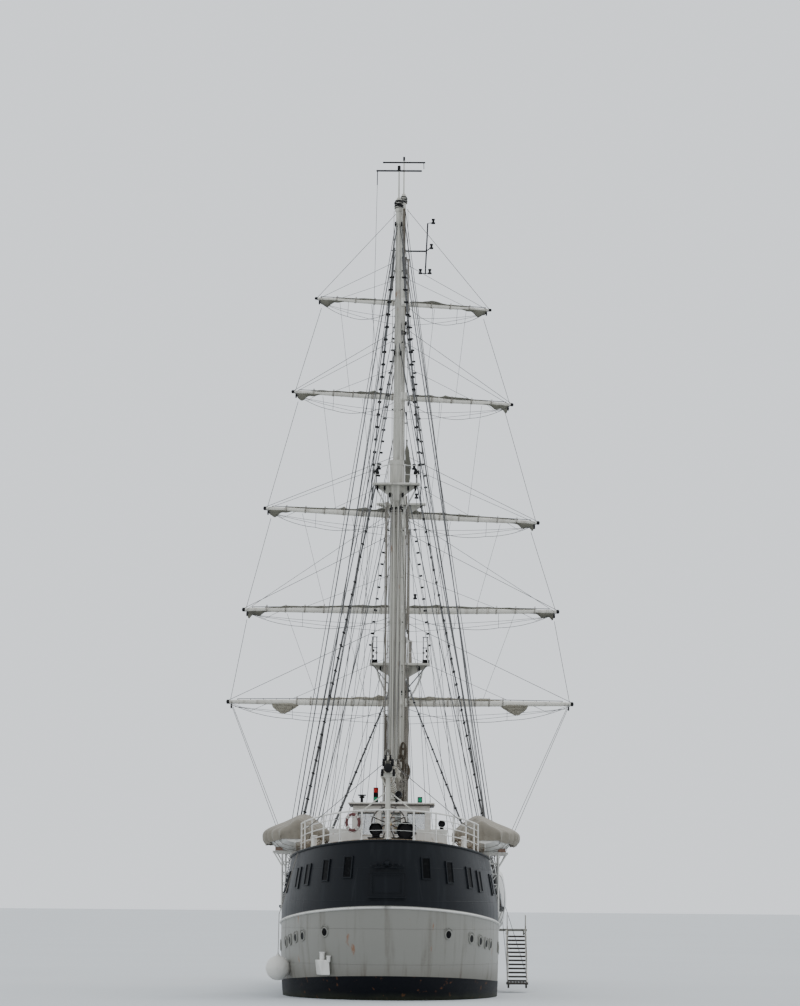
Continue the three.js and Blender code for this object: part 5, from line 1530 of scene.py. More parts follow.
@dataclass
class Yard:
    """A yard with its iron, its furled sail and the lines that turn with it."""

    plan: YardPlan
    seed: int
    brace_bend_y: float = 1.5

    def spar(self) -> None:
        """The spar, its hoops, and the collar and truss that hold it to the mast."""
        plan = self.plan
        shape = Shape()
        xs = [plan.half * k / 16 for k in range(-16, 17)]
        rings = []
        for x in xs:
            radius = plan.radius_at(x) * (0.82 if abs(x) > plan.half - 0.01 else 1.0)
            rings.append([
                plan.at(x, radius * math.cos(a), radius * math.sin(a)) for a in full_turn(16)
            ])
        shape.rings(rings)
        for share in (-0.93, -0.78, -0.55, -0.33, -0.12, 0.12, 0.33, 0.55, 0.78, 0.93):
            x = share * plan.half
            radius = plan.radius_at(x) + 0.012
            shape.turned([(radius, -0.035), (radius, 0.035)], plan.at(x), plan.at(x + 1) - plan.at(x), 16)
        inner, high = plan.mast + 0.014, COLLAR_HALF_HEIGHT
        profile = [
            (inner, -high), (inner + 0.08, -high), (inner + 0.09, -high + 0.03), (inner + 0.06, 0.0),
            (inner + 0.09, high - 0.03), (inner + 0.08, high), (inner, high),
        ]
        collar_middle = Vector((0, FOREMAST_Y, plan.z - plan.drop))
        shape.turned(profile, collar_middle, UP, 24, loop=True)
        for side in (-1, 1):
            start = collar_middle + Vector((side * 0.1, inner + 0.05, 0))
            end = plan.at(side * 0.32, -plan.radius * 0.6, 0)
            shape.tube(
                [start, between(start, end, 0.5) + Vector((side * 0.03, 0, 0)), end], [0.07, 0.055, 0.06], 8
            )
        shape.tube([collar_middle + Vector((0, inner + 0.04, 0)), plan.at(0, -plan.radius * 0.7, 0)], 0.06, 8)
        piece = make_piece(f"{plan.name}_spar", shape, SPAR, Slot.SPAR_PAINT, plan.body)
        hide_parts(f"{plan.name}_yard")

    def iron(self) -> None:
        """Black caps, jackstay eyes, sheave blocks and the quarter blocks under the spar."""
        plan = self.plan
        shape = Shape()
        along = (plan.at(1) - plan.at(0)).normalized()
        for side in (-1, 1):
            end = plan.at(side * plan.half)
            cap = [(plan.tip + 0.012, -0.10), (plan.tip + 0.012, 0.0), (plan.tip * 0.7, 0.035), (0.0, 0.045)]
            shape.turned([(0.0, -0.10), *cap], end, along * side, 12)
            add_block(shape, plan.at(side * (plan.half - 0.2), 0.0, -plan.tip - 0.12), 0.085)
            add_block(shape, plan.at(side * 0.3, -0.05, -plan.radius - 0.13), 0.09)
            ring = [
                plan.at(side * (plan.half - 0.2), 0, -plan.tip + 0.01),
                plan.at(side * (plan.half - 0.2), 0, -plan.tip - 0.1)
            ]
            shape.tube(ring, 0.018, 5)
        count = int(plan.length / 0.62)
        for x in spread(-plan.half * 0.94, plan.half * 0.94, count):
            if abs(x) > 0.35:
                radius = plan.radius_at(x)
                lift = 0.62 * radius
                shape.tube(
                    [plan.at(x, lift, radius * 0.7), plan.at(x, lift + 0.03, radius + 0.055)], 0.016, 5
                )
        for side in (-1, 1):
            path = []
            for reach in spread(0.35, plan.half * 0.94, 12):
                x = side * reach
                radius = plan.radius_at(x)
                path.append(plan.at(x, 0.62 * radius + 0.03, radius + 0.05))
            shape.tube(path, 0.017, 6)
        make_piece(f"{plan.name}_yard_iron", shape, BLACK, Slot.BLACK_PAINT, plan.body)

    def sail(self) -> None:
        """The sail rolled along the top of the spar, with its clews bunched and hanging below it."""
        plan = self.plan
        rng = random.Random(self.seed)
        shape = Shape()
        for side in (-1, 1):
            inner_x, outer_x = 0.3, plan.bunch * plan.half - 0.55
            steps = int((outer_x - inner_x) / 0.085)
            lumps = [rng.uniform(0.0, 1.0) for _ in range(steps // 4 + 3)]
            rings = []
            for k in range(steps + 1):
                share = k / steps
                x = side * mix(inner_x, outer_x, share)
                place = k / 4
                index = int(place)
                lump = mix(lumps[index], lumps[index + 1], place - index)
                ends = min(1.0, 7 * share + 0.35, 9 * (1 - share) + 0.22)
                heap = mix(1.0, 0.30, min(1.0, max(0.0, (share - 0.38) / 0.25)))
                size = plan.roll * (0.28 + 1.25 * heap * lump**3 + 0.36 * (1 - share)) * ends
                radius = plan.radius_at(x)
                tip = math.radians(96 + 16 * math.sin(2.7 * x + self.seed))
                centre = (math.cos(tip) * (radius + 0.55 * size), math.sin(tip) * (radius + 0.55 * size))
                ring = []
                for a in full_turn(12):
                    wobble = 1 + 0.16 * math.sin(3 * a + 5.5 * x) + 0.09 * math.sin(5 * a - 9 * x)
                    ring.append(plan.at(
                        x, centre[0] + 1.25 * size * wobble * math.cos(a),
                        centre[1] + 0.85 * size * wobble * math.sin(a),
                    ))
                rings.append(ring)
            shape.rings(rings)
            self.bunt(shape, side, rng)
        finish = SAIL_PALE if plan.body is Body.COURSE else SAIL
        piece = make_piece(f"{plan.name}_furled", shape, finish, Slot.SAILCLOTH, plan.body, crease=60)
        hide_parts(f"{plan.name}_sail")

    def bunt(self, shape: Shape, side: int, rng: random.Random) -> None:
        """Add the cloth that hangs by one clew: a pleated bunch, or a ragged wedge at the yard's end."""
        if self.plan.body is Body.COURSE:
            self.pleats(shape, side, rng)
        else:
            self.wedge(shape, side, rng)

    def pleats(self, shape: Shape, side: int, rng: random.Random) -> None:
        """Add the wide pleated bunch under the course yard."""
        plan = self.plan
        middle = plan.bunch * plan.half
        radius = plan.radius_at(middle)
        rings = []
        for k in range(13):
            share = k / 12
            reach = 0.64 * (1 - share) ** 0.75 + 0.04
            thick = 0.15 * (1 - share) ** 0.5 + 0.03
            shift = middle + 0.03 * share + 0.03 * math.sin(4.0 * share + self.seed)
            down = -radius * 0.55 - 0.46 * share**0.95
            ring = []
            for a in full_turn(26):
                wave = math.sin(7 * a + 2.2 * share + self.seed)
                pleat = 1 + 0.12 * wave * (0.4 + share) + rng.uniform(-0.02, 0.02)
                tuck = 0.035 * math.sin(2 * math.pi * 3.2 * share + 3 * math.cos(a))
                ring.append(plan.at(
                    side * (shift + reach * math.cos(a) * pleat), thick * math.sin(a) * pleat + 0.02 - tuck,
                    down + 0.03 * math.cos(3 * a),
                ))
            rings.append(ring)
        shape.rings(rings)

    def wedge(self, shape: Shape, side: int, rng: random.Random) -> None:
        """Add the wedge of cloth under the yard's last metre, thin inboard and deep by the tip."""
        plan = self.plan
        inner, outer = plan.half - 1.42, plan.half - 0.20
        phase = rng.uniform(0, 6)
        rings = []
        for k in range(23):
            share = k / 22
            x = mix(inner, outer, share)
            radius = plan.radius_at(x)
            close = 1 - max(0.0, (share - 0.88) / 0.12) ** 2 * 0.72
            depth = (0.035 + 0.40 * share**1.5) * (1 + 0.30 * math.sin(13 * share + phase)) * close
            thick = (0.055 + 0.06 * math.sin(math.pi * share)) * close
            ring = []
            for a in full_turn(18):
                fold = 1 + 0.22 * math.sin(3 * a + 16 * share + phase) + rng.uniform(-0.05, 0.05)
                drop = 0.5 - 0.5 * math.sin(a)
                narrow = 1 - 0.45 * drop
                ring.append(plan.at(
                    side * x, thick * math.cos(a) * fold * narrow - 0.01,
                    -radius * 0.45 - depth * drop * (1 + 0.08 * math.sin(9 * share + 2 * a)),
                ))
            rings.append(ring)
        shape.rings(rings)

    def gaskets(self) -> None:
        """Lashings round the spar and the rolled sail."""
        plan = self.plan
        shape = Shape()
        count = int(plan.length / 1.05)
        for x in spread(-plan.bunch * plan.half + 0.6, plan.bunch * plan.half - 0.6, count):
            if abs(x) < 0.4:
                continue
            radius = plan.radius_at(x)
            low, high = -radius - 0.012, radius + 1.25 * plan.roll
            middle, tall = (low + high) / 2, (high - low) / 2 + 0.01
            wide = max(radius, 1.2 * plan.roll) + 0.022
            for shift in (-0.02, 0.02):
                loop = [
                    plan.at(x + shift + 0.012 * math.sin(a), wide * math.cos(a), middle + tall * math.sin(a))
                    for a in full_turn(14)
                ]
                shape.tube(loop, 0.011, 5, loop=True)
        make_piece(f"{plan.name}_gaskets", shape, ROPE_PALE, Slot.SAILCLOTH, plan.body)

    def lines(self, below: Optional[YardPlan]) -> None:
        """Footropes with their stirrups, lifts, and the sheets down to the yard below."""
        plan = self.plan
        shape = Shape()
        for side in (-1, 1):
            outer = plan.at(side * (plan.half - 0.12), -0.05, -plan.tip)
            inner = plan.at(side * 0.35, -0.12, -plan.radius - 0.1)
            sag = 0.52 if plan.length > 12 else 0.42
            ends = [
                outer, plan.at(side * plan.half * 0.62, -0.1, -0.78),
                plan.at(side * plan.half * 0.34, -0.1, -0.80), inner
            ]
            for start, end in zip(ends, ends[1:]):
                shape.tube(sagging(start, end, 0.09 if start is not outer else sag * 0.3, 7), 0.013, 5)
            for share, hang in ((0.62, ends[1]), (0.34, ends[2])):
                shape.tube([plan.at(side * plan.half * share, -0.05, 0), hang], 0.010, 5)
            flemish = [
                plan.at(side * (plan.half - 0.02), -0.04, 0),
                plan.at(side * (plan.half * 0.86), -0.08, -0.42),
                plan.at(side * plan.half * 0.76, -0.05, -0.05),
            ]
            shape.tube(flemish, 0.010, 5)
            for drop, root in ((0.62, 0.25), (0.98, 0.3)):
                clew = plan.at(side * (plan.half - 0.35), 0.05, -0.22)
                shape.tube(sagging(clew, plan.at(side * root, 0.05, -drop), 0.10, 8), 0.010, 5)
            mast_point = Vector((side * 0.16, FOREMAST_Y + 0.1, plan.lift_z))
            shape.tube([plan.at(side * (plan.half - 0.1), 0, plan.tip), mast_point], 0.013, 5)
            share, height = plan.inner_lift
            shape.tube(
                [
                    plan.at(side * plan.half * share, 0, plan.radius),
                    Vector((side * 0.14, FOREMAST_Y + 0.1, height))
                ],
                0.010, 5
            )
            if below is not None:
                reach = plan.bunch * plan.half + 0.1
                if plan.body is Body.LOWER_TOPSAIL:
                    reach = plan.half - 0.2
                clew = plan.at(side * reach, 0, -0.45)
                shape.tube([clew, below.at(side * (below.half - 0.16), 0, below.tip)], 0.013, 5)
                inboard = plan.at(side * plan.half * 0.36, 0.1, -plan.radius)
                shape.tube([inboard, below.at(side * below.half * 0.2, 0.1, below.radius)], 0.009, 5)
                outboard = plan.at(side * plan.half * 0.72, 0.1, -plan.radius)
                shape.tube([outboard, below.at(side * below.half * 0.48, 0.1, below.radius)], 0.009, 5)
        make_piece(f"{plan.name}_lines", shape, ROPE_DARK, Slot.WIRE, plan.body)

    def braces(self) -> None:
        """Lines from the yard's ends to the mainmast, or to the rail for the course yard."""
        plan = self.plan
        shape = Shape()
        for side in (-1, 1):
            tip = plan.at(side * (plan.half - 0.2), -0.1, 0)
            if plan.body is Body.COURSE:
                for end, lower in (
                    (Vector((side * 3.55, -4.4, 3.55)), 0.0), (Vector((side * 3.75, -3.2, 3.55)), 0.12)
                ):
                    shape.tube(line_points(tip + Vector((0, 0, -lower)), end, 16), 0.013, 5)
            else:
                end = Vector((side * 0.2, MAINMAST_Y + 0.2, plan.brace_z))
                shape.tube(line_points(tip, end, 16), 0.011, 5)
        piece = make_piece(f"{plan.name}_braces", shape, ROPE_DARK, Slot.WIRE, None)
        end = Vector((0, plan.at(0).y - 0.1, plan.z)) * MODEL_SCALE
        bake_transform(piece)

    def build(self, below: Optional[YardPlan]) -> None:
        """Make every part of the yard."""
        self.spar()
        self.iron()
        self.sail()
        self.gaskets()
        self.lines(below)
        self.braces()


BLOCK_OUTLINE = ((-1, -0.75), (-0.7, -1), (0.7, -1), (1, -0.75), (1, 0.75), (0.7, 1), (-0.7, 1), (-1, 0.75))


def add_block(shape: Shape, centre: Vector, size: float) -> None:
    """Add a rigging block: an oval shell around a sheave."""
    rings = []
    for k in range(7):
        angle = math.pi * k / 6
        reach = size * (0.35 + 0.65 * math.sin(angle))
        ring_z = centre.z - size * 1.15 * math.cos(angle)
        rings.append([
            Vector((centre.x + 0.42 * size * a, centre.y + reach * b, ring_z))
            for a, b in BLOCK_OUTLINE
        ])
    shape.rings(rings)
    shape.turned([(0.3 * size, -0.5 * size), (0.3 * size, 0.5 * size)], centre, (1, 0, 0), 8)


@dataclass(frozen=True)
class ShroudPlan:
    """One shroud: where its foot stands along the ship and where its head meets the mast."""

    foot_y: float
    head: Triple
    foot_height: float = 0.80
    channel: float = 0.20

    def path(self, side: int) -> tuple[Vector, Vector]:
        """Its foot and head on one side of the ship."""
        foot_z = deck_at(self.foot_y) + self.foot_height
        foot_x = half_breadth(self.foot_y, foot_z) + self.channel
        return mirrored((foot_x, self.foot_y, foot_z), side), mirrored(self.head, side)


def at_height(path: tuple[Vector, Vector], z: float) -> Vector:
    """The point of a straight line at a height."""
    start, end = path
    return start.lerp(end, (z - start.z) / (end.z - start.z))


@dataclass
class ShroudGang:
    """The shrouds of one mast on one side, with ratlines up to its mastheads and rigging screws below."""

    label: str
    side: int
    shrouds: tuple[ShroudPlan, ...]
    climbed: int
    # rims: x, y, step aft and height of the upper shrouds' feet; heads: the same, and a step down
    rims: tuple[tuple[float, float, float, float], ...]
    heads: tuple[tuple[float, float, float, float, float], ...]
    spacing: float = 0.54

    def rung(self, shape: Shape, points: Sequence[Vector], stout: float) -> None:
        """Add one ratline bar across the shrouds, a little longer than their spread."""
        start, end = points[0], points[-1]
        over = (end - start).normalized() * 0.12
        ahead = over if stout < 1 else over * 0.1
        shape.tube([start - ahead, end + over], 0.034 * stout, 6)
        for point in points:
            across = Vector((0.075, 0, 0.012 * self.side)) * stout
            shape.tube([point - across, point + across], 0.040 * stout, 6)

    def ladders(self) -> None:
        """Ratline bars on the lower shrouds and on each set of upper ones."""
        shape = Shape()
        paths = [shroud.path(self.side) for shroud in self.shrouds[:self.climbed]]
        top = min(path[1].z for path in paths) - 0.7
        z = max(path[0].z for path in paths) + 1.3
        while z < top:
            self.rung(shape, [at_height(path, z) for path in paths], 0.72)
            z += self.spacing
        for rim_sizes, head_sizes in zip(self.rims, self.heads):
            rim_x, rim_y, rim_step, rim_z = rim_sizes
            head_x, head_y, head_step, head_z, head_drop = head_sizes
            uppers = []
            for k in range(3):
                rim = mirrored((rim_x, rim_y - rim_step * k, rim_z), self.side)
                head = mirrored((head_x, head_y - head_step * k, head_z - head_drop * k), self.side)
                uppers.append((rim, head))
            z = rim_z + 0.7
            while z < min(path[1].z for path in uppers) - 0.8:
                self.rung(shape, [at_height(path, z) for path in uppers], 1.0)
                z += self.spacing
        make_piece(f"{self.label}_ratlines", shape, BLACK, Slot.WIRE)

    def screws(self) -> None:
        """Rigging screws at the feet, a batten above them, and chain plates down the ship's side."""
        shape, plates = Shape(), Shape()
        for shroud in self.shrouds:
            foot, head = shroud.path(self.side)
            along = (head - foot).normalized()
            profile = [
                (0.03, 0.0), (0.05, 0.03), (0.05, 0.12), (0.034, 0.16), (0.034, 0.42), (0.05, 0.46),
                (0.05, 0.55), (0.03, 0.6)
            ]
            shape.turned(profile, foot + along * 0.05, along, 8)
            base = foot + Vector((0, 0, -0.1))
            low = base + Vector((-self.side * 0.19, 0, -0.55))
            plates.tube([base, low], 0.024, 6)
        ends = [
            at_height(shroud.path(self.side), shroud.path(self.side)[0].z + 0.75) for shroud in self.shrouds
        ]
        shape.tube([ends[0] + Vector((0, 0.15, 0)), *ends, ends[-1] + Vector((0, -0.15, 0))], 0.03, 6)
        make_piece(f"{self.label}_screws", shape, GALVANISED, Slot.WIRE)
        make_piece(f"{self.label}_chainplates", plates, WHITE_STEEL, Slot.WHITE_STEEL)

    def build(self) -> None:
        """Make the gang's parts."""
        self.ladders()
        self.screws()


@dataclass(frozen=True)
class LinePlan:
    """One straight line of the running rigging, mirrored to both sides."""

    start: Triple
    end: Triple
    radius: float = 0.012


@dataclass
class RunningRigging:
    """Backstays, halyards, clewlines and buntlines that stay with the ship."""

    lines: tuple[LinePlan, ...] = (
        LinePlan((0.06, 9.0, 36.3), (4.42, 3.7, 3.35), 0.016),
        LinePlan((0.06, 9.0, 31.0), (4.42, 3.2, 3.35), 0.016),
        LinePlan((0.06, 9.0, 27.0), (4.42, 2.7, 3.35), 0.016),
        LinePlan((0.07, -5.0, 33.0), (4.35, -9.3, 5.35), 0.016),
        LinePlan((0.1, -5.0, 28.5), (4.42, -7.7, 3.55), 0.016),
        LinePlan((0.30, 9.1, 14.2), (3.6, 7.6, 3.65)), LinePlan((0.34, 8.9, 16.2), (3.75, 6.9, 3.65)),
        LinePlan((0.22, 8.8, 20.6), (3.8, 6.1, 3.6)), LinePlan((0.25, 8.8, 22.0), (3.85, 5.6, 3.6)),
        LinePlan((0.2, 8.8, 26.4), (3.85, 5.1, 3.6)), LinePlan((0.15, 8.8, 30.7), (3.9, 4.2, 3.6)),
        LinePlan((0.35, 8.8, 14.4), (1.0, 8.3, 3.5)), LinePlan((0.9, 8.9, 14.5), (1.9, 8.1, 3.55)),
        LinePlan((0.2, -5.1, 20.4), (0.95, -5.6, 3.5)), LinePlan((0.28, -5.2, 20.9), (3.7, -6.2, 3.65)),
        LinePlan((0.8, -5.1, 21.2), (2.6, -5.9, 3.6)), LinePlan((0.5, -5.1, 21.2), (1.6, -5.9, 3.6)),
        LinePlan((0.14, -5.2, 27.0), (3.9, -7.0, 3.65)), LinePlan((0.13, -5.2, 32.6), (2.9, -7.5, 3.65)),
    )

    def build(self) -> None:
        """Draw the lines on both sides, with a few that are on one side only."""
        shape = Shape()
        for line in self.lines:
            for side in (-1, 1):
                shape.tube([mirrored(line.start, side), mirrored(line.end, side)], line.radius, 5)
        shape.tube([(-0.93, -5.0, 34.97), (-0.93, -5.0, 34.6)], 0.012, 5)
        shape.tube([(-0.93, -5.0, 34.6), (-1.3, -8.9, 7.72)], 0.010, 5)
        shape.tube([(0, 9.1, 36.3), (0, -4.85, 33.3)], 0.014, 5)
        shape.tube([(0, 8.8, 22.4), (0, -4.7, 21.9)], 0.016, 5)
        make_piece("standing_lines", shape, ROPE_DARK, Slot.WIRE)
        blocks = Shape()
        for line in self.lines[5:]:
            for side in (-1, 1):
                add_block(blocks, mirrored(line.start, side), 0.085)
        make_piece("mast_blocks", blocks, BLACK, Slot.BLACK_PAINT)


def build_rigging() -> None:
    """Make the yards, the shrouds' ratlines and the running rigging."""
    for index, plan in enumerate(YARDS):
        Yard(plan, seed=11 + 7 * index).build(YARDS[index - 1] if index else None)
    fore = (
        ShroudPlan(8.5, (0.1, 8.82, 14.35)), ShroudPlan(7.8, (0.1, 8.76, 14.35)),
        ShroudPlan(7.1, (0.1, 8.7, 14.35)),
        ShroudPlan(6.2, (0.4, 8.72, 22.16)), ShroudPlan(5.3, (0.05, 8.9, 30.3)),
        ShroudPlan(4.5, (0.05, 8.94, 35.6)),
    )
    after = (
        ShroudPlan(-5.2, (0.86, -5.0, 21.4)), ShroudPlan(-5.9, (0.86, -5.15, 21.4)),
        ShroudPlan(-6.6, (0.86, -5.3, 21.4)),
        ShroudPlan(-7.3, (0.05, -5.1, 27.5)), ShroudPlan(-7.8, (0.05, -5.08, 32.6)),
    )
    fore_rims = ((1.45, 8.86, 0.16, 14.86), (1.2, 8.96, 0.09, 22.26))
    fore_heads = ((0.5, 8.9, 0.06, 22.16, 0.0), (0.13, 8.96, 0.03, 33.0, 0.4))
    main_rims = ((1.05, -5.0, 0.13, 21.5),)
    main_heads = ((0.16, -5.03, 0.03, 32.0, 0.4),)
    for side, label in ((-1, "port"), (1, "starboard")):
        ShroudGang(f"fore_{label}", side, fore, 3, fore_rims, fore_heads).build()
        ShroudGang(f"main_{label}", side, after, 3, main_rims, main_heads).build()
    RunningRigging().build()


# Boats on the poop

# place along the boat, share of its breadth and rise of its keel
BOAT_STATIONS = (
    (0.0, 0.42, 0.42), (0.12, 0.74, 0.14), (0.32, 0.97, 0.0), (0.55, 1.0, 0.0),
    (0.78, 0.8, 0.1), (0.93, 0.4, 0.3), (1.0, 0.07, 0.55),
)
# place round half a section from the keel, share of the breadth and share of the height
BOAT_SECTION = ((0.0, 0.03, 0.0), (0.14, 0.30, 0.02), (0.42, 0.66, 0.16), (0.70, 0.90, 0.45), (1.0, 1.0, 1.0))


def curve(table: Sequence[Sequence[float]], at: float) -> list[float]:
    """Values at a place along a table, rounded between its rows.

    Args:
        table: rows of a place followed by values, in order of place.
        at: the place that is asked for.

    Returns:
        One value for each column after the first.
    """
    index = 0
    while index < len(table) - 2 and at > table[index + 1][0]:
        index += 1
    start, end = table[index], table[index + 1]
    before, after = table[max(index - 1, 0)], table[min(index + 2, len(table) - 1)]
    span = end[0] - start[0]
    share = min(max((at - start[0]) / span, 0.0), 1.0)
    square, cube = share * share, share * share * share
    values = []
    for column in range(1, len(start)):
        rise_start = (end[column] - before[column]) / (end[0] - before[0]) * span
        rise_end = (after[column] - start[column]) / (after[0] - start[0]) * span
        values.append(
            (2 * cube - 3 * square + 1) * start[column] + (cube - 2 * square + share) * rise_start
            + (3 * square - 2 * cube) * end[column] + (cube - square) * rise_end
        )
    return values


@dataclass(frozen=True)
class ShipsBoat:
    """One of the two boats on the poop, with its canvas cover and lashings."""

    side: int
    seed: int
    centre_x: float = 3.75
    aft_y: float = -13.5
    fore_y: float = -7.98
    keel_z: float = 5.72
    gunwale_z: float = 6.5
    half: float = 1.16
    ridge_z: float = 7.2
    ridge_inboard: float = 0.28
    skirt: float = 0.42
    planks: int = 7
    # cut size of the canvas, its length and its area, in the model's metres
    cover_flat: Pair = (1.95, 3.45)
    cover_area: float = 4.9

    @property
    def label(self) -> str:
        """Which side the boat is on."""
        return "port" if self.side < 0 else "starboard"

    def section(self, at: float) -> Triple:
        """Place along the ship, half breadth and keel height at a share of the boat's length."""
        beam, rise = curve(BOAT_STATIONS, at)
        y = mix(self.aft_y, self.fore_y, at)
        return y, self.half * beam, self.keel_z + rise * (self.gunwale_z - self.keel_z)

    def planking(self, at: float) -> list[Vector]:
        """Starboard half of a section, from keel to gunwale, with the planks' overlaps."""
        y, half, keel = self.section(at)
        points = []
        for k in range(self.planks):
            for share, proud in ((k / self.planks, 0.016), ((k + 0.97) / self.planks, 0.0)):
                across, up = curve(BOAT_SECTION, share)
                reach = half * across + proud * min(1.0, half / 0.3)
                points.append(Vector((reach, y, mix(keel, self.gunwale_z, up))))
        return points

    def placed(self, point: Vector) -> Vector:
        """A point of the boat moved to its place on the ship; across is positive outboard."""
        return Vector((self.side * (self.centre_x + point.x), point.y, point.z))

    def hull(self) -> bpy.types.Object:
        """The clinker hull with its keel, stem and rubbing strake."""
        shape = Shape()
        rings = []
        gunwales: list[list[Vector]] = [[], []]
        keel_line = []
        for k in range(37):
            outer = self.planking(k / 36)
            inner = [Vector((-p.x, p.y, p.z)) for p in reversed(outer)]
            rings.append([self.placed(p) for p in outer + inner])
            for line, edge in zip(gunwales, (outer[-1], inner[0])):
                line.append(self.placed(edge + Vector((0, 0, -0.03))))
            y, _, keel = self.section(k / 36)
            keel_line.append(self.placed(Vector((0, y, keel - 0.005))))
        shape.rings(rings)
        for line in gunwales:
            shape.tube(line, 0.032, 8)
        shape.tube(keel_line, 0.035, 6)
        piece = make_piece(f"boat_{self.label}_hull", shape, BOAT_PAINT, Slot.WHITE_STEEL, crease=30)
        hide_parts(f"boat_{self.label}")
        return piece

    def cover_section(self, at: float) -> tuple[float, tuple[Triple, ...]]:
        """Place along the ship, and the cover's section there: place round it, across and height."""
        y, half, _ = self.section(min(max(at, 0.0), 1.0))
        beam = half / self.half
        ridge = mix(self.gunwale_z + 0.12, self.ridge_z, beam**0.8)
        sag = 0.045 * math.sin(math.pi * 5 * at) ** 2
        low = self.gunwale_z - self.skirt * (0.35 + 0.65 * beam)
        inboard = -self.ridge_inboard * beam
        gunwale = self.gunwale_z + 0.04
        return y, (
            (0.0, half + 0.06, low - 0.12), (0.10, half + 0.17 * beam + 0.03, mix(low, gunwale, 0.22)),
            (0.22, half + 0.10 * beam + 0.03, gunwale - 0.02),
            (0.38, mix(half, inboard, 0.44), mix(gunwale, ridge, 0.52) - sag),
            (0.52, inboard + 0.03, ridge - 0.6 * sag),
            (0.64, mix(-half, inboard, 0.45), mix(gunwale, ridge, 0.60) - sag),
            (0.80, -half - 0.045, gunwale), (0.90, -half - 0.075, mix(low, gunwale, 0.5)),
            (1.0, -half - 0.07, low + 0.06),
        )

    def cover_point(self, along: float, around: float, phases: Sequence[float]) -> Vector:
        """A point of the cover, with tucks that grow toward its hem and creases off the ridge.

        Args:
            along: place along the boat, from 0 to 1.
            around: place round the section, from the outboard hem at 0 to the inboard one at 1.
            phases: four random shifts of the folds.

        Returns:
            The point, measured from the boat's middle line.
        """
        y, section = self.cover_section(along)
        across, z = curve(section, around)
        hang = abs(2 * around - 1.04)
        tuck = math.sin(2 * math.pi * 11.5 * along + phases[0] + 1.5 * math.sin(7 * along + phases[1]))
        second = math.sin(2 * math.pi * 23 * along + phases[2] + 4 * around)
        push = (0.055 * hang**1.6 + 0.014) * tuck + 0.016 * hang * second
        out = 1 if around < 0.52 else -1
        flat = min(1.0, hang * 1.6)
        crease = 0.014 * math.sin(2 * math.pi * (4.2 * along + 2.4 * around) + phases[3])
        lash = 0.05 * math.sin(math.pi * 10 * along + 0.5) ** 2 * max(0.0, hang - 0.6) / 0.4
        return Vector((across + out * push * flat, y, z + (push * (1 - flat) + crease) * 0.8 + lash))

    def cover(self) -> None:
        """The canvas, drawn as one sheet with its two ends falling over stem and stern."""
        rng = random.Random(self.seed)
        phases = [rng.uniform(0, 2 * math.pi) for _ in range(4)]
        columns, length = 49, 96
        rows = []
        for k in range(length + 1):
            rows.append([self.cover_point(k / length, j / (columns - 1), phases) for j in range(columns)])
        for end, step in ((rows[0], -1), (rows[-1], 1)):
            drop = []
            hem = min(p.z for p in end)
            for k in range(1, 8):
                share = k / 7
                ring = []
                for j, point in enumerate(end):
                    fold = 0.02 * math.sin(0.9 * j + phases[1]) * share
                    away = step * (0.03 + 0.045 * math.sin(math.pi * min(share * 1.3, 1.0)) + fold)
                    ring.append(Vector((
                        point.x * (1 - 0.05 * share), point.y + away,
                        mix(point.z, min(point.z, hem + 0.05), share)
                    )))
                drop.append(ring)
            rows = list(reversed(drop)) + rows if step < 0 else rows + drop
        placed = [[self.placed(point) for point in row] for row in rows]
        shape = Shape().sheet(placed)
        cloth = make_piece(
            f"boat_{self.label}_cover", shape, COVER, Slot.COVER_CANVAS, crease=80, closed=False, weld=True,
        )
        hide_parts(f"boat_cover_{self.label}")
        rope = Shape()
        edges = ([row[0] for row in placed], [row[-1] for row in placed], placed[0], placed[-1])
        for edge in edges:
            rope.tube([point + Vector((0, 0, -0.006)) for point in edge[::2]], 0.014, 5)
        hem_rope = make_piece(f"boat_{self.label}_hem", rope, ROPE_PALE, Slot.COVER_CANVAS)
        area = sum(face.area for face in cloth.data.polygons)
        log.info("cover area %.3f m2", area)

    def gripes(self) -> None:
        """Lashings from the hem, under the boat, and back up to the hem."""
        shape = Shape()
        for k in range(9):
            at = 0.07 + 0.105 * k
            outer = self.planking(at)
            y, section = self.cover_section(at)
            start, end = curve(section, 0.01), curve(section, 0.99)
            under = [p + Vector((0.02, 0, -0.02)) for p in outer[2::4]]
            path = [
                Vector((start[0] + 0.02, y, start[1] + 0.04)), *reversed(under),
                Vector((0, y, outer[0].z - 0.06))
            ]
            path += [Vector((-p.x, p.y, p.z)) for p in under] + [Vector((end[0] - 0.02, y, end[1] + 0.02))]
            shape.tube([self.placed(p) for p in path], 0.010, 5)
        make_piece(f"boat_{self.label}_gripes", shape, ROPE_PALE, Slot.COVER_CANVAS)

    def frame_bar(self, shape: Shape, ends: Sequence[Pair], y: float, radius: float) -> None:
        """Add a tube of a cradle frame through places across the ship and heights."""
        shape.tube([Vector((self.side * x, y, z)) for x, z in ends], radius, 8)

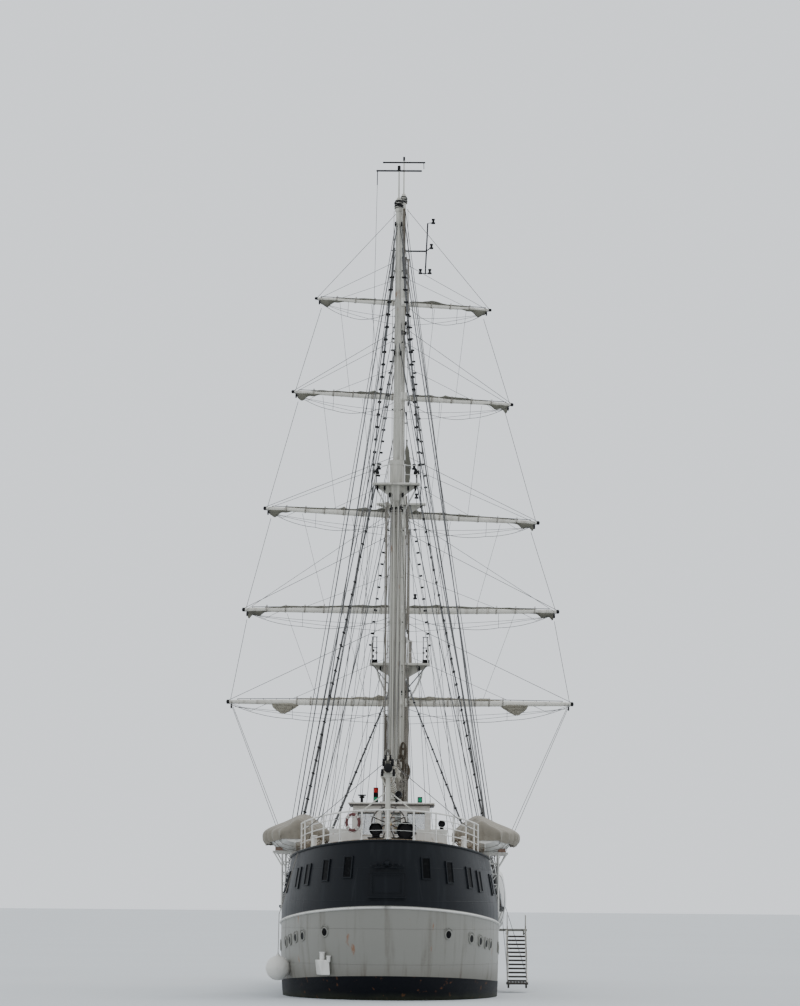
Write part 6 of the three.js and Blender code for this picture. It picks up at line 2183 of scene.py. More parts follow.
    def cradle(self) -> None:
        """Two latticed frames of tube and channel that carry the boat outboard of the poop."""
        shape, pads = Shape(), Shape()
        for y in (-12.2, -9.4):
            foot = poop_at(y)
            top = self.keel_z - 0.05
            low, high = sorted((self.side * 2.55, self.side * 4.7))
            shape.block((low, y - 0.06, self.keel_z - 0.10), (high, y + 0.06, self.keel_z - 0.075))
            shape.block((low, y - 0.012, self.keel_z - 0.10), (high, y + 0.012, self.keel_z - 0.005))
            shape.block((low, y - 0.06, self.keel_z - 0.025), (high, y + 0.06, self.keel_z - 0.003))
            for x in (2.6, 2.67):
                self.frame_bar(shape, ((x, foot - 0.02), (x, top)), y, 0.035)
            for x in (3.95, 4.31):
                self.frame_bar(shape, ((x, 3.37), (x, top)), y, 0.042)
            z = 3.6
            while z < top - 0.3:
                self.frame_bar(shape, ((3.95, z), (4.31, z)), y, 0.022)
                self.frame_bar(shape, ((3.95, z), (4.31, z + 0.42)), y, 0.016)
                z += 0.42
            self.frame_bar(shape, ((4.31, 5.1), (4.66, top)), y, 0.028)
            for x, across in ((4.30, 0.55), (2.90, -0.85)):
                low_x, high_x = sorted((self.side * x, self.side * (x + 0.30)))
                at = (y - self.aft_y) / (self.fore_y - self.aft_y)
                _, half, keel = self.section(at)
                reach = (abs(across) + 0.15) / half
                share = 0.0
                while curve(BOAT_SECTION, share)[0] < reach and share < 0.98:
                    share += 0.02
                top_z = min(
                    mix(keel, self.gunwale_z, curve(BOAT_SECTION, share)[1]) - 0.02, self.keel_z + 0.35
                )
                pads.block(
                    (low_x, y - 0.06, self.keel_z - 0.01), (high_x, y + 0.06, max(top_z, self.keel_z + 0.05))
                )
            for x in (2.62, 4.13):
                plate_z = foot if x < 3 else 3.35
                shape.block(
                    (self.side * x - 0.14, y - 0.09, plate_z - 0.005),
                    (self.side * x + 0.14, y + 0.09, plate_z + 0.03)
                )
                for step_x in (-0.10, 0.10):
                    for step_y in (-0.06, 0.06):
                        centre = Vector((self.side * x + step_x, y + step_y, plate_z + 0.035))
                        shape.turned([(0.018, -0.02), (0.018, 0.012), (0.010, 0.02)], centre, UP, 6)
        rail_x = self.side * 2.62
        shape.tube([(rail_x, -12.2, self.keel_z - 0.055), (rail_x, -9.4, self.keel_z - 0.055)], 0.035, 8)
        piece = make_piece(f"boat_{self.label}_cradle", shape, WHITE_STEEL, Slot.WHITE_STEEL)
        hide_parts(f"boat_cradle_{self.label}")
        make_piece(f"boat_{self.label}_chocks", pads, VARNISH, Slot.WHITE_STEEL, bevel=0.008)

    def build(self) -> None:
        """Make the boat and what belongs to it."""
        hull = self.hull()
        self.cover()
        self.gripes()
        self.cradle()


# Stern gear


@dataclass(frozen=True)
class SternRail:
    """Tubular rail round the stern, its stanchions, the boom crutch and the lifebuoy's hook."""

    height: float = 1.1
    bars: tuple[float, ...] = (0.32, 0.6, 0.86)
    radius: float = 0.032
    inset: float = 0.14
    end_y: float = -13.9
    level: float = 6.0
    spacing: float = 1.02
    bar_end_y: float = -17.4

    def point(self, share: float, height: float) -> Vector:
        """A starboard point of the rail's line, at a height above the poop's planks."""
        x, y = level_at(self.level).point(share)
        inward = outward_at(share, self.level) * self.inset
        place = Vector((x, y, 0)) - inward
        return Vector((max(place.x, 0.0), place.y, poop_at(place.y) + height))

    def end_share(self) -> float:
        """The share of the side where the rail ends."""
        low, high = 0.0, 1.5
        for _ in range(40):
            middle = (low + high) / 2
            if self.point(middle, 0).y < self.end_y:
                low = middle
            else:
                high = middle
        return (low + high) / 2

    def build(self) -> None:
        """Make the rail's bars and posts, the crutch and the hook."""
        end = self.end_share()
        shape = Shape()
        count = 44
        shares = [end * k / count for k in range(count + 1)]
        for height in (self.height, *self.bars):
            half = [self.point(share, height) for share in shares]
            if height == self.height:
                shape.tube([mirrored(point, -1) for point in reversed(half[1:])] + half, self.radius, 10)
                continue
            outer = [point for point in half if point.y > self.bar_end_y]
            for side in (-1, 1):
                shape.tube([mirrored(point, side) for point in outer], self.radius * 0.6, 10)
            inner = [point for point in half if point.y <= self.bar_end_y + 0.3]
            shape.tube([mirrored(point, -1) for point in reversed(inner[1:])] + inner, 0.008, 6)
        walked, last = 0.0, self.point(0, 0)
        posts = [0.0]
        for share in shares[1:]:
            point = self.point(share, 0)
            walked += (point - last).length
            last = point
            if walked > self.spacing:
                posts.append(share)
                walked = 0.0
        posts.append(end)
        for share in posts:
            for side in (-1, 1) if share else (1,):
                foot, top = (mirrored(self.point(share, height), side) for height in (-0.02, self.height))
                shape.tube([foot, top], self.radius, 10)
                shape.turned([(0.07, 0.0), (0.07, 0.03), (0.045, 0.05), (0.036, 0.09)], foot, UP, 12)
                for height in (self.height, *self.bars):
                    shape.ball(mirrored(self.point(share, height), side), self.radius * 1.35, 8)
        crutch = Shape()
        self.crutch(crutch)
        make_piece("boom_crutch", crutch, MAST, Slot.WHITE_STEEL)
        shape.tube([(-1.262, -18.255, 6.92), (-1.382, -18.415, 6.92), (-1.39, -18.425, 6.97)], 0.022, 6)
        piece = make_piece("stern_guard_rail", shape, WHITE_STEEL, Slot.WHITE_STEEL)
        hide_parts("stern_rail")

    def crutch(self, shape: Shape) -> None:
        """Add the post and the padded horns that the boom can rest in."""
        y, saddle = -18.5, 8.60
        profile = [(0.16, 0.0), (0.16, 0.04), (0.10, 0.07), (0.095, saddle - 0.16 - 6.0)]
        shape.turned(profile, (0, y, poop_at(y)), UP, 16)
        shape.block((-0.3, y - 0.1, saddle - 0.16), (0.3, y + 0.1, saddle - 0.03))
        shape.block((-0.27, y - 0.085, saddle - 0.05), (0.27, y + 0.085, saddle - 0.003))
        for side in (-1, 1):
            brace = [Vector((side * 0.26, y, saddle - 0.15)), Vector((side * 0.10, y, saddle - 0.5))]
            shape.tube(brace, 0.028, 8)
            stay = [
                Vector((side * 0.05, y, saddle - 0.7)),
                self.point(0, self.height) + Vector((side * 0.9, 0.06, 0))
            ]
            shape.tube(stay, 0.024, 8)


@dataclass(frozen=True)
class SternGear:
    """Wheel, binnacle, lifebuoy, cowls and lockers near the stern."""

    wheel_y: float = -16.55
    wheel_z: float = 6.72
    rim: float = 0.66
    # x, height and radius of each big cowl's mouth
    cowls: tuple[Triple, ...] = ((-0.46, 6.47, 0.25), (0.68, 6.42, 0.33))
    cowl_y: float = -17.95
    # x, y, height and radius
    small_cowl: tuple[float, float, float, float] = (2.05, -16.0, 6.72, 0.13)

    def wheel(self) -> None:
        """The steering wheel with eight turned spokes, thin rings beside its rim and a brass hub."""
        wood, brass = Shape(), Shape()
        centre = Vector((0, self.wheel_y, self.wheel_z))

        def at(radius: float, angle: float, forward: float = 0.0) -> Vector:
            """A point of the wheel."""
            return centre + Vector((radius * math.cos(angle), forward, radius * math.sin(angle)))

        turns = full_turn(48)
        for forward, size in ((-0.018, 0.031), (0.018, 0.031)):
            wood.tube([at(self.rim, a, forward) for a in turns], size, 10, loop=True)
        for forward in (-0.048, 0.048):
            wood.tube([at(self.rim, a, forward) for a in turns], 0.010, 6, loop=True)
        for k in range(8):
            angle = math.pi * (k + 0.5) / 4
            along = at(1, angle) - centre
            profile = [
                (0.026, 0.11), (0.022, 0.16), (0.032, 0.22), (0.034, 0.30), (0.024, 0.36), (0.021, 0.44),
                (0.030, 0.50), (0.026, 0.60), (0.024, 0.70), (0.020, 0.715), (0.016, 0.725),
                (0.021, 0.738), (0.022, 0.752), (0.015, 0.762), (0.0, 0.765),
            ]
            wood.turned(profile, centre, along, 10)
        hub = [
            (0.0, -0.10), (0.05, -0.10), (0.07, -0.085), (0.115, -0.075), (0.12, 0.05), (0.06, 0.065),
            (0.04, 0.075)
        ]
        brass.turned([*hub, (0.04, 0.29), (0.0, 0.29)], centre, (0, 1, 0), 20)
        piece = make_piece("steering_wheel_wood", wood, DARK_TEAK, Slot.VARNISH, Body.WHEEL)
        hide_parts("steering_wheel")
        make_piece("steering_wheel_brass", brass, BRONZE, Slot.BRONZE, Body.WHEEL)

    def stand_trim(self) -> None:
        """Panels and cap of the wheel's stand, and a binnacle with its brass hood ahead of it."""
        shape, brass = Shape(), Shape()
        shape.block((-0.23, -16.44, 6.94), (0.23, -15.98, 6.985))
        for side in (-1, 1):
            shape.block((side * 0.2 - 0.012, -16.36, 6.1), (side * 0.2 + 0.012, -16.06, 6.8))
        foot = (0, -15.3, poop_at(-15.3))
        shape.turned(
            [(0.26, 0.0), (0.26, 0.06), (0.19, 0.10), (0.17, 0.86), (0.21, 0.92), (0.21, 0.98)], foot, UP, 8
        )
        hood = [
            (0.205, 0.985), (0.21, 1.02), (0.20, 1.12), (0.16, 1.24), (0.09, 1.32), (0.05, 1.34),
            (0.05, 1.40), (0.0, 1.42)
        ]
        brass.turned(hood, foot, UP, 20)
        for side in (-1, 1):
            centre = Vector(foot) + Vector((side * 0.36, 0, 0.80))
            brass.ball(centre, 0.085, 14)
            brass.tube([centre, centre + Vector((-side * 0.2, 0, 0))], 0.02, 8)
        make_piece("wheel_stand_trim", shape, VARNISH, Slot.VARNISH, bevel=0.008)
        make_piece("binnacle_hood", brass, BRONZE, Slot.BRONZE)

    def lifebuoy(self) -> None:
        """The ring with its bands, and the grab line tied round it."""
        out_x, out_y = BUOY_OUTWARD
        centre = Vector(BUOY_CENTRE)
        sideways = Vector((-out_y, out_x, 0))

        def at(radius: float, angle: float, away: float) -> Vector:
            """A point of the ring, or away from its plane."""
            ring = sideways * (radius * math.cos(angle)) + Vector((0, 0, radius * math.sin(angle)))
            return centre + ring + Vector((out_x, out_y, 0)) * away

        rings = []
        for angle in full_turn(48):
            rings.append([
                at(0.305 + 0.06 * math.cos(b), angle, 0.052 * math.sin(b)) for b in full_turn(14)
            ])
        piece = make_piece("lifebuoy_ring", Shape().rings(rings, loop=True), BUOY_BANDS, Slot.BUOY_PAINT)
        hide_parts("lifebuoy")
        rope = Shape()
        for k in range(4):
            start = math.pi / 4 + k * math.pi / 2
            loop = [
                at(0.372 + 0.03 * math.sin(math.pi * j / 8), start + j * math.pi / 16, 0.012)
                for j in range(9)
            ]
            rope.tube(loop, 0.009, 6)
            tie = [at(0.305 + 0.066 * math.cos(b), start, 0.058 * math.sin(b)) for b in full_turn(12)]
            rope.tube(tie, 0.012, 6, loop=True)
        make_piece("lifebuoy_grab_line", rope, ROPE_PALE, Slot.BUOY_PAINT)

    def cowl_heads(self) -> None:
        """Two cowl ventilators that face aft, on their plinth."""
        shape = Shape()
        shape.block((-0.75, -18.15, poop_at(-17.9) - 0.03), (0.98, -17.75, 6.16))
        shape.block((-0.78, -18.18, 6.12), (1.01, -17.72, 6.165))
        for x, z, radius in self.cowls:
            centre = Vector((x, self.cowl_y, z))
            foot = Vector((x, self.cowl_y + radius * 0.35, 6.14))
            shape.turned([(radius * 0.78, 0.0), (radius * 0.78, 0.03), (radius * 0.60, 0.05)], foot, UP, 24)
            path, sizes = [], []
            for k in range(9):
                turn = math.pi / 2 * k / 8
                bend = radius * 0.85
                path.append(
                    Vector((x, foot.y - bend * (1 - math.cos(turn)), centre.z - bend + bend * math.sin(turn)))
                )
                sizes.append(radius * mix(0.60, 0.86, (k / 8) ** 1.6))
            shape.tube([foot, *path], [radius * 0.60, *sizes], 24)
            mouth = Vector((x, path[-1].y, centre.z))
            lip = [
                (radius * 0.84, -0.02), (radius * 0.93, 0.07), (radius * 1.0, 0.14), (radius * 1.035, 0.165),
                (radius * 1.03, 0.185), (radius * 0.98, 0.18), (radius * 0.88, 0.10), (radius * 0.72, -0.04),
                (radius * 0.45, -0.13),
            ]
            shape.turned([*lip, (0.0, -0.15)], mouth, (0, -1, 0), 28)
        piece = make_piece("stern_cowls", shape, BLACK, Slot.BLACK_PAINT, crease=50)
        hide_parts("stern_vents")
        small = Shape()
        x, y, z, radius = self.small_cowl
        base_z = poop_at(y)
        small.turned([(radius, 0.0), (radius, 0.03), (radius * 0.62, 0.05)], (x, y, base_z), UP, 16)
        small.tube(
            [(x, y, base_z), (x, y, z - 0.06), (x, y - 0.03, z), (x, y - 0.09, z + 0.02)], radius * 0.62, 16
        )
        mouth = [
            (radius * 0.6, -0.08), (radius, 0.0), (radius * 1.1, 0.09), (radius * 0.9, 0.05), (0.0, -0.05)
        ]
        small.turned(mouth, (x, y - 0.08, z + 0.02), (0, -1, 0), 18)
        make_piece("locker_side_cowl", small, BLACK, Slot.BLACK_PAINT, crease=50)

    def locker_trim(self) -> None:
        """Hasps, plinths and battens of the two lockers, and pads on their lids."""
        for side, label, lid in ((-1, "port", Body.LID_PORT), (1, "starboard", Body.LID_STARBOARD)):
            shape, lids = Shape(), Shape()
            low, high = sorted((side * 1.08, side * 2.27))
            for share in (0.02, 0.26, 0.5, 0.74, 0.98):
                x = mix(low + 0.03, high - 0.03, share)
                shape.block((x - 0.035, -16.972, 6.02), (x + 0.035, -16.95, 6.40))
            shape.block((low - 0.012, -16.965, 5.97), (high + 0.012, -16.335, 6.04))
            shape.block((low - 0.01, -16.962, 6.36), (high + 0.01, -16.95, 6.41))
            make_piece(f"locker_{label}_battens", shape, WHITE_STEEL, Slot.WHITE_STEEL, bevel=0.004)
            lids.block((low + 0.03, -16.92, 6.492), (high - 0.03, -16.40, 6.512))
            for x in (low + 0.25, high - 0.25):
                lids.block((x - 0.03, -16.982, 6.40), (x + 0.03, -16.966, 6.47))
            make_piece(f"locker_{label}_lid_trim", lids, WHITE_STEEL, Slot.WHITE_STEEL, lid, bevel=0.004)

    def build(self) -> None:
        """Make the gear at the stern."""
        self.wheel()
        self.stand_trim()
        self.lifebuoy()
        self.cowl_heads()
        self.locker_trim()


# Wheelhouse


@dataclass(frozen=True)
class PanePlan:
    """One window of the wheelhouse: its wall, its place along it and its half width."""

    wall: str
    at: float
    half: float


@dataclass(frozen=True)
class Wheelhouse:
    """Windows, door furniture and roof gear of the wheelhouse."""

    half: float = 1.55
    aft_y: float = -10.9
    fore_y: float = -8.3
    wall: float = 0.08
    foot_z: float = 5.2
    low_z: float = 6.40
    high_z: float = 7.33
    top_z: float = 7.575
    panes: tuple[PanePlan, ...] = (
        PanePlan("fore", -1.0, 0.38), PanePlan("fore", 0.0, 0.42), PanePlan("fore", 1.0, 0.38),
        PanePlan("aft", -1.0, 0.38), PanePlan("aft", 0.0, 0.42), PanePlan("aft", 1.0, 0.38),
        PanePlan("starboard", -10.28, 0.42), PanePlan("starboard", -9.03, 0.52),
        PanePlan("port", -10.05, 0.62),
    )
    # aft and fore edges, sill and head
    doorway: tuple[float, float, float, float] = (-9.13, -8.43, 5.45, 7.34)

    def on_wall(self, wall: str, at: float, out: float, z: float) -> Vector:
        """A point beside a wall, out from its face."""
        if wall == "fore":
            return Vector((at, self.fore_y + out, z))
        if wall == "aft":
            return Vector((at, self.aft_y - out, z))
        side = 1 if wall == "starboard" else -1
        return Vector((side * (self.half + out), at, z))

    def window(self, frame_shape: Shape, glass: Shape, plan: PanePlan) -> None:
        """Add one window's frame and pane."""
        corners = ((-1, self.low_z), (1, self.low_z), (1, self.high_z), (-1, self.high_z))
        for (side_a, z_a), (side_b, z_b) in zip(corners, corners[1:] + corners[:1]):
            start = self.on_wall(plan.wall, plan.at + side_a * plan.half, 0.012, z_a)
            end = self.on_wall(plan.wall, plan.at + side_b * plan.half, 0.012, z_b)
            frame_shape.tube([start, end], 0.028, 4)
        outline = [
            self.on_wall(plan.wall, plan.at + side * (plan.half - 0.005), -0.03, z) for side, z in corners
        ]
        through = self.on_wall(plan.wall, 0, -0.012, 0) - self.on_wall(plan.wall, 0, 0, 0)
        glass.plate(outline, through)

    def wall_block(self, shape: Shape, wall: str, ends: Pair, low: float, high: float) -> None:
        """Add a part of a wall between two places along it and two heights."""
        near, far = self.on_wall(wall, ends[0], 0.0, low), self.on_wall(wall, ends[1], -self.wall, high)
        corners = [tuple(pick(a, b) for a, b in zip(near, far)) for pick in (min, max)]
        shape.block(*corners)

    def walls(self) -> None:
        """Plated walls with real window openings, a doorway and a dark console."""
        shape, inside = Shape(), Shape()
        door_aft, door_fore, sill, head = self.doorway
        for wall in ("fore", "aft", "starboard", "port"):
            low, high = self.aft_y + self.wall, self.fore_y - self.wall
            if wall in ("fore", "aft"):
                low, high = -self.half, self.half
            gaps = sorted(
                (plan.at - plan.half, plan.at + plan.half, self.low_z, self.high_z)
                for plan in self.panes
                if plan.wall == wall
            )
            if wall == "port":
                gaps.append((door_aft, door_fore, sill, head))
            edge = low
            for gap_low, gap_high, gap_sill, gap_head in gaps:
                self.wall_block(shape, wall, (edge, gap_low), self.foot_z, self.top_z)
                self.wall_block(shape, wall, (gap_low, gap_high), self.foot_z, gap_sill)
                self.wall_block(shape, wall, (gap_low, gap_high), gap_head, self.top_z)
                edge = gap_high
            self.wall_block(shape, wall, (edge, high), self.foot_z, self.top_z)
        piece = make_piece("wheelhouse_walls", shape, WHITE_STEEL, Slot.WHITE_STEEL)
        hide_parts("wheelhouse")
        inside.block((-1.05, -8.86, 5.43), (1.45, -8.40, 6.32))
        inside.block((-1.05, -8.98, 6.28), (1.45, -8.40, 6.34))
        for x in (-0.6, 0.1, 0.8):
            inside.block((x - 0.2, -8.7, 6.34), (x + 0.2, -8.55, 6.56))
        make_piece("wheelhouse_console", inside, VARNISH, Slot.VARNISH, bevel=0.01)

    def build(self) -> None:
        """Make the walls, the windows, the door's fittings, the roof and what stands on it."""
        self.walls()
        frames, glass = Shape(), Shape()
        for plan in self.panes:
            self.window(frames, glass, plan)
        make_piece("wheelhouse_window_frames", frames, WHITE_STEEL, Slot.WHITE_STEEL, bevel=0.006)
        make_piece("wheelhouse_panes", glass, CLEAR_PANE, Slot.BLACK_PAINT)
        self.door()
        self.roof()

    def door(self) -> None:
        """A glazed light, sunk panel lines and a brass handle on the door."""
        glass, trim, brass = Shape(), Shape(), Shape()
        glass.block((-1.545, -8.95, 6.6), (-1.533, -8.61, 7.15))
        bars = (
            (-8.99, -8.95, 6.56, 7.19), (-8.61, -8.57, 6.56, 7.19), (-8.99, -8.57, 6.56, 6.6),
            (-8.99, -8.57, 7.15, 7.19),
        )
        for low_y, high_y, low_z, high_z in bars:
            trim.block((-1.575, low_y, low_z), (-1.558, high_y, high_z))
        trim.block((-1.573, -9.02, 5.62), (-1.558, -8.54, 6.44))
        brass.turned(
            [(0.03, 0.0), (0.03, 0.012), (0.012, 0.02), (0.012, 0.06)], (-1.556, -9.04, 6.42), (-1, 0, 0), 12
        )
        brass.tube([(-1.61, -9.04, 6.42), (-1.612, -8.93, 6.42)], 0.011, 8)
        make_piece("wheelhouse_door_light", glass, PANE, Slot.BLACK_PAINT, Body.DOOR)
        make_piece("wheelhouse_door_panels", trim, VARNISH, Slot.VARNISH, Body.DOOR, bevel=0.004)
        make_piece("wheelhouse_door_handle", brass, BRONZE, Slot.BRONZE, Body.DOOR)

    def roof(self) -> None:
        """A lining under the roof, edge moulding, handrails, a searchlight, side lights on their boards and a
        small vent.
        """
        shape, black, lenses, green = Shape(), Shape(), Shape(), Shape()
        edge = [(-1.76, -11.15), (1.76, -11.15), (1.76, -8.03), (-1.76, -8.03)]
        shape.tube([(x * 0.985, y, 7.672) for x, y in edge], 0.028, 8, loop=True)
        shape.block((-1.73, -11.13, 7.632), (1.73, -8.05, 7.70))
        soffit = Shape()
        soffit.block((-1.70, -11.10, 7.585), (1.70, -8.08, 7.632))
        for y in spread(-11.0, -8.2, 6):
            soffit.block((-1.71, y - 0.02, 7.578), (1.71, y + 0.02, 7.59))
        lining = make_piece("wheelhouse_roof_lining", soffit, DARK_TEAK, Slot.WHITE_STEEL)
        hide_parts("wheelhouse_roof")
        for side in (-1, 1):
            rail = [Vector((side * 1.55, y, 7.78)) for y in (-10.9, -8.3)]
            shape.tube(rail, 0.018, 8)
            for y in (-10.85, -10.0, -9.2, -8.35):
                shape.tube([(side * 1.55, y, 7.69), (side * 1.55, y, 7.78)], 0.014, 6)
        shape.block((-0.5, -9.5, 7.70), (0.62, -8.7, 7.79))
        black.turned([(0.09, 0.0), (0.09, 0.02), (0.03, 0.04), (0.03, 0.34)], (0.25, -8.5, 7.70), UP, 12)
        black.turned(
            [(0.0, -0.14), (0.12, -0.12), (0.15, 0.1), (0.16, 0.13), (0.14, 0.12), (0.0, 0.10)],
            (0.25, -8.5, 8.12), (0, 1, -0.15), 18
        )
        for x, z in ((-1.2, 7.98), (0.2, 7.98)):
            black.turned(
                [(0.05, 0.0), (0.05, 0.18), (0.11, 0.2), (0.11, 0.26), (0.0, 0.29)], (x, -10.4, 7.70), UP, 14
            )
            black.block((x - 0.16, -10.6, z), (x + 0.16, -10.3, z + 0.05))
        for x, top, low, tint in (
            (-0.66, 8.32, 8.14, lenses), (-0.66, 7.96, 7.80, green), (1.14, 7.95, 7.78, green)
        ):
            black.block((x - 0.085, -9.66, low - 0.03), (x + 0.085, -9.48, low))
            black.block((x - 0.085, -9.66, top), (x + 0.085, -9.48, top + 0.03))
            black.block((x - 0.10, -9.50, 7.70), (x + 0.10, -9.47, top + 0.03))
            profile = [(0.0, 0.0), (0.066, 0.0), (0.072, 0.3), (0.072, 0.7), (0.066, 1.0), (0.0, 1.0)]
            tint.turned([(r, up * (top - low)) for r, up in profile], (x, -9.58, low), UP, 16)
        make_piece("wheelhouse_roof_trim", shape, WHITE_STEEL, Slot.WHITE_STEEL, bevel=0.006)
        make_piece("wheelhouse_roof_lamps", black, BLACK, Slot.BLACK_PAINT, bevel=0.004)
        make_piece("red_side_light", lenses, RED_LENS, Slot.BLACK_PAINT)
        make_piece("green_side_lights", green, GREEN_LENS, Slot.BLACK_PAINT)


def build_poop_gear() -> None:
    """Make what stands on the poop."""
    ShipsBoat(-1, seed=5).build()
    ShipsBoat(1, seed=8).build()
    SternRail().build()
    SternGear().build()
    Wheelhouse().build()


# Masts and boom


@dataclass(frozen=True)
class MainBoom:
    """Furled main sail, gaskets, bands and tackle of the main boom."""

    heel: Pair = (-5.4, 8.3)
    end: Pair = (-19.1, 8.78)
    radius: float = 0.15
    # place along the ship and size of the rolled sail
    roll: tuple[Pair, ...] = (
        (-18.8, 0.08), (-18.3, 0.17), (-17.0, 0.22), (-13.0, 0.28), (-9.0, 0.33), (-6.8, 0.30), (-6.1, 0.12),
    )

    def axis(self, y: float) -> float:
        """Height of the boom's middle line."""
        return mix(self.heel[1], self.end[1], (y - self.heel[0]) / (self.end[0] - self.heel[0]))

    def sail(self) -> None:
        """The main sail flaked down on the boom, with its folds, and the ties round it."""
        rng = random.Random(31)
        shape, ties = Shape(), Shape()
        count = 110
        phases = [rng.uniform(0, 6) for _ in range(4)]
        rings = []
        for y in spread(-18.75, -6.12, count):
            size = curve(self.roll, y)[0]
            size *= 1 + 0.10 * math.sin(2.1 * y + phases[0]) + 0.06 * math.sin(5.3 * y + phases[1])
            pinch = 1 - 0.16 * max(0.0, math.cos(2 * math.pi * (y + 6.5) / 1.15)) ** 6
            middle = self.axis(y) + self.radius + 0.86 * size
            ring = []
            for a in full_turn(30):
                broad = math.sin(7 * a + 1.3 * y + phases[2])
                narrow = math.sin(11 * a - 2.2 * y + phases[3])
                fold = 1 + 0.10 * broad + 0.06 * narrow
                across = 0.84 * size * math.cos(a) * fold * pinch
                up = 0.98 * size * math.sin(a) * (1 + (fold - 1) * 0.6) * pinch
                ring.append(Vector((across, y, middle + up)))
            rings.append(ring)
        shape.rings(rings)
        piece = make_piece("main_furled", shape, SAIL_PALE, Slot.SAILCLOTH, Body.BOOM, crease=60)
        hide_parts("main_sail")
        for k in range(11):
            y = -6.5 - 1.15 * k
            size = curve(self.roll, y)[0] * 0.9
            low, high = self.axis(y) - self.radius - 0.02, self.axis(y) + self.radius + 1.84 * size
            middle, tall = (low + high) / 2, (high - low) / 2
            for shift in (-0.025, 0.025):
                loop = [
                    Vector((
                        max(0.8 * size, self.radius + 0.015) * math.cos(a), y + shift,
                        middle + tall * math.sin(a)
                    ))
                    for a in full_turn(18)
                ]
                ties.tube(loop, 0.014, 6, loop=True)
        make_piece("main_gaskets", ties, ROPE_PALE, Slot.SAILCLOTH, Body.BOOM)

    def fittings(self) -> None:
        """Bands, cleats, the end cap with its blocks, and the lines that swing with the boom."""
        white, black, rope = Shape(), Shape(), Shape()
        along = (Vector((0, self.end[0], self.end[1])) - Vector((0, self.heel[0], self.heel[1]))).normalized()
        for y in (-6.2, -7.4, -9.6, -12.0, -14.5, -17.0, -18.4):
            white.turned(
                [(self.radius + 0.016, -0.05), (self.radius + 0.016, 0.05)], (0, y, self.axis(y)), along, 20
            )
        tip = Vector((0, self.end[0], self.end[1]))
        black.turned(
            [(self.radius + 0.018, -0.28), (self.radius + 0.02, 0.0), (self.radius * 0.8, 0.05), (0.0, 0.07)],
            tip, along, 20
        )
        for side in (-1, 1):
            add_block(black, Vector((side * 0.17, -18.95, 8.98)), 0.12)
            add_block(black, Vector((side * 0.22, -18.85, 8.60)), 0.12)
            add_block(black, Vector((side * 0.09, -18.9, 9.16)), 0.10)
            for y in (-11.2, -15.4):
                black.tube(
                    [(side * 0.17, y - 0.14, self.axis(y)), (side * 0.17, y + 0.14, self.axis(y))], 0.02, 6
                )
                black.tube([(side * 0.12, y, self.axis(y)), (side * 0.17, y, self.axis(y))], 0.022, 6)
            rope.tube([(side * 0.17, -18.95, 9.05), (side * 0.16, -5.55, 20.9)], 0.014, 5)
            for y, top in ((-16.2, 13.8), (-12.2, 14.6), (-8.6, 15.6)):
                rope.tube([(side * 0.16, y, self.axis(y) - 0.05), (side * 0.22, -5.75, top)], 0.009, 5)
        add_block(black, Vector((0.0, -17.3, 8.46)), 0.13)
        for angle in full_turn(5):
            centre = Vector((0.10 * math.cos(angle), -18.98, 9.02 + 0.09 * math.sin(angle)))
            rope.tube([centre, centre + Vector((0.03, 0.02, -0.34))], 0.02, 5)
        make_piece("boom_bands", white, SPAR, Slot.SPAR_PAINT, Body.BOOM)
        make_piece("boom_blocks", black, BLACK, Slot.BLACK_PAINT, Body.BOOM)
        make_piece("boom_lifts", rope, ROPE_DARK, Slot.WIRE, Body.BOOM)

    def tackle(self) -> None:
        """Guys to the quarters and the main sheet, which stretch between the boom and the ship."""
        shape = Shape()
        for side in (-1, 1):
            top, low = Vector((side * 0.2, -18.9, 8.92)), Vector((side * 3.15, -16.2, 6.55))
            shape.tube(line_points(top, low, 14), 0.014, 5)
        for x, y in ((-0.045, -17.35), (0.0, -17.25), (0.045, -17.35)):
            shape.tube(line_points((x, y, 8.34), (x, y, 6.32), 10), 0.013, 5)
        piece = make_piece("boom_tackle", shape, ROPE_DARK, Slot.WIRE, None)
        low, high = Vector((0, 0, 6.5)) * MODEL_SCALE, Vector((0, 0, 8.3)) * MODEL_SCALE
        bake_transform(piece)
        foot = Shape()
        foot.turned(
            [(0.09, 0.0), (0.09, 0.03), (0.05, 0.05), (0.04, 0.12)], (0, -17.3, poop_at(-17.3)), UP, 14
        )
        add_block(foot, Vector((0, -17.3, 6.22)), 0.13)
        make_piece("sheet_foot_block", foot, BLACK, Slot.BLACK_PAINT)

    def build(self) -> None:
        """Make the boom's furniture."""
        self.sail()
        self.fittings()
        self.tackle()


@dataclass(frozen=True)
class Lead:
    """A rail or rope that runs up a mast: its place round the mast, its ends and its radius."""

    x: float
    y: float
    low: float
    high: float
    radius: float


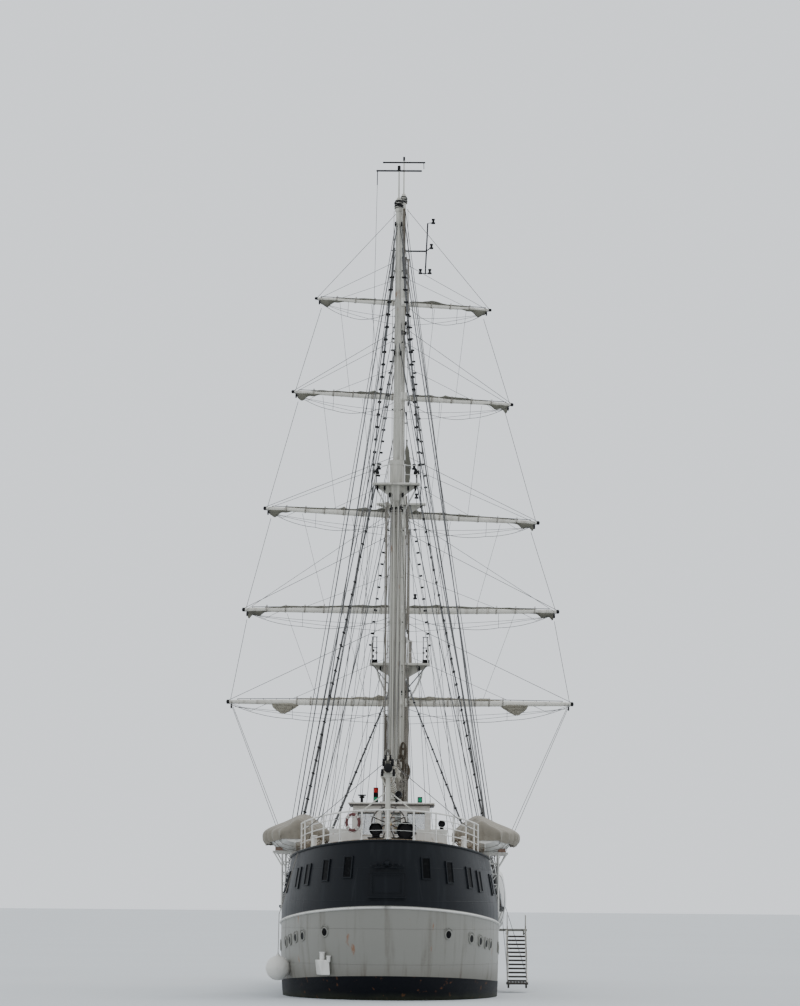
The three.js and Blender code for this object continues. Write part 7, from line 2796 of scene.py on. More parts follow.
@dataclass(frozen=True)
class MastTrim:
    """What is fixed to a mast: bands, rails, halyards, hanks, sleeves, lashings and lamps."""

    label: str
    mast_y: float
    deck_z: float
    # height and radius
    bands: tuple[Pair, ...]
    leads: tuple[Lead, ...]
    ropes: tuple[Lead, ...]
    # x and y from the mast, height and half its length
    hanks: tuple[tuple[float, float, float, float], ...]
    sleeves: tuple[Lead, ...]
    # x and y from the mast, and height
    lamps: tuple[Triple, ...]
    # lower end, upper end and radius of each lashing round the mast
    wraps: tuple[Triple, ...]

    def hank(self, shape: Shape, centre: Vector, drop: float, rng: random.Random) -> None:
        """Add one hank of rope that hangs from its own turns."""
        for k in range(5):
            wide, tall = 0.07 + 0.018 * k, drop * (0.78 + 0.055 * k)
            lean, depth = rng.uniform(-0.03, 0.03), rng.uniform(-0.02, 0.03)
            loop = [
                centre + Vector(
                    (wide * math.cos(a) + lean * math.sin(a), depth - 0.012 * k, tall * math.sin(a) - tall)
                )
                for a in full_turn(16)
            ]
            shape.tube(loop, 0.019, 6, loop=True)
        for up in (0.0, 0.03, 0.06):
            ring = [
                centre + Vector((0.085 * math.cos(a), -0.01 + 0.05 * math.sin(a), up - 0.30))
                for a in full_turn(10)
            ]
            shape.tube(ring, 0.017, 6, loop=True)

    def build(self) -> None:
        """Make the mast's fittings."""
        white, black, rope = Shape(), Shape(), Shape()
        for z, radius in self.bands:
            profile = [(radius, -0.05), (radius + 0.018, -0.045), (radius + 0.018, 0.045), (radius, 0.05)]
            white.turned(profile, (0, self.mast_y, z), UP, 24)
            for side in (-1, 1):
                black.ball((side * (radius + 0.05), self.mast_y, z), 0.035, 8)
        collar = [(0.45, 0.0), (0.45, 0.05), (0.40, 0.09), (0.34, 0.12)]
        white.turned([(r, up + 0.35) for r, up in collar], (0, self.mast_y, self.deck_z), UP, 28)
        for lead in self.leads:
            start, end = (Vector((lead.x, self.mast_y + lead.y, z)) for z in (lead.low, lead.high))
            white.tube([start, end], lead.radius, 8)
            z = lead.low + 0.4
            while z < lead.high:
                inner = Vector((lead.x * 0.55, self.mast_y + lead.y * 0.55, z))
                white.tube([inner, Vector((lead.x, self.mast_y + lead.y, z))], lead.radius * 0.6, 6)
                z += 1.35
        rng = random.Random(len(self.label))
        for lead in self.ropes:
            shake = rng.uniform(-0.04, 0.04)
            points = [
                Vector((
                    lead.x + shake * math.sin(math.pi * k / 8), self.mast_y + lead.y,
                    mix(lead.low, lead.high, k / 8),
                )) for k in range(9)
            ]
            rope.tube(points, lead.radius, 6)
        for x, y, z in self.lamps:
            centre = Vector((x, self.mast_y + y, z))
            spool = [
                (0.0, -0.13), (0.095, -0.13), (0.095, -0.06), (0.055, -0.045), (0.055, 0.03), (0.08, 0.045),
                (0.08, 0.11), (0.0, 0.125)
            ]
            black.turned(spool, centre, UP, 14)
        for z_low, z_high, radius in self.wraps:
            z = z_low
            while z < z_high:
                tilt, turn = rng.uniform(-0.05, 0.05), rng.uniform(0, 6.28)
                loop = [
                    Vector((
                        radius * math.cos(a), self.mast_y + radius * math.sin(a),
                        z + tilt * math.sin(a + turn)
                    ))
                    for a in full_turn(14)
                ]
                black.tube(loop, rng.uniform(0.016, 0.030), 6, loop=True)
                z += 0.05
        make_piece(f"{self.label}_bands", white, MAST, Slot.SPAR_PAINT)
        make_piece(f"{self.label}_lamps", black, BLACK, Slot.BLACK_PAINT)
        make_piece(f"{self.label}_halyards", rope, ROPE_PALE, Slot.WIRE)
        for shade_name, finish, spots in (
            ("pale", ROPE_PALE, self.hanks[::2]), ("dark", ROPE_BROWN, self.hanks[1::2])
        ):
            hanks = Shape()
            for x, y, z, drop in spots:
                self.hank(hanks, Vector((x, self.mast_y + y, z)), drop, rng)
            make_piece(f"{self.label}_{shade_name}_hanks", hanks, finish, Slot.WIRE)
        sleeves = Shape()
        for lead in self.sleeves:
            points = [Vector((lead.x, self.mast_y + lead.y, z)) for z in spread(lead.low, lead.high, 10)]
            sizes = [
                lead.radius * (0.75 + 0.25 * math.sin(math.pi * k / 10) + rng.uniform(-0.08, 0.08))
                for k in range(11)
            ]
            sleeves.tube(points, sizes, 10)
        make_piece(f"{self.label}_sleeves", sleeves, ROPE_BROWN, Slot.WIRE)


FORE_TRIM = MastTrim(
    "foremast", FOREMAST_Y, 2.6,
    bands=(
        (4.6, 0.272), (7.4, 0.27), (10.2, 0.267), (16.4, 0.20), (18.8, 0.192), (24.2, 0.144), (26.0, 0.139),
        (29.6, 0.128), (34.2, 0.112),
    ),
    leads=(
        Lead(0.0, -0.36, 4.2, 13.9, 0.03), Lead(0.20, -0.30, 4.2, 13.9, 0.022),
        Lead(0.0, -0.28, 16.4, 21.4, 0.024)
    ),
    ropes=(
        Lead(-0.34, 0.1, 3.6, 14.2, 0.014), Lead(0.36, -0.1, 3.6, 14.2, 0.016),
        Lead(0.40, 0.08, 3.6, 14.2, 0.012),
        Lead(-0.42, -0.15, 3.6, 14.3, 0.012), Lead(0.28, -0.05, 16.3, 21.9, 0.014),
        Lead(-0.26, 0.05, 16.3, 21.9, 0.012),
        Lead(0.2, 0.0, 23.6, 36.2, 0.011), Lead(-0.19, 0.0, 23.6, 36.2, 0.011),
        Lead(0.39, 0.0, 3.6, 21.0, 0.034),
        Lead(0.31, -0.08, 3.6, 13.9, 0.05), Lead(0.33, 0.05, 3.7, 14.1, 0.03),
        Lead(0.24, -0.05, 30.2, 33.8, 0.05),
        Lead(0.46, -0.06, 14.7, 15.8, 0.11), Lead(0.30, 0.04, 16.2, 21.7, 0.03),
    ),
    hanks=(
        (0.27, -0.26, 8.9, 0.42), (0.20, -0.28, 7.6, 0.36), (-0.24, -0.24, 8.3, 0.38),
        (0.36, -0.18, 10.1, 0.4)
    ),
    sleeves=(Lead(0.03, -0.10, 33.3, 36.2, 0.065), Lead(0.12, -0.02, 31.2, 33.9, 0.05)),
    lamps=(
        (1.40, 0.0, 35.62), (1.32, 0.0, 34.42), (0.81, 0.0, 33.22), (1.25, 0.0, 33.22), (0.68, -0.2, 17.84),
        (0.71, -0.2, 22.55), (0.0, 0.62, 15.2),
    ),
    wraps=(
        (36.50, 36.71, 0.162), (36.76, 36.80, 0.132), (21.2, 21.35, 0.23), (13.3, 13.5, 0.30),
        (30.2, 30.4, 0.15)
    ),
)
MAIN_TRIM = MastTrim(
    "mainmast", MAINMAST_Y, 2.5,
    bands=(
        (4.4, 0.272), (7.6, 0.27), (11.5, 0.267), (15.5, 0.263), (19.4, 0.26), (24.6, 0.16), (27.5, 0.15),
        (30.6, 0.135)
    ),
    leads=(
        Lead(-0.09, -0.36, 8.9, 20.4, 0.028), Lead(0.09, -0.36, 8.9, 20.4, 0.028),
        Lead(0.36, -0.12, 6.2, 20.2, 0.034),
        Lead(0.0, -0.25, 22.9, 33.0, 0.022),
    ),
    ropes=(
        Lead(-0.37, -0.1, 3.6, 20.9, 0.020), Lead(-0.33, 0.1, 3.6, 20.9, 0.014),
        Lead(0.46, -0.18, 3.6, 20.9, 0.016),
        Lead(0.52, 0.0, 3.6, 20.9, 0.014), Lead(0.43, 0.12, 3.6, 20.9, 0.020),
        Lead(-0.46, 0.02, 3.6, 20.9, 0.013),
        Lead(0.22, 0.0, 22.6, 33.2, 0.012), Lead(-0.2, 0.0, 22.6, 33.2, 0.012),
        Lead(-0.15, -0.30, 3.4, 20.3, 0.014),
        Lead(0.02, -0.34, 8.9, 20.3, 0.012), Lead(0.19, -0.28, 3.4, 20.3, 0.014),
        Lead(-0.42, -0.2, 3.4, 20.6, 0.026),
    ),
    hanks=(
        (0.14, -0.33, 9.7, 0.40), (0.30, -0.28, 9.9, 0.40), (-0.28, -0.24, 10.1, 0.42),
        (0.38, -0.20, 10.4, 0.40),
        (0.24, -0.31, 8.9, 0.36), (-0.34, -0.16, 9.3, 0.38), (0.36, -0.24, 9.1, 0.34),
        (0.30, -0.26, 8.1, 0.3),
    ),
    sleeves=(Lead(-0.36, -0.16, 8.7, 11.6, 0.055), Lead(0.40, -0.10, 6.4, 9.2, 0.06)),
    lamps=((0.75, -0.3, 22.1), (-0.75, -0.3, 22.1)),
    wraps=((33.34, 33.60, 0.182), (33.65, 33.69, 0.142), (20.2, 20.4, 0.28)),
)


@dataclass(frozen=True)
class Platforms:
    """Stanchions, rails, gratings and stowed gear on the fore top and the crosstrees."""

    def rail(self, shape: Shape, corners: Sequence[Point], height: float) -> None:
        """Add stanchions at the corners with a rope rail between them."""
        for corner in corners:
            top = Vector(corner) + Vector((0, 0, height))
            shape.tube([corner, top], 0.022, 8)
            shape.ball(top, 0.035, 8)
        tops = [Vector(corner) + Vector((0, 0, height)) for corner in corners]
        for start, end in zip(tops, tops[1:]):
            shape.tube(sagging(start, end, 0.03, 6), 0.014, 6)
            low = Vector((0, 0, -height * 0.5))
            shape.tube(sagging(start + low, end + low, 0.03, 6), 0.011, 6)

    def build(self) -> None:
        """Make what stands on the platforms."""
        rails, black, bundle = Shape(), Shape(), Shape()
        fore, aft = FOREMAST_Y, MAINMAST_Y
        self.rail(rails, ((-1.3, 9.7, 14.66), (-1.3, 8.2, 14.66), (-0.4, 8.15, 14.66)), 1.05)
        self.rail(rails, ((0.4, 8.15, 14.66), (1.3, 8.2, 14.66), (1.3, 9.7, 14.66)), 1.05)
        self.rail(rails, ((-0.9, -5.45, 21.36), (-0.35, -5.5, 21.36)), 0.8)
        self.rail(rails, ((0.35, -5.5, 21.36), (0.9, -5.45, 21.36)), 0.8)
        for side in (-1, 1):
            for x in (1.08, 1.28):
                black.tube([(side * x, 8.85, 14.66), (side * x, 8.85, 15.95)], 0.02, 6)
            for z in (15.45, 15.95):
                black.tube([(side * 1.04, 8.85, z), (side * 1.32, 8.85, z)], 0.022, 6)
            black.ball((side * 1.25, 8.85, 15.32), 0.075, 10)
            black.ball((side * 1.09, 8.85, 15.22), 0.06, 10)
            black.turned(
                [(0.0, -0.09), (0.06, -0.07), (0.07, 0.05), (0.0, 0.10)], (side * 1.27, 8.85, 15.05), UP, 12
            )
            black.block((side * 1.21 - 0.17, 8.72, 14.665), (side * 1.21 + 0.17, 8.98, 14.90))
            for k in range(5):
                black.tube(
                    [
                        (side * 1.21 - 0.16, 8.70, 14.70 + 0.045 * k),
                        (side * 1.21 + 0.16, 8.70, 14.70 + 0.045 * k)
                    ],
                    0.012, 5
                )
        for x in (-0.85, 0.85):
            black.turned(
                [(0.0, 0.0), (0.10, 0.02), (0.13, 0.16), (0.12, 0.18), (0.0, 0.15)], (x, -5.35, 21.95),
                (0, -0.4, -1), 14
            )
            black.tube([(x, -5.35, 21.36), (x, -5.35, 22.0)], 0.02, 6)
        knob = [(0.0, -0.03), (0.03, -0.03), (0.045, 0.0), (0.03, 0.05), (0.0, 0.06)]
        for reach, y, z in ((0.95, FOREMAST_Y, 38.43), (0.93, MAINMAST_Y, 34.97)):
            for x in (-reach, reach):
                black.turned(knob, (x, y, z), (x, 0, 0), 10)
        black.tube([(0.93, fore, 38.43), (0.94, fore, 38.12)], 0.016, 6)
        black.tube([(-0.93, aft, 34.97), (-0.935, aft, 34.35)], 0.020, 6)
        black.tube([(-0.96, fore, 38.43), (0.96, fore, 38.43)], 0.040, 8)
        black.tube([(-0.94, aft, 34.97), (0.94, aft, 34.97)], 0.040, 8)
        black.turned([(0.0, -0.1), (0.05, -0.09), (0.05, 0.1), (0.0, 0.12)], (0, fore, 38.6), UP, 10)
        black.turned([(0.0, -0.1), (0.07, -0.09), (0.07, 0.08), (0.0, 0.12)], (0, aft, 35.1), UP, 10)
        black.tube([(0.05, fore, 34.18), (1.10, fore, 34.18)], 0.040, 8)
        black.tube([(1.04, fore, 33.08), (1.14, fore, 35.52), (1.36, fore, 35.54)], 0.034, 8)
        black.tube([(1.10, fore, 34.2), (1.30, fore, 34.36)], 0.026, 6)
        black.tube([(0.80, fore, 33.12), (1.26, fore, 33.12)], 0.022, 6)
        black.tube([(-0.02, aft, 31.49), (-0.32, aft, 31.49)], 0.02, 6)
        for side in (-1, 1):
            rails.tube(
                [
                    (side * 0.30, fore, 12.9), (side * 0.7, fore, 13.5), (side * 0.98, fore, 14.1),
                    (side * 1.08, fore, 14.58)
                ],
                0.045, 8
            )
            rails.tube([(side * 0.22, aft, 20.0), (side * 0.88, aft, 21.28)], 0.035, 8)
        path, sizes = [], []
        for k in range(25):
            share = k / 24
            path.append(Vector((0.27 + 0.03 * math.sin(5 * share), 8.86, mix(23.15, 25.2, share))))
            swell = 0.35 + 0.75 * math.sin(math.pi * min(share + 0.12, 1.0)) + 0.12 * math.sin(19 * share)
            sizes.append(0.13 * swell)
        bundle.tube(path, sizes, 14)
        make_piece("platform_rails", rails, WHITE_STEEL, Slot.WHITE_STEEL)
        make_piece("platform_gear", black, BLACK, Slot.BLACK_PAINT)
        piece = make_piece("stowed_staysail", bundle, SAIL, Slot.SAILCLOTH, crease=60)


# Overside gear


@dataclass(frozen=True)
class Overside:
    """Fittings of the boarding ladder, the tender stowed on edge and the ball fender."""

    ladder_x: Pair = (4.8, 5.66)
    ladder_top: Pair = (-1.1, 2.58)
    ladder_foot: Pair = (-4.6, 0.5)
    treads: int = 12
    fender: Triple = (-4.312, -14.664, 1.12)
    fender_radius: float = 0.48

    def ladder_z(self, y: float) -> float:
        """Height of the ladder's sides at a place along the ship."""
        (top_y, top_z), (foot_y, foot_z) = self.ladder_top, self.ladder_foot
        return mix(foot_z, top_z, (y - foot_y) / (top_y - foot_y))

    def ladder(self) -> None:
        """Stanchions and hand ropes, tread gratings, the foot platform and the hoisting falls."""
        low_x, high_x = self.ladder_x
        white, dark, rope = Shape(), Shape(), Shape()
        post = Vector((0, -0.18, 0.86))
        for x in (low_x + 0.05, high_x - 0.025):
            tops = []
            for k, y in enumerate(spread(-1.45, -4.4, 4)):
                foot = Vector((x, y, self.ladder_z(y) - 0.02))
                top = foot + post
                white.tube([foot, top], 0.030 if k == 0 and x > low_x + 0.1 else 0.018, 8)
                white.ball(top, 0.027, 8)
                tops.append(top)
            for start, end in zip(tops, tops[1:]):
                rope.tube(sagging(start, end, 0.045, 6), 0.013, 6)
                lower_start, lower_end = between(start, start - post, 0.5), between(end, end - post, 0.5)
                rope.tube(sagging(lower_start, lower_end, 0.035, 6), 0.010, 6)
        rise = (self.ladder_top[1] - self.ladder_foot[1]) / (self.ladder_top[0] - self.ladder_foot[0])
        for k in range(self.treads):
            y = mix(self.ladder_top[0] - 0.34, self.ladder_foot[0] + 0.1, k / (self.treads - 1))
            z = self.ladder_foot[1] - 0.08 + rise * (y - self.ladder_foot[0]) + 0.02
            dark.block((low_x + 0.045, y - 0.125, z - 0.055), (high_x - 0.045, y - 0.105, z + 0.02))
            for step in (-0.08, -0.04, 0.0, 0.04, 0.08):
                dark.block(
                    (low_x + 0.045, y + step - 0.014, z), (high_x - 0.045, y + step + 0.014, z + 0.022)
                )
        for x in (low_x + 0.03, high_x):
            for lower in (0.0, 0.17):
                ends = [Vector((x, y, self.ladder_z(y) - lower)) for y in (-1.32, -4.55)]
                white.tube(ends, 0.030, 8)
        dark.block((low_x - 0.03, -5.12, 0.338), (high_x + 0.03, -4.56, 0.428))
        for x in spread(low_x + 0.04, high_x - 0.04, 6):
            dark.block((x - 0.03, -5.10, 0.425), (x + 0.03, -4.58, 0.445))
        for x in (low_x + 0.06, high_x - 0.06):
            dark.block((x - 0.04, -5.06, 0.19), (x + 0.04, -4.94, 0.345))
        make_piece("ladder_stanchions", white, WHITE_STEEL, Slot.WHITE_STEEL, Body.LADDER)
        make_piece("ladder_gratings", dark, TREAD, Slot.WHITE_STEEL, Body.LADDER)
        make_piece("ladder_hand_ropes", rope, ROPE_PALE, Slot.WIRE, Body.LADDER)
        falls = Shape()
        for x in (low_x + 0.03, high_x - 0.03):
            start, end = Vector((x, -4.2, self.ladder_z(-4.2))), Vector((4.5, -3.4, 4.35))
            falls.tube(line_points(start, end, 12), 0.012, 5)
        piece = make_piece("ladder_falls", falls, ROPE_DARK, Slot.WIRE, None)
        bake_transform(piece)

    def tender(self) -> None:
        """The open plastic boat on edge, with its rubbing strake, thwarts and lashings."""
        # place along the boat, share of its height and share of its bulge
        stations = (
            (0.0, 0.42, 0.20), (0.06, 0.64, 0.50), (0.15, 0.82, 0.75), (0.45, 1.0, 1.0), (0.75, 0.9, 0.85),
            (0.92, 0.6, 0.5), (1.0, 0.28, 0.15)
        )
        middle_z, half_z, flat, bulge, face = 3.88, 1.26, 0.12, 0.45, 4.2
        outer_rings, rim = [], [[], []]
        shape = Shape()
        for k in range(33):
            tall, swell = curve(stations, k / 32)
            y = mix(-4.85, -1.75, k / 32)
            reach = flat + bulge * swell
            ring = []
            for inset in (0.0, 0.05):
                arc = []
                for j in range(17):
                    a = math.pi * (j / 16 - 0.5)
                    out = abs(math.cos(a)) ** 0.55
                    ridge = 0.015 * math.cos(6 * a) if not inset else 0.0
                    up = (half_z * tall - inset) * math.sin(a)
                    arc.append(Vector((face + max((reach - inset) * out + ridge, 0.0), y, middle_z + up)))
                ring.extend(arc if not inset else reversed(arc))
            outer_rings.append(ring)
            rim[0].append(ring[0] + Vector((0.02, 0, 0)))
            rim[1].append(ring[16] + Vector((0.02, 0, 0)))
        shape.rings(outer_rings)
        piece = make_piece("tender_shell", shape, PLASTIC, Slot.TENDER_PLASTIC)
        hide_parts("tender")
        strake = Shape()
        strake.tube(rim[0] + list(reversed(rim[1])), 0.045, 10, loop=True)
        for y in (-4.0, -3.3, -2.5):
            strake.block((face + 0.02, y - 0.11, 2.85), (face + 0.05, y + 0.11, 4.9))
        for y in (-4.3, -2.2):
            tall, swell = curve(stations, (y + 4.85) / 3.1)
            lashing = []
            for j in range(17):
                a = math.pi * (j / 16 - 0.5)
                out = (flat + bulge * swell + 0.022) * abs(math.cos(a)) ** 0.55
                lashing.append((face + out, y, middle_z + (half_z * tall + 0.02) * math.sin(a)))
            strake.tube(lashing, 0.012, 5)
        make_piece("tender_strake", strake, GALVANISED, Slot.TENDER_PLASTIC)

    def ball_fender(self) -> None:
        """A ribbed ball with its eye and the lanyard up to the rail."""
        x, y, z = self.fender
        shape = Shape()
        profile = []
        for k in range(19):
            a = math.pi * k / 18
            bump = 1 + 0.006 * math.sin(9 * a)
            profile.append((self.fender_radius * math.sin(a) * bump, -self.fender_radius * math.cos(a)))
        shape.turned(
            profile[:-2] + [(0.09, 0.47), (0.075, 0.50), (0.07, 0.53), (0.0, 0.54)], (x, y, z), UP, 28
        )
        piece = make_piece("ball_fender_body", shape, VINYL, Slot.FENDER_VINYL)
        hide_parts("ball_fender")
        rope = Shape()
        eye = [Vector((x, y + 0.06 * math.cos(a), z + 0.57 + 0.06 * math.sin(a))) for a in full_turn(12)]
        rope.tube(eye, 0.018, 6, loop=True)
        top_z = poop_at(y)
        rope.tube(
            [
                (x, y, z + 0.6), (x + 0.02, y, 3.2), (-half_breadth(y, top_z) - 0.03, y, top_z),
                (-half_breadth(y, top_z) + 0.1, y, top_z + 0.08)
            ],
            0.014, 6
        )
        make_piece("fender_lanyard", rope, ROPE_PALE, Slot.FENDER_VINYL)

    def build(self) -> None:
        """Make the gear over the side."""
        self.ladder()
        self.tender()
        self.ball_fender()


def build_masts() -> None:
    """Make the masts' fittings, the boom's and the gear over the side."""
    FORE_TRIM.build()
    MAIN_TRIM.build()
    Platforms().build()
    MainBoom().build()
    Overside().build()


# Deck and bow gear


def pin_at(shape: Shape, point: Vector) -> None:
    """Add a turned belaying pin through a rail."""
    profile = [
        (0.0, -0.2), (0.014, -0.19), (0.018, 0.03), (0.028, 0.06), (0.030, 0.12), (0.020, 0.17), (0.0, 0.19)
    ]
    shape.turned(profile, point, UP, 8)


def coil_at(shape: Shape, point: Vector, outward: Vector, seed: int) -> None:
    """Add a coil of rope hung from a belaying pin.

    Args:
        shape: what it is added to.
        point: the middle of the pin.
        outward: level direction to the side that it hangs on.
        seed: what its random sizes are drawn from.
    """
    rng = random.Random(seed)
    sideways = outward.cross(Vector(UP)).normalized()
    for _ in range(3):
        wide, tall, shift = rng.uniform(0.08, 0.11), rng.uniform(0.20, 0.27), rng.uniform(-0.02, 0.02)
        loop = []
        for a in full_turn(14):
            drop = Vector((0, 0, tall * math.sin(a) - tall + 0.10))
            away = outward * (0.045 + rng.uniform(0, 0.012))
            loop.append(point + sideways * (wide * math.cos(a) + shift) + away + drop)
        shape.tube(loop, 0.012, 5, loop=True)


@dataclass(frozen=True)
class DeckGear:
    """Rails with belaying pins, the hatch, bollards, deckhouse fronts, steps and vents."""

    pin_rails: tuple[Pair, ...] = ((3.4, 8.8), (-7.6, -4.5))
    # half breadth, aft end, fore end and top
    hatch: tuple[float, float, float, float] = (1.3, 1.2, 4.6, 3.15)

    def rail_x(self, y: float) -> float:
        """How far out the inner face of the bulwark is."""
        return half_breadth(y, deck_at(y) + 0.9) - 0.13

    def pin_racks(self) -> None:
        """A rail along each bulwark by the shrouds, with pins and coils."""
        wood, pins, rope = Shape(), Shape(), Shape()
        for index, (low_y, high_y) in enumerate(self.pin_rails):
            for side in (-1, 1):
                rings = []
                for y in spread(low_y, high_y, 8):
                    x, z = self.rail_x(y), deck_at(y) + 0.84
                    rings.append([
                        mirrored(p, side)
                        for p in ((x - 0.20, y, z), (x, y, z), (x, y, z + 0.06), (x - 0.20, y, z + 0.06))
                    ])
                wood.rings(rings)
                count = int((high_y - low_y) / 0.36)
                for k in range(count):
                    y = low_y + 0.2 + 0.36 * k
                    point = mirrored((self.rail_x(y) - 0.11, y, deck_at(y) + 0.90), side)
                    pin_at(pins, point)
                    if k % 3 != 1:
                        coil_at(rope, point, Vector((-side, 0, 0)), 7 * k + index)
        for mast_y in (FOREMAST_Y, MAINMAST_Y):
            z = deck_at(mast_y) + 0.95
            for x in (-0.85, 0.85):
                for y in (mast_y - 0.75, mast_y + 0.75):
                    wood.block((x - 0.06, y - 0.06, deck_at(y) + 0.05), (x + 0.06, y + 0.06, z + 0.12))
                wood.block((x - 0.09, mast_y - 0.85, z), (x + 0.09, mast_y + 0.85, z + 0.06))
                for k in range(5):
                    point = Vector((x, mast_y - 0.5 + 0.25 * k, z + 0.06))
                    pin_at(pins, point)
                    coil_at(rope, point, Vector((math.copysign(1, x), 0, 0)), 31 + k)
            wood.block((-0.85, mast_y - 0.84, z), (0.85, mast_y - 0.68, z + 0.06))
            for k in range(4):
                point = Vector((-0.5 + 0.33 * k, mast_y - 0.76, z + 0.06))
                pin_at(pins, point)
                coil_at(rope, point, Vector((0, -1, 0)), 47 + k)
        make_piece("pin_rails", wood, VARNISH, Slot.VARNISH, bevel=0.008)
        make_piece("belaying_pins", pins, BRONZE, Slot.BRONZE)
        make_piece("pin_coils", rope, ROPE_PALE, Slot.WIRE)

    def hatches(self) -> None:
        """Planked leaves, battens and wedges on the main hatch, and a skylight on the poop."""
        half, aft, fore, top = self.hatch
        wood, white, glass = Shape(), Shape(), Shape()
        for k in range(10):
            low = mix(-half + 0.04, half - 0.04, k / 10)
            high = mix(-half + 0.04, half - 0.04, (k + 1) / 10)
            wood.block((low + 0.006, aft + 0.04, top - 0.002), (high - 0.006, fore - 0.04, top + 0.045))
        for y in (aft + 0.45, (aft + fore) / 2, fore - 0.45):
            white.block((-half - 0.03, y - 0.035, top + 0.045), (half + 0.03, y + 0.035, top + 0.075))
        for side in (-1, 1):
            low, high = sorted((side * half, side * (half + 0.045)))
            white.block((low, aft - 0.045, top - 0.09), (high, fore + 0.045, top + 0.005))
            for y in spread(aft + 0.2, fore - 0.2, 6):
                white.block(
                    (side * (half + 0.06) - 0.02, y - 0.03, top - 0.2),
                    (side * (half + 0.06) + 0.02, y + 0.03, top - 0.02)
                )
        for y in (aft, fore):
            white.block(
                (-half - 0.045, y - 0.045 if y == aft else y, top - 0.09),
                (half + 0.045, y if y == aft else y + 0.045, top + 0.005)
            )
        base = poop_at(-12.9)
        wood.block((-0.75, -13.6, base - 0.02), (0.75, -12.3, base + 0.22))
        for side in (-1, 1):
            edge, ridge, low, high = side * 0.72, side * 0.04, base + 0.22, base + 0.50
            outline = [
                (edge, -13.55, low), (ridge, -13.55, high), (ridge, -13.55, high + 0.03),
                (edge, -13.55, low + 0.03)
            ]
            glass.plate([Vector(p) for p in outline], (0, 1.2, 0))
            for y in spread(-13.57, -12.37, 4):
                wood.tube([(edge, y, low + 0.03), (ridge, y, high + 0.035)], 0.026, 4)
            wood.tube([(edge, -13.57, low + 0.02), (edge, -12.33, low + 0.02)], 0.035, 4)
            for y in spread(-13.5, -12.4, 10):
                white.tube([(edge * 0.96, y, low + 0.07), (ridge, y, high + 0.075)], 0.007, 5)
        wood.tube([(0, -13.6, base + 0.54), (0, -12.3, base + 0.54)], 0.045, 8)
        for y in (-13.58, -12.32):
            wood.plate(
                [Vector(p) for p in ((-0.72, y, base + 0.2), (0.72, y, base + 0.2), (0, y, base + 0.53))],
                (0, 0.03, 0)
            )
        make_piece("hatch_and_skylight_wood", wood, VARNISH, Slot.VARNISH, bevel=0.005)
        make_piece("hatch_bars", white, WHITE_STEEL, Slot.WHITE_STEEL, bevel=0.004)
        make_piece("skylight_panes", glass, PANE, Slot.BLACK_PAINT)

    def bollards(self) -> None:
        """Pairs of bollards on their bases with their caps and a bar at each pair, and two mushroom vents."""
        shape = Shape()
        places = ((2.9, -15.6, 2), (3.75, -3.3, 0), (3.75, 2.3, 0), (2.75, 13.2, 1), (1.75, 16.4, 1))
        for x, y, level in places:
            base = (deck_at(y) + DECK_PLANK, deck_at(y) + FORECASTLE_HEIGHT, poop_at(y))[level]
            for side in (-1, 1):
                shape.block(
                    (side * x - 0.13, y - 0.36, base - 0.02), (side * x + 0.13, y + 0.36, base + 0.03)
                )
                for step in (-0.2, 0.2):
                    profile = [
                        (0.10, 0.0), (0.085, 0.05), (0.085, 0.36), (0.115, 0.38), (0.12, 0.42), (0.10, 0.45),
                        (0.0, 0.46)
                    ]
                    shape.turned(profile, (side * x, y + step, base + 0.02), UP, 18)
                shape.tube([(side * x - 0.16, y, base + 0.25), (side * x + 0.16, y, base + 0.25)], 0.02, 6)
        for x, y in ((1.4, 6.2), (-1.5, -1.4)):
            base = deck_at(y) + DECK_PLANK
            shape.turned(
                [(0.20, 0.0), (0.20, 0.04), (0.15, 0.06), (0.15, 0.85), (0.17, 0.9)], (x, y, base), UP, 22
            )
            shape.turned(
                [(0.0, 0.86), (0.16, 0.87), (0.33, 0.93), (0.33, 0.98), (0.22, 1.06), (0.0, 1.09)],
                (x, y, base), UP, 26
            )
        make_piece("bollards_and_vents", shape, WHITE_STEEL, Slot.WHITE_STEEL)

    def porthole(self, panes: Shape, rims: Shape, pane: Point, rim: Point, out: int) -> None:
        """Add a round pane and its rim that face along the ship, each at its own centre."""
        panes.turned([(0.0, 0.0), (0.13, 0.0), (0.13, 0.02), (0.0, 0.025)], pane, (0, out, 0), 18)
        rims.turned([(0.13, 0.0), (0.18, 0.0), (0.18, 0.03), (0.13, 0.035)], rim, (0, out, 0), 18, loop=True)

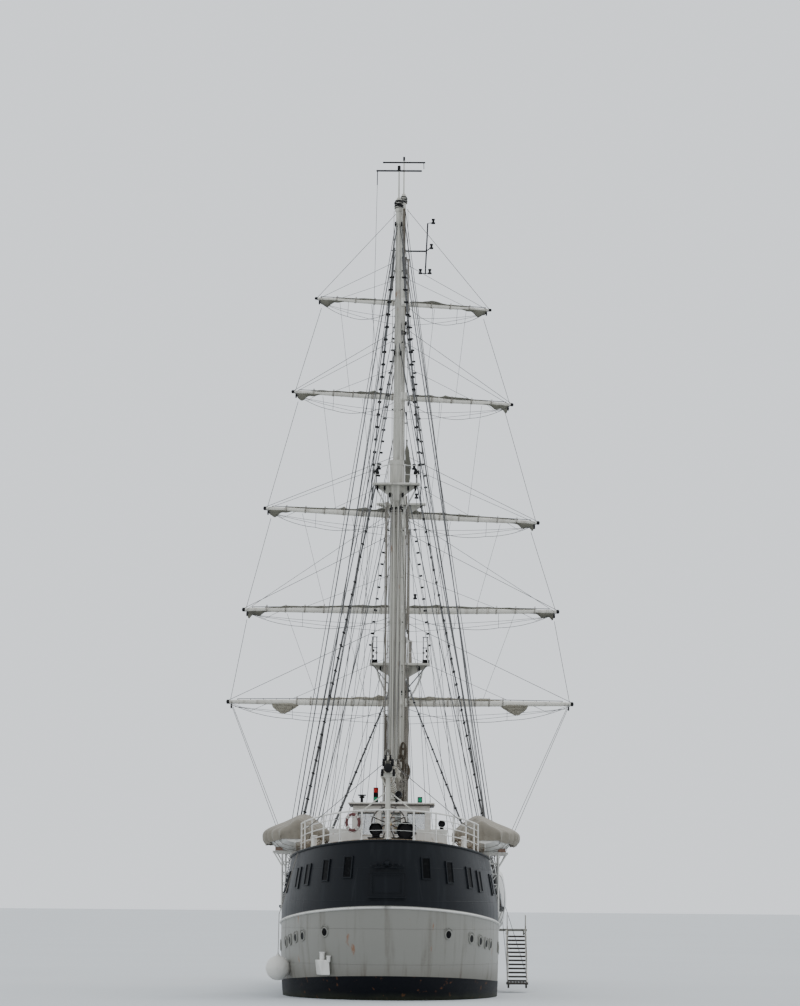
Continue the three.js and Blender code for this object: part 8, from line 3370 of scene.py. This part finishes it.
    def bulkheads(self) -> None:
        """Doors, ports and steps on the fronts of the poop and the forecastle, and rails above them."""
        white, dark, wood = Shape(), Shape(), Shape()
        for y, out, top, half in ((POOP_BREAK_Y, 1, POOP_HEIGHT, 3.9), (11.5, -1, FORECASTLE_HEIGHT, 3.5)):
            base = deck_at(y) + DECK_PLANK
            for x in (-1.15, 1.15):
                low_y, high_y = sorted((y, y + out * 0.05))
                white.block((x - 0.38, low_y, base + 0.2), (x + 0.38, high_y, base + 1.9))
                for step in (0.45, 1.65):
                    white.block(
                        (x - 0.42, low_y, base + step),
                        (x - 0.30, y + out * 0.075 if out > 0 else high_y, base + step + 0.05)
                    )
                self.porthole(
                    dark, white, (x, y + out * 0.055, base + 1.5), (x, y + out * 0.045, base + 1.5), out
                )
            for x in (-3.0, 0.0, 3.0):
                if abs(x) < 2 or top > 2.2:
                    self.porthole(dark, white, (x, y + out * 0.01, base + 1.4), (x, y, base + 1.4), out)
            for side in (-1, 1):
                middle = side * 2.15
                foot = Vector((middle, y + out * 1.35, base))
                head = Vector((middle, y + out * 0.06, deck_at(y) + top + 0.05))
                for x in (-0.34, 0.34):
                    rings = []
                    for point in (foot, head):
                        rings.append([
                            point + Vector((x + dx, 0, dz))
                            for dx, dz in ((-0.025, 0), (0.025, 0), (0.025, 0.2), (-0.025, 0.2))
                        ])
                    white.rings(rings)
                    rail = [foot + Vector((x, 0, 0.75)), head + Vector((x, 0, 0.9))]
                    white.tube(rail, 0.02, 8)
                    for k in range(3):
                        lower = between(foot, head, 0.08 + 0.4 * k) + Vector((x, 0, 0.1))
                        white.tube([lower, between(rail[0], rail[1], 0.08 + 0.4 * k)], 0.017, 8)
                for k in range(9):
                    centre = between(foot, head, (k + 0.7) / 9.4)
                    wood.block(centre + Vector((-0.32, -0.11, 0.07)), centre + Vector((0.32, 0.11, 0.105)))
            edge_z = deck_at(y) + top + (DECK_PLANK if out > 0 else 0.0)
            stops = (-half + 0.1, -2.55, -1.75, -0.85, 0.0, 0.85, 1.75, 2.55, half - 0.1)
            for x in stops:
                white.tube([(x, y - out * 0.1, edge_z - 0.02), (x, y - out * 0.1, edge_z + 1.02)], 0.024, 8)
            for low_x, high_x in ((stops[0], stops[1]), (stops[2], stops[6]), (stops[7], stops[8])):
                for height in (0.36, 0.69, 1.02):
                    white.tube(
                        [(low_x, y - out * 0.1, edge_z + height), (high_x, y - out * 0.1, edge_z + height)],
                        0.020, 8
                    )
        make_piece("break_doors_and_rails", white, WHITE_STEEL, Slot.WHITE_STEEL, bevel=0.004)
        make_piece("break_ports", dark, PANE, Slot.BLACK_PAINT)
        make_piece("break_steps", wood, TREAD, Slot.WHITE_STEEL, bevel=0.004)

    def build(self) -> None:
        """Make the deck's gear."""
        self.pin_racks()
        self.hatches()
        self.bollards()
        self.bulkheads()


@dataclass(frozen=True)
class BowGear:
    """Windlass, anchors with their chain, the forecastle's rail, and the bowsprit's net and ropes."""

    windlass_y: float = 14.0
    heel: Triple = (0.0, 17.2, 5.75)
    tip: Triple = (0.0, 27.6, 8.2)

    def windlass(self) -> None:
        """Barrel, warping ends, chain wheels, cheeks and the brake on the forecastle."""
        shape, chain = Shape(), Shape()
        y, base = self.windlass_y, deck_at(self.windlass_y) + FORECASTLE_HEIGHT
        for side in (-1, 1):
            outline = [(-0.34, 0.0), (0.34, 0.0), (0.20, 0.62), (0.08, 0.76), (-0.08, 0.76), (-0.20, 0.62)]
            shape.plate([Vector((side * 0.82, y + a, base + b)) for a, b in outline], (side * 0.16, 0, 0))
            profile = [
                (0.05, 0.0), (0.20, 0.0), (0.22, 0.04), (0.15, 0.10), (0.14, 0.22), (0.21, 0.30),
                (0.22, 0.34), (0.0, 0.35)
            ]
            shape.turned(profile, (side * 0.98, y, base + 0.45), (side, 0, 0), 20)
            wheel = [
                (0.12, -0.10), (0.26, -0.10), (0.26, -0.06), (0.19, 0.0), (0.26, 0.06), (0.26, 0.10),
                (0.12, 0.10)
            ]
            shape.turned(wheel, (side * 0.52, y, base + 0.45), (1, 0, 0), 20)
            links = 24
            start = Vector((side * 0.52, y + 0.22, base + 0.40))
            end = Vector((side * 1.1, 17.35, deck_at(17.35) + FORECASTLE_HEIGHT + 0.06))
            for k in range(links):
                centre = between(start, end, (k + 0.5) / links)
                along = (end - start).normalized()
                across = along.cross(Vector(UP)).normalized() if k % 2 else Vector(UP)
                reach = (end - start).length / links * 0.68
                loop = [
                    centre + along * (reach * math.cos(a)) + across * (0.055 * math.sin(a))
                    for a in full_turn(10)
                ]
                chain.tube(loop, 0.019, 5, loop=True)
            shape.turned(
                [(0.10, 0.0), (0.20, 0.0), (0.22, 0.04), (0.17, 0.09), (0.11, 0.09)],
                end + Vector((0, 0, -0.05)), UP, 18, loop=True
            )
        drum = [
            (0.0, -0.80), (0.12, -0.80), (0.20, -0.40), (0.24, -0.38), (0.24, -0.08), (0.27, -0.06),
            (0.27, 0.06), (0.24, 0.08), (0.24, 0.38), (0.20, 0.40), (0.12, 0.80), (0.0, 0.80),
        ]
        shape.turned(drum, (0, y, base + 0.45), (1, 0, 0), 22)
        shape.block((-1.05, y - 0.42, base - 0.01), (1.05, y + 0.42, base + 0.05))
        shape.tube(
            [(0.34, y - 0.32, base), (0.34, y - 0.34, base + 0.95), (0.34, y - 0.30, base + 1.0)], 0.02, 8
        )
        make_piece("windlass", shape, SLATE, Slot.SLATE_PAINT)
        make_piece("anchor_chain", chain, GALVANISED, Slot.BLACK_PAINT)

    def anchors(self) -> None:
        """A stockless anchor hove up to the hawse pipe on each bow."""
        shape, rim = Shape(), Shape()
        for side in (-1, 1):
            y, z = 16.6, 3.75
            outward = skin_normal(y, z)
            skin = Vector((half_breadth(y, z), y, z))
            aft = Vector((0, -1, 0))
            aft = (aft - outward * aft.dot(outward)).normalized()
            down = outward.cross(aft)
            down = down if down.z < 0 else -down

            def at(off: float, back: float, low: float) -> Vector:
                """A point off the skin, aft of the hawse pipe and below it."""
                return mirrored(skin + outward * off + aft * back + down * low, side)

            normal = at(1, 0, 0) - at(0, 0, 0)
            rim.turned(
                [(0.14, -0.02), (0.23, -0.02), (0.25, 0.03), (0.20, 0.07), (0.14, 0.05)], at(0, 0, 0), normal,
                22, loop=True
            )
            shape.turned([(0.0, 0.0), (0.14, 0.0), (0.14, 0.012), (0.0, 0.014)], at(0, 0, 0), normal, 18)
            shape.tube([at(0.06, 0, 0.0), at(0.13, 0, 0.35), at(0.12, 0, 0.95)], [0.05, 0.055, 0.07], 8)
            shape.tube(
                [at(0.12, -0.30, 0.98), at(0.13, 0, 1.04), at(0.12, 0.30, 0.98)], [0.06, 0.12, 0.06], 8
            )
            for back in (-1, 1):
                fluke = [
                    at(0.11, back * 0.26, 1.0), at(0.15, back * 0.33, 0.7), at(0.10, back * 0.36, 0.32),
                    at(0.08, back * 0.20, 0.72)
                ]
                shape.plate(fluke, normal * 0.05)
        make_piece("anchors", shape, BLACK, Slot.BLACK_PAINT)
        make_piece("hawse_rims", rim, WHITE_STEEL, Slot.WHITE_STEEL)

    def rail(self) -> None:
        """Stanchions and wires round the forecastle."""
        shape, wire = Shape(), Shape()
        start, end = share_at(11.7, 2.0), 2.93
        for side in (-1, 1):
            lines: list[list[Vector]] = [[], [], []]
            count = 11
            for share in spread(start, end, count):
                foot = mirrored(side_point(share, FORECASTLE_HEIGHT, -0.12), side)
                top = foot + Vector((0, 0, 0.98))
                shape.tube([foot - Vector((0, 0, 0.02)), top], 0.024, 8)
                shape.turned([(0.06, 0.0), (0.06, 0.02), (0.03, 0.05)], foot, UP, 10)
                shape.ball(top, 0.036, 8)
                for line, height in zip(lines, (0.34, 0.66, 0.97)):
                    line.append(foot + Vector((0, 0, height)))
            for line in lines:
                wire.tube(line, 0.011, 5)
        make_piece("forecastle_stanchions", shape, WHITE_STEEL, Slot.WHITE_STEEL)
        make_piece("forecastle_wires", wire, WIRE, Slot.WIRE)

    def sprit(self) -> None:
        """Hoops, cap and cleats on the bowsprit, with the net slung under it and its side stays."""
        white, net = Shape(), Shape()
        heel, tip = Vector(self.heel), Vector(self.tip)
        along = (tip - heel).normalized()
        for share in (0.12, 0.3, 0.42, 0.6, 0.78, 0.93):
            radius = mix(0.24, 0.11, share) + 0.014
            white.turned([(radius, -0.05), (radius, 0.05)], between(heel, tip, share), along, 20)
            for side in (-1, 1):
                white.ball(between(heel, tip, share) + Vector((side * (radius + 0.03), 0, 0)), 0.035, 8)
        white.turned([(0.13, -0.1), (0.14, 0.0), (0.10, 0.05), (0.0, 0.07)], tip, along, 18)
        for side in (-1, 1):
            outer_start = mirrored(side_point(2.66, FORECASTLE_HEIGHT, 0.02), side)
            outer_end = between(heel, tip, 0.95) + Vector((side * 0.14, 0, 0))
            inner = [
                between(heel, tip, mix(0.18, 0.93, k / 16)) + Vector((side * 0.16, 0, -0.05))
                for k in range(17)
            ]
            outer = []
            for k in range(17):
                point = between(outer_start, outer_end, k / 16)
                point.z += 0.25 * math.sin(math.pi * k / 16)
                outer.append(point)
            white.tube(outer, 0.016, 6)
            for k in range(17):
                net.tube(sagging(inner[k], outer[k], 0.22 * (1 - k / 17), 6), 0.008, 4)
            for share in (0.2, 0.4, 0.6, 0.8):
                line = []
                for k in range(17):
                    point = between(inner[k], outer[k], share)
                    point.z -= 0.22 * (1 - k / 17) * 4 * share * (1 - share)
                    line.append(point)
                net.tube(line, 0.008, 4)
            net.tube(inner, 0.012, 5)
            white.tube(
                [
                    mirrored(side_point(2.72, 1.2, 0.03), side),
                    between(heel, tip, 0.93) + Vector((side * 0.12, 0, -0.05))
                ],
                0.020, 6
            )
        make_piece("bowsprit_hoops", white, SPAR, Slot.SPAR_PAINT)
        make_piece("bowsprit_net", net, ROPE_PALE, Slot.WIRE)

    def build(self) -> None:
        """Make the bow's gear."""
        self.windlass()
        self.anchors()
        self.rail()
        self.sprit()


def build_decks() -> None:
    """Make the gear on the decks and at the bow."""
    DeckGear().build()
    BowGear().build()


# Carried-over nodes


NODE_FINISHES: dict[str, Finish] = {
    "hull_bottom": BOOT, "hull_topsides": HULL_WHITE_IN_PAINTED_SHADE, "poop": SLATE, "forecastle": HULL_WHITE_IN_PAINTED_SHADE,
    "bulwark_port": HULL_WHITE_IN_PAINTED_SHADE, "bulwark_starboard": HULL_WHITE_IN_PAINTED_SHADE, "main_deck": TEAK, "poop_deck": TEAK,
    "rudder": BOOT, "propeller": BRONZE, "foremast": MAST, "mainmast": MAST, "bowsprit": SPAR,
    "main_boom": SPAR, "main_sail": SAIL_PALE, "fore_shrouds_port": WIRE, "fore_shrouds_starboard": WIRE,
    "main_shrouds_port": WIRE, "main_shrouds_starboard": WIRE, "fore_stay": WIRE, "jib_stay": WIRE,
    "flying_jib_stay": WIRE, "main_stay": WIRE, "stern_rail": WHITE_STEEL, "locker_port": WHITE_STEEL,
    "locker_lid_port": WHITE_STEEL, "locker_starboard": WHITE_STEEL, "locker_lid_starboard": WHITE_STEEL,
    "stern_vents": BLACK, "steering_wheel": VARNISH, "wheel_stand": WHITE_STEEL, "lifebuoy": VARNISH,
    "wheelhouse": WHITE_STEEL, "wheelhouse_roof": WHITE_STEEL, "wheelhouse_door": VARNISH,
    "boat_port": WHITE_STEEL, "boat_cover_port": COVER, "boat_cradle_port": WHITE_STEEL,
    "boat_starboard": WHITE_STEEL, "boat_cover_starboard": COVER, "boat_cradle_starboard": WHITE_STEEL,
    "tender": PLASTIC, "boarding_ladder": WHITE_STEEL, "ball_fender": VINYL,
}


def dress_nodes() -> None:
    """Give every carried-over node its finish."""
    for name, node in frame["nodes"].items():
        if name.endswith("_yard"):
            finish = SPAR
        elif name.endswith("_sail") and name not in NODE_FINISHES:
            finish = SAIL
        else:
            finish = NODE_FINISHES[name]
        material = finish.material()
        for slot in node.material_slots:
            slot.material = material


def main() -> None:
    """Build the scene in order."""
    logging.basicConfig(level=logging.INFO, format="%(message)s")
    Studio().build()
    dress_nodes()
    HullSkin().build()
    build_rigging()
    build_poop_gear()
    build_masts()
    build_decks()


if __name__ == "__main__":
    main()
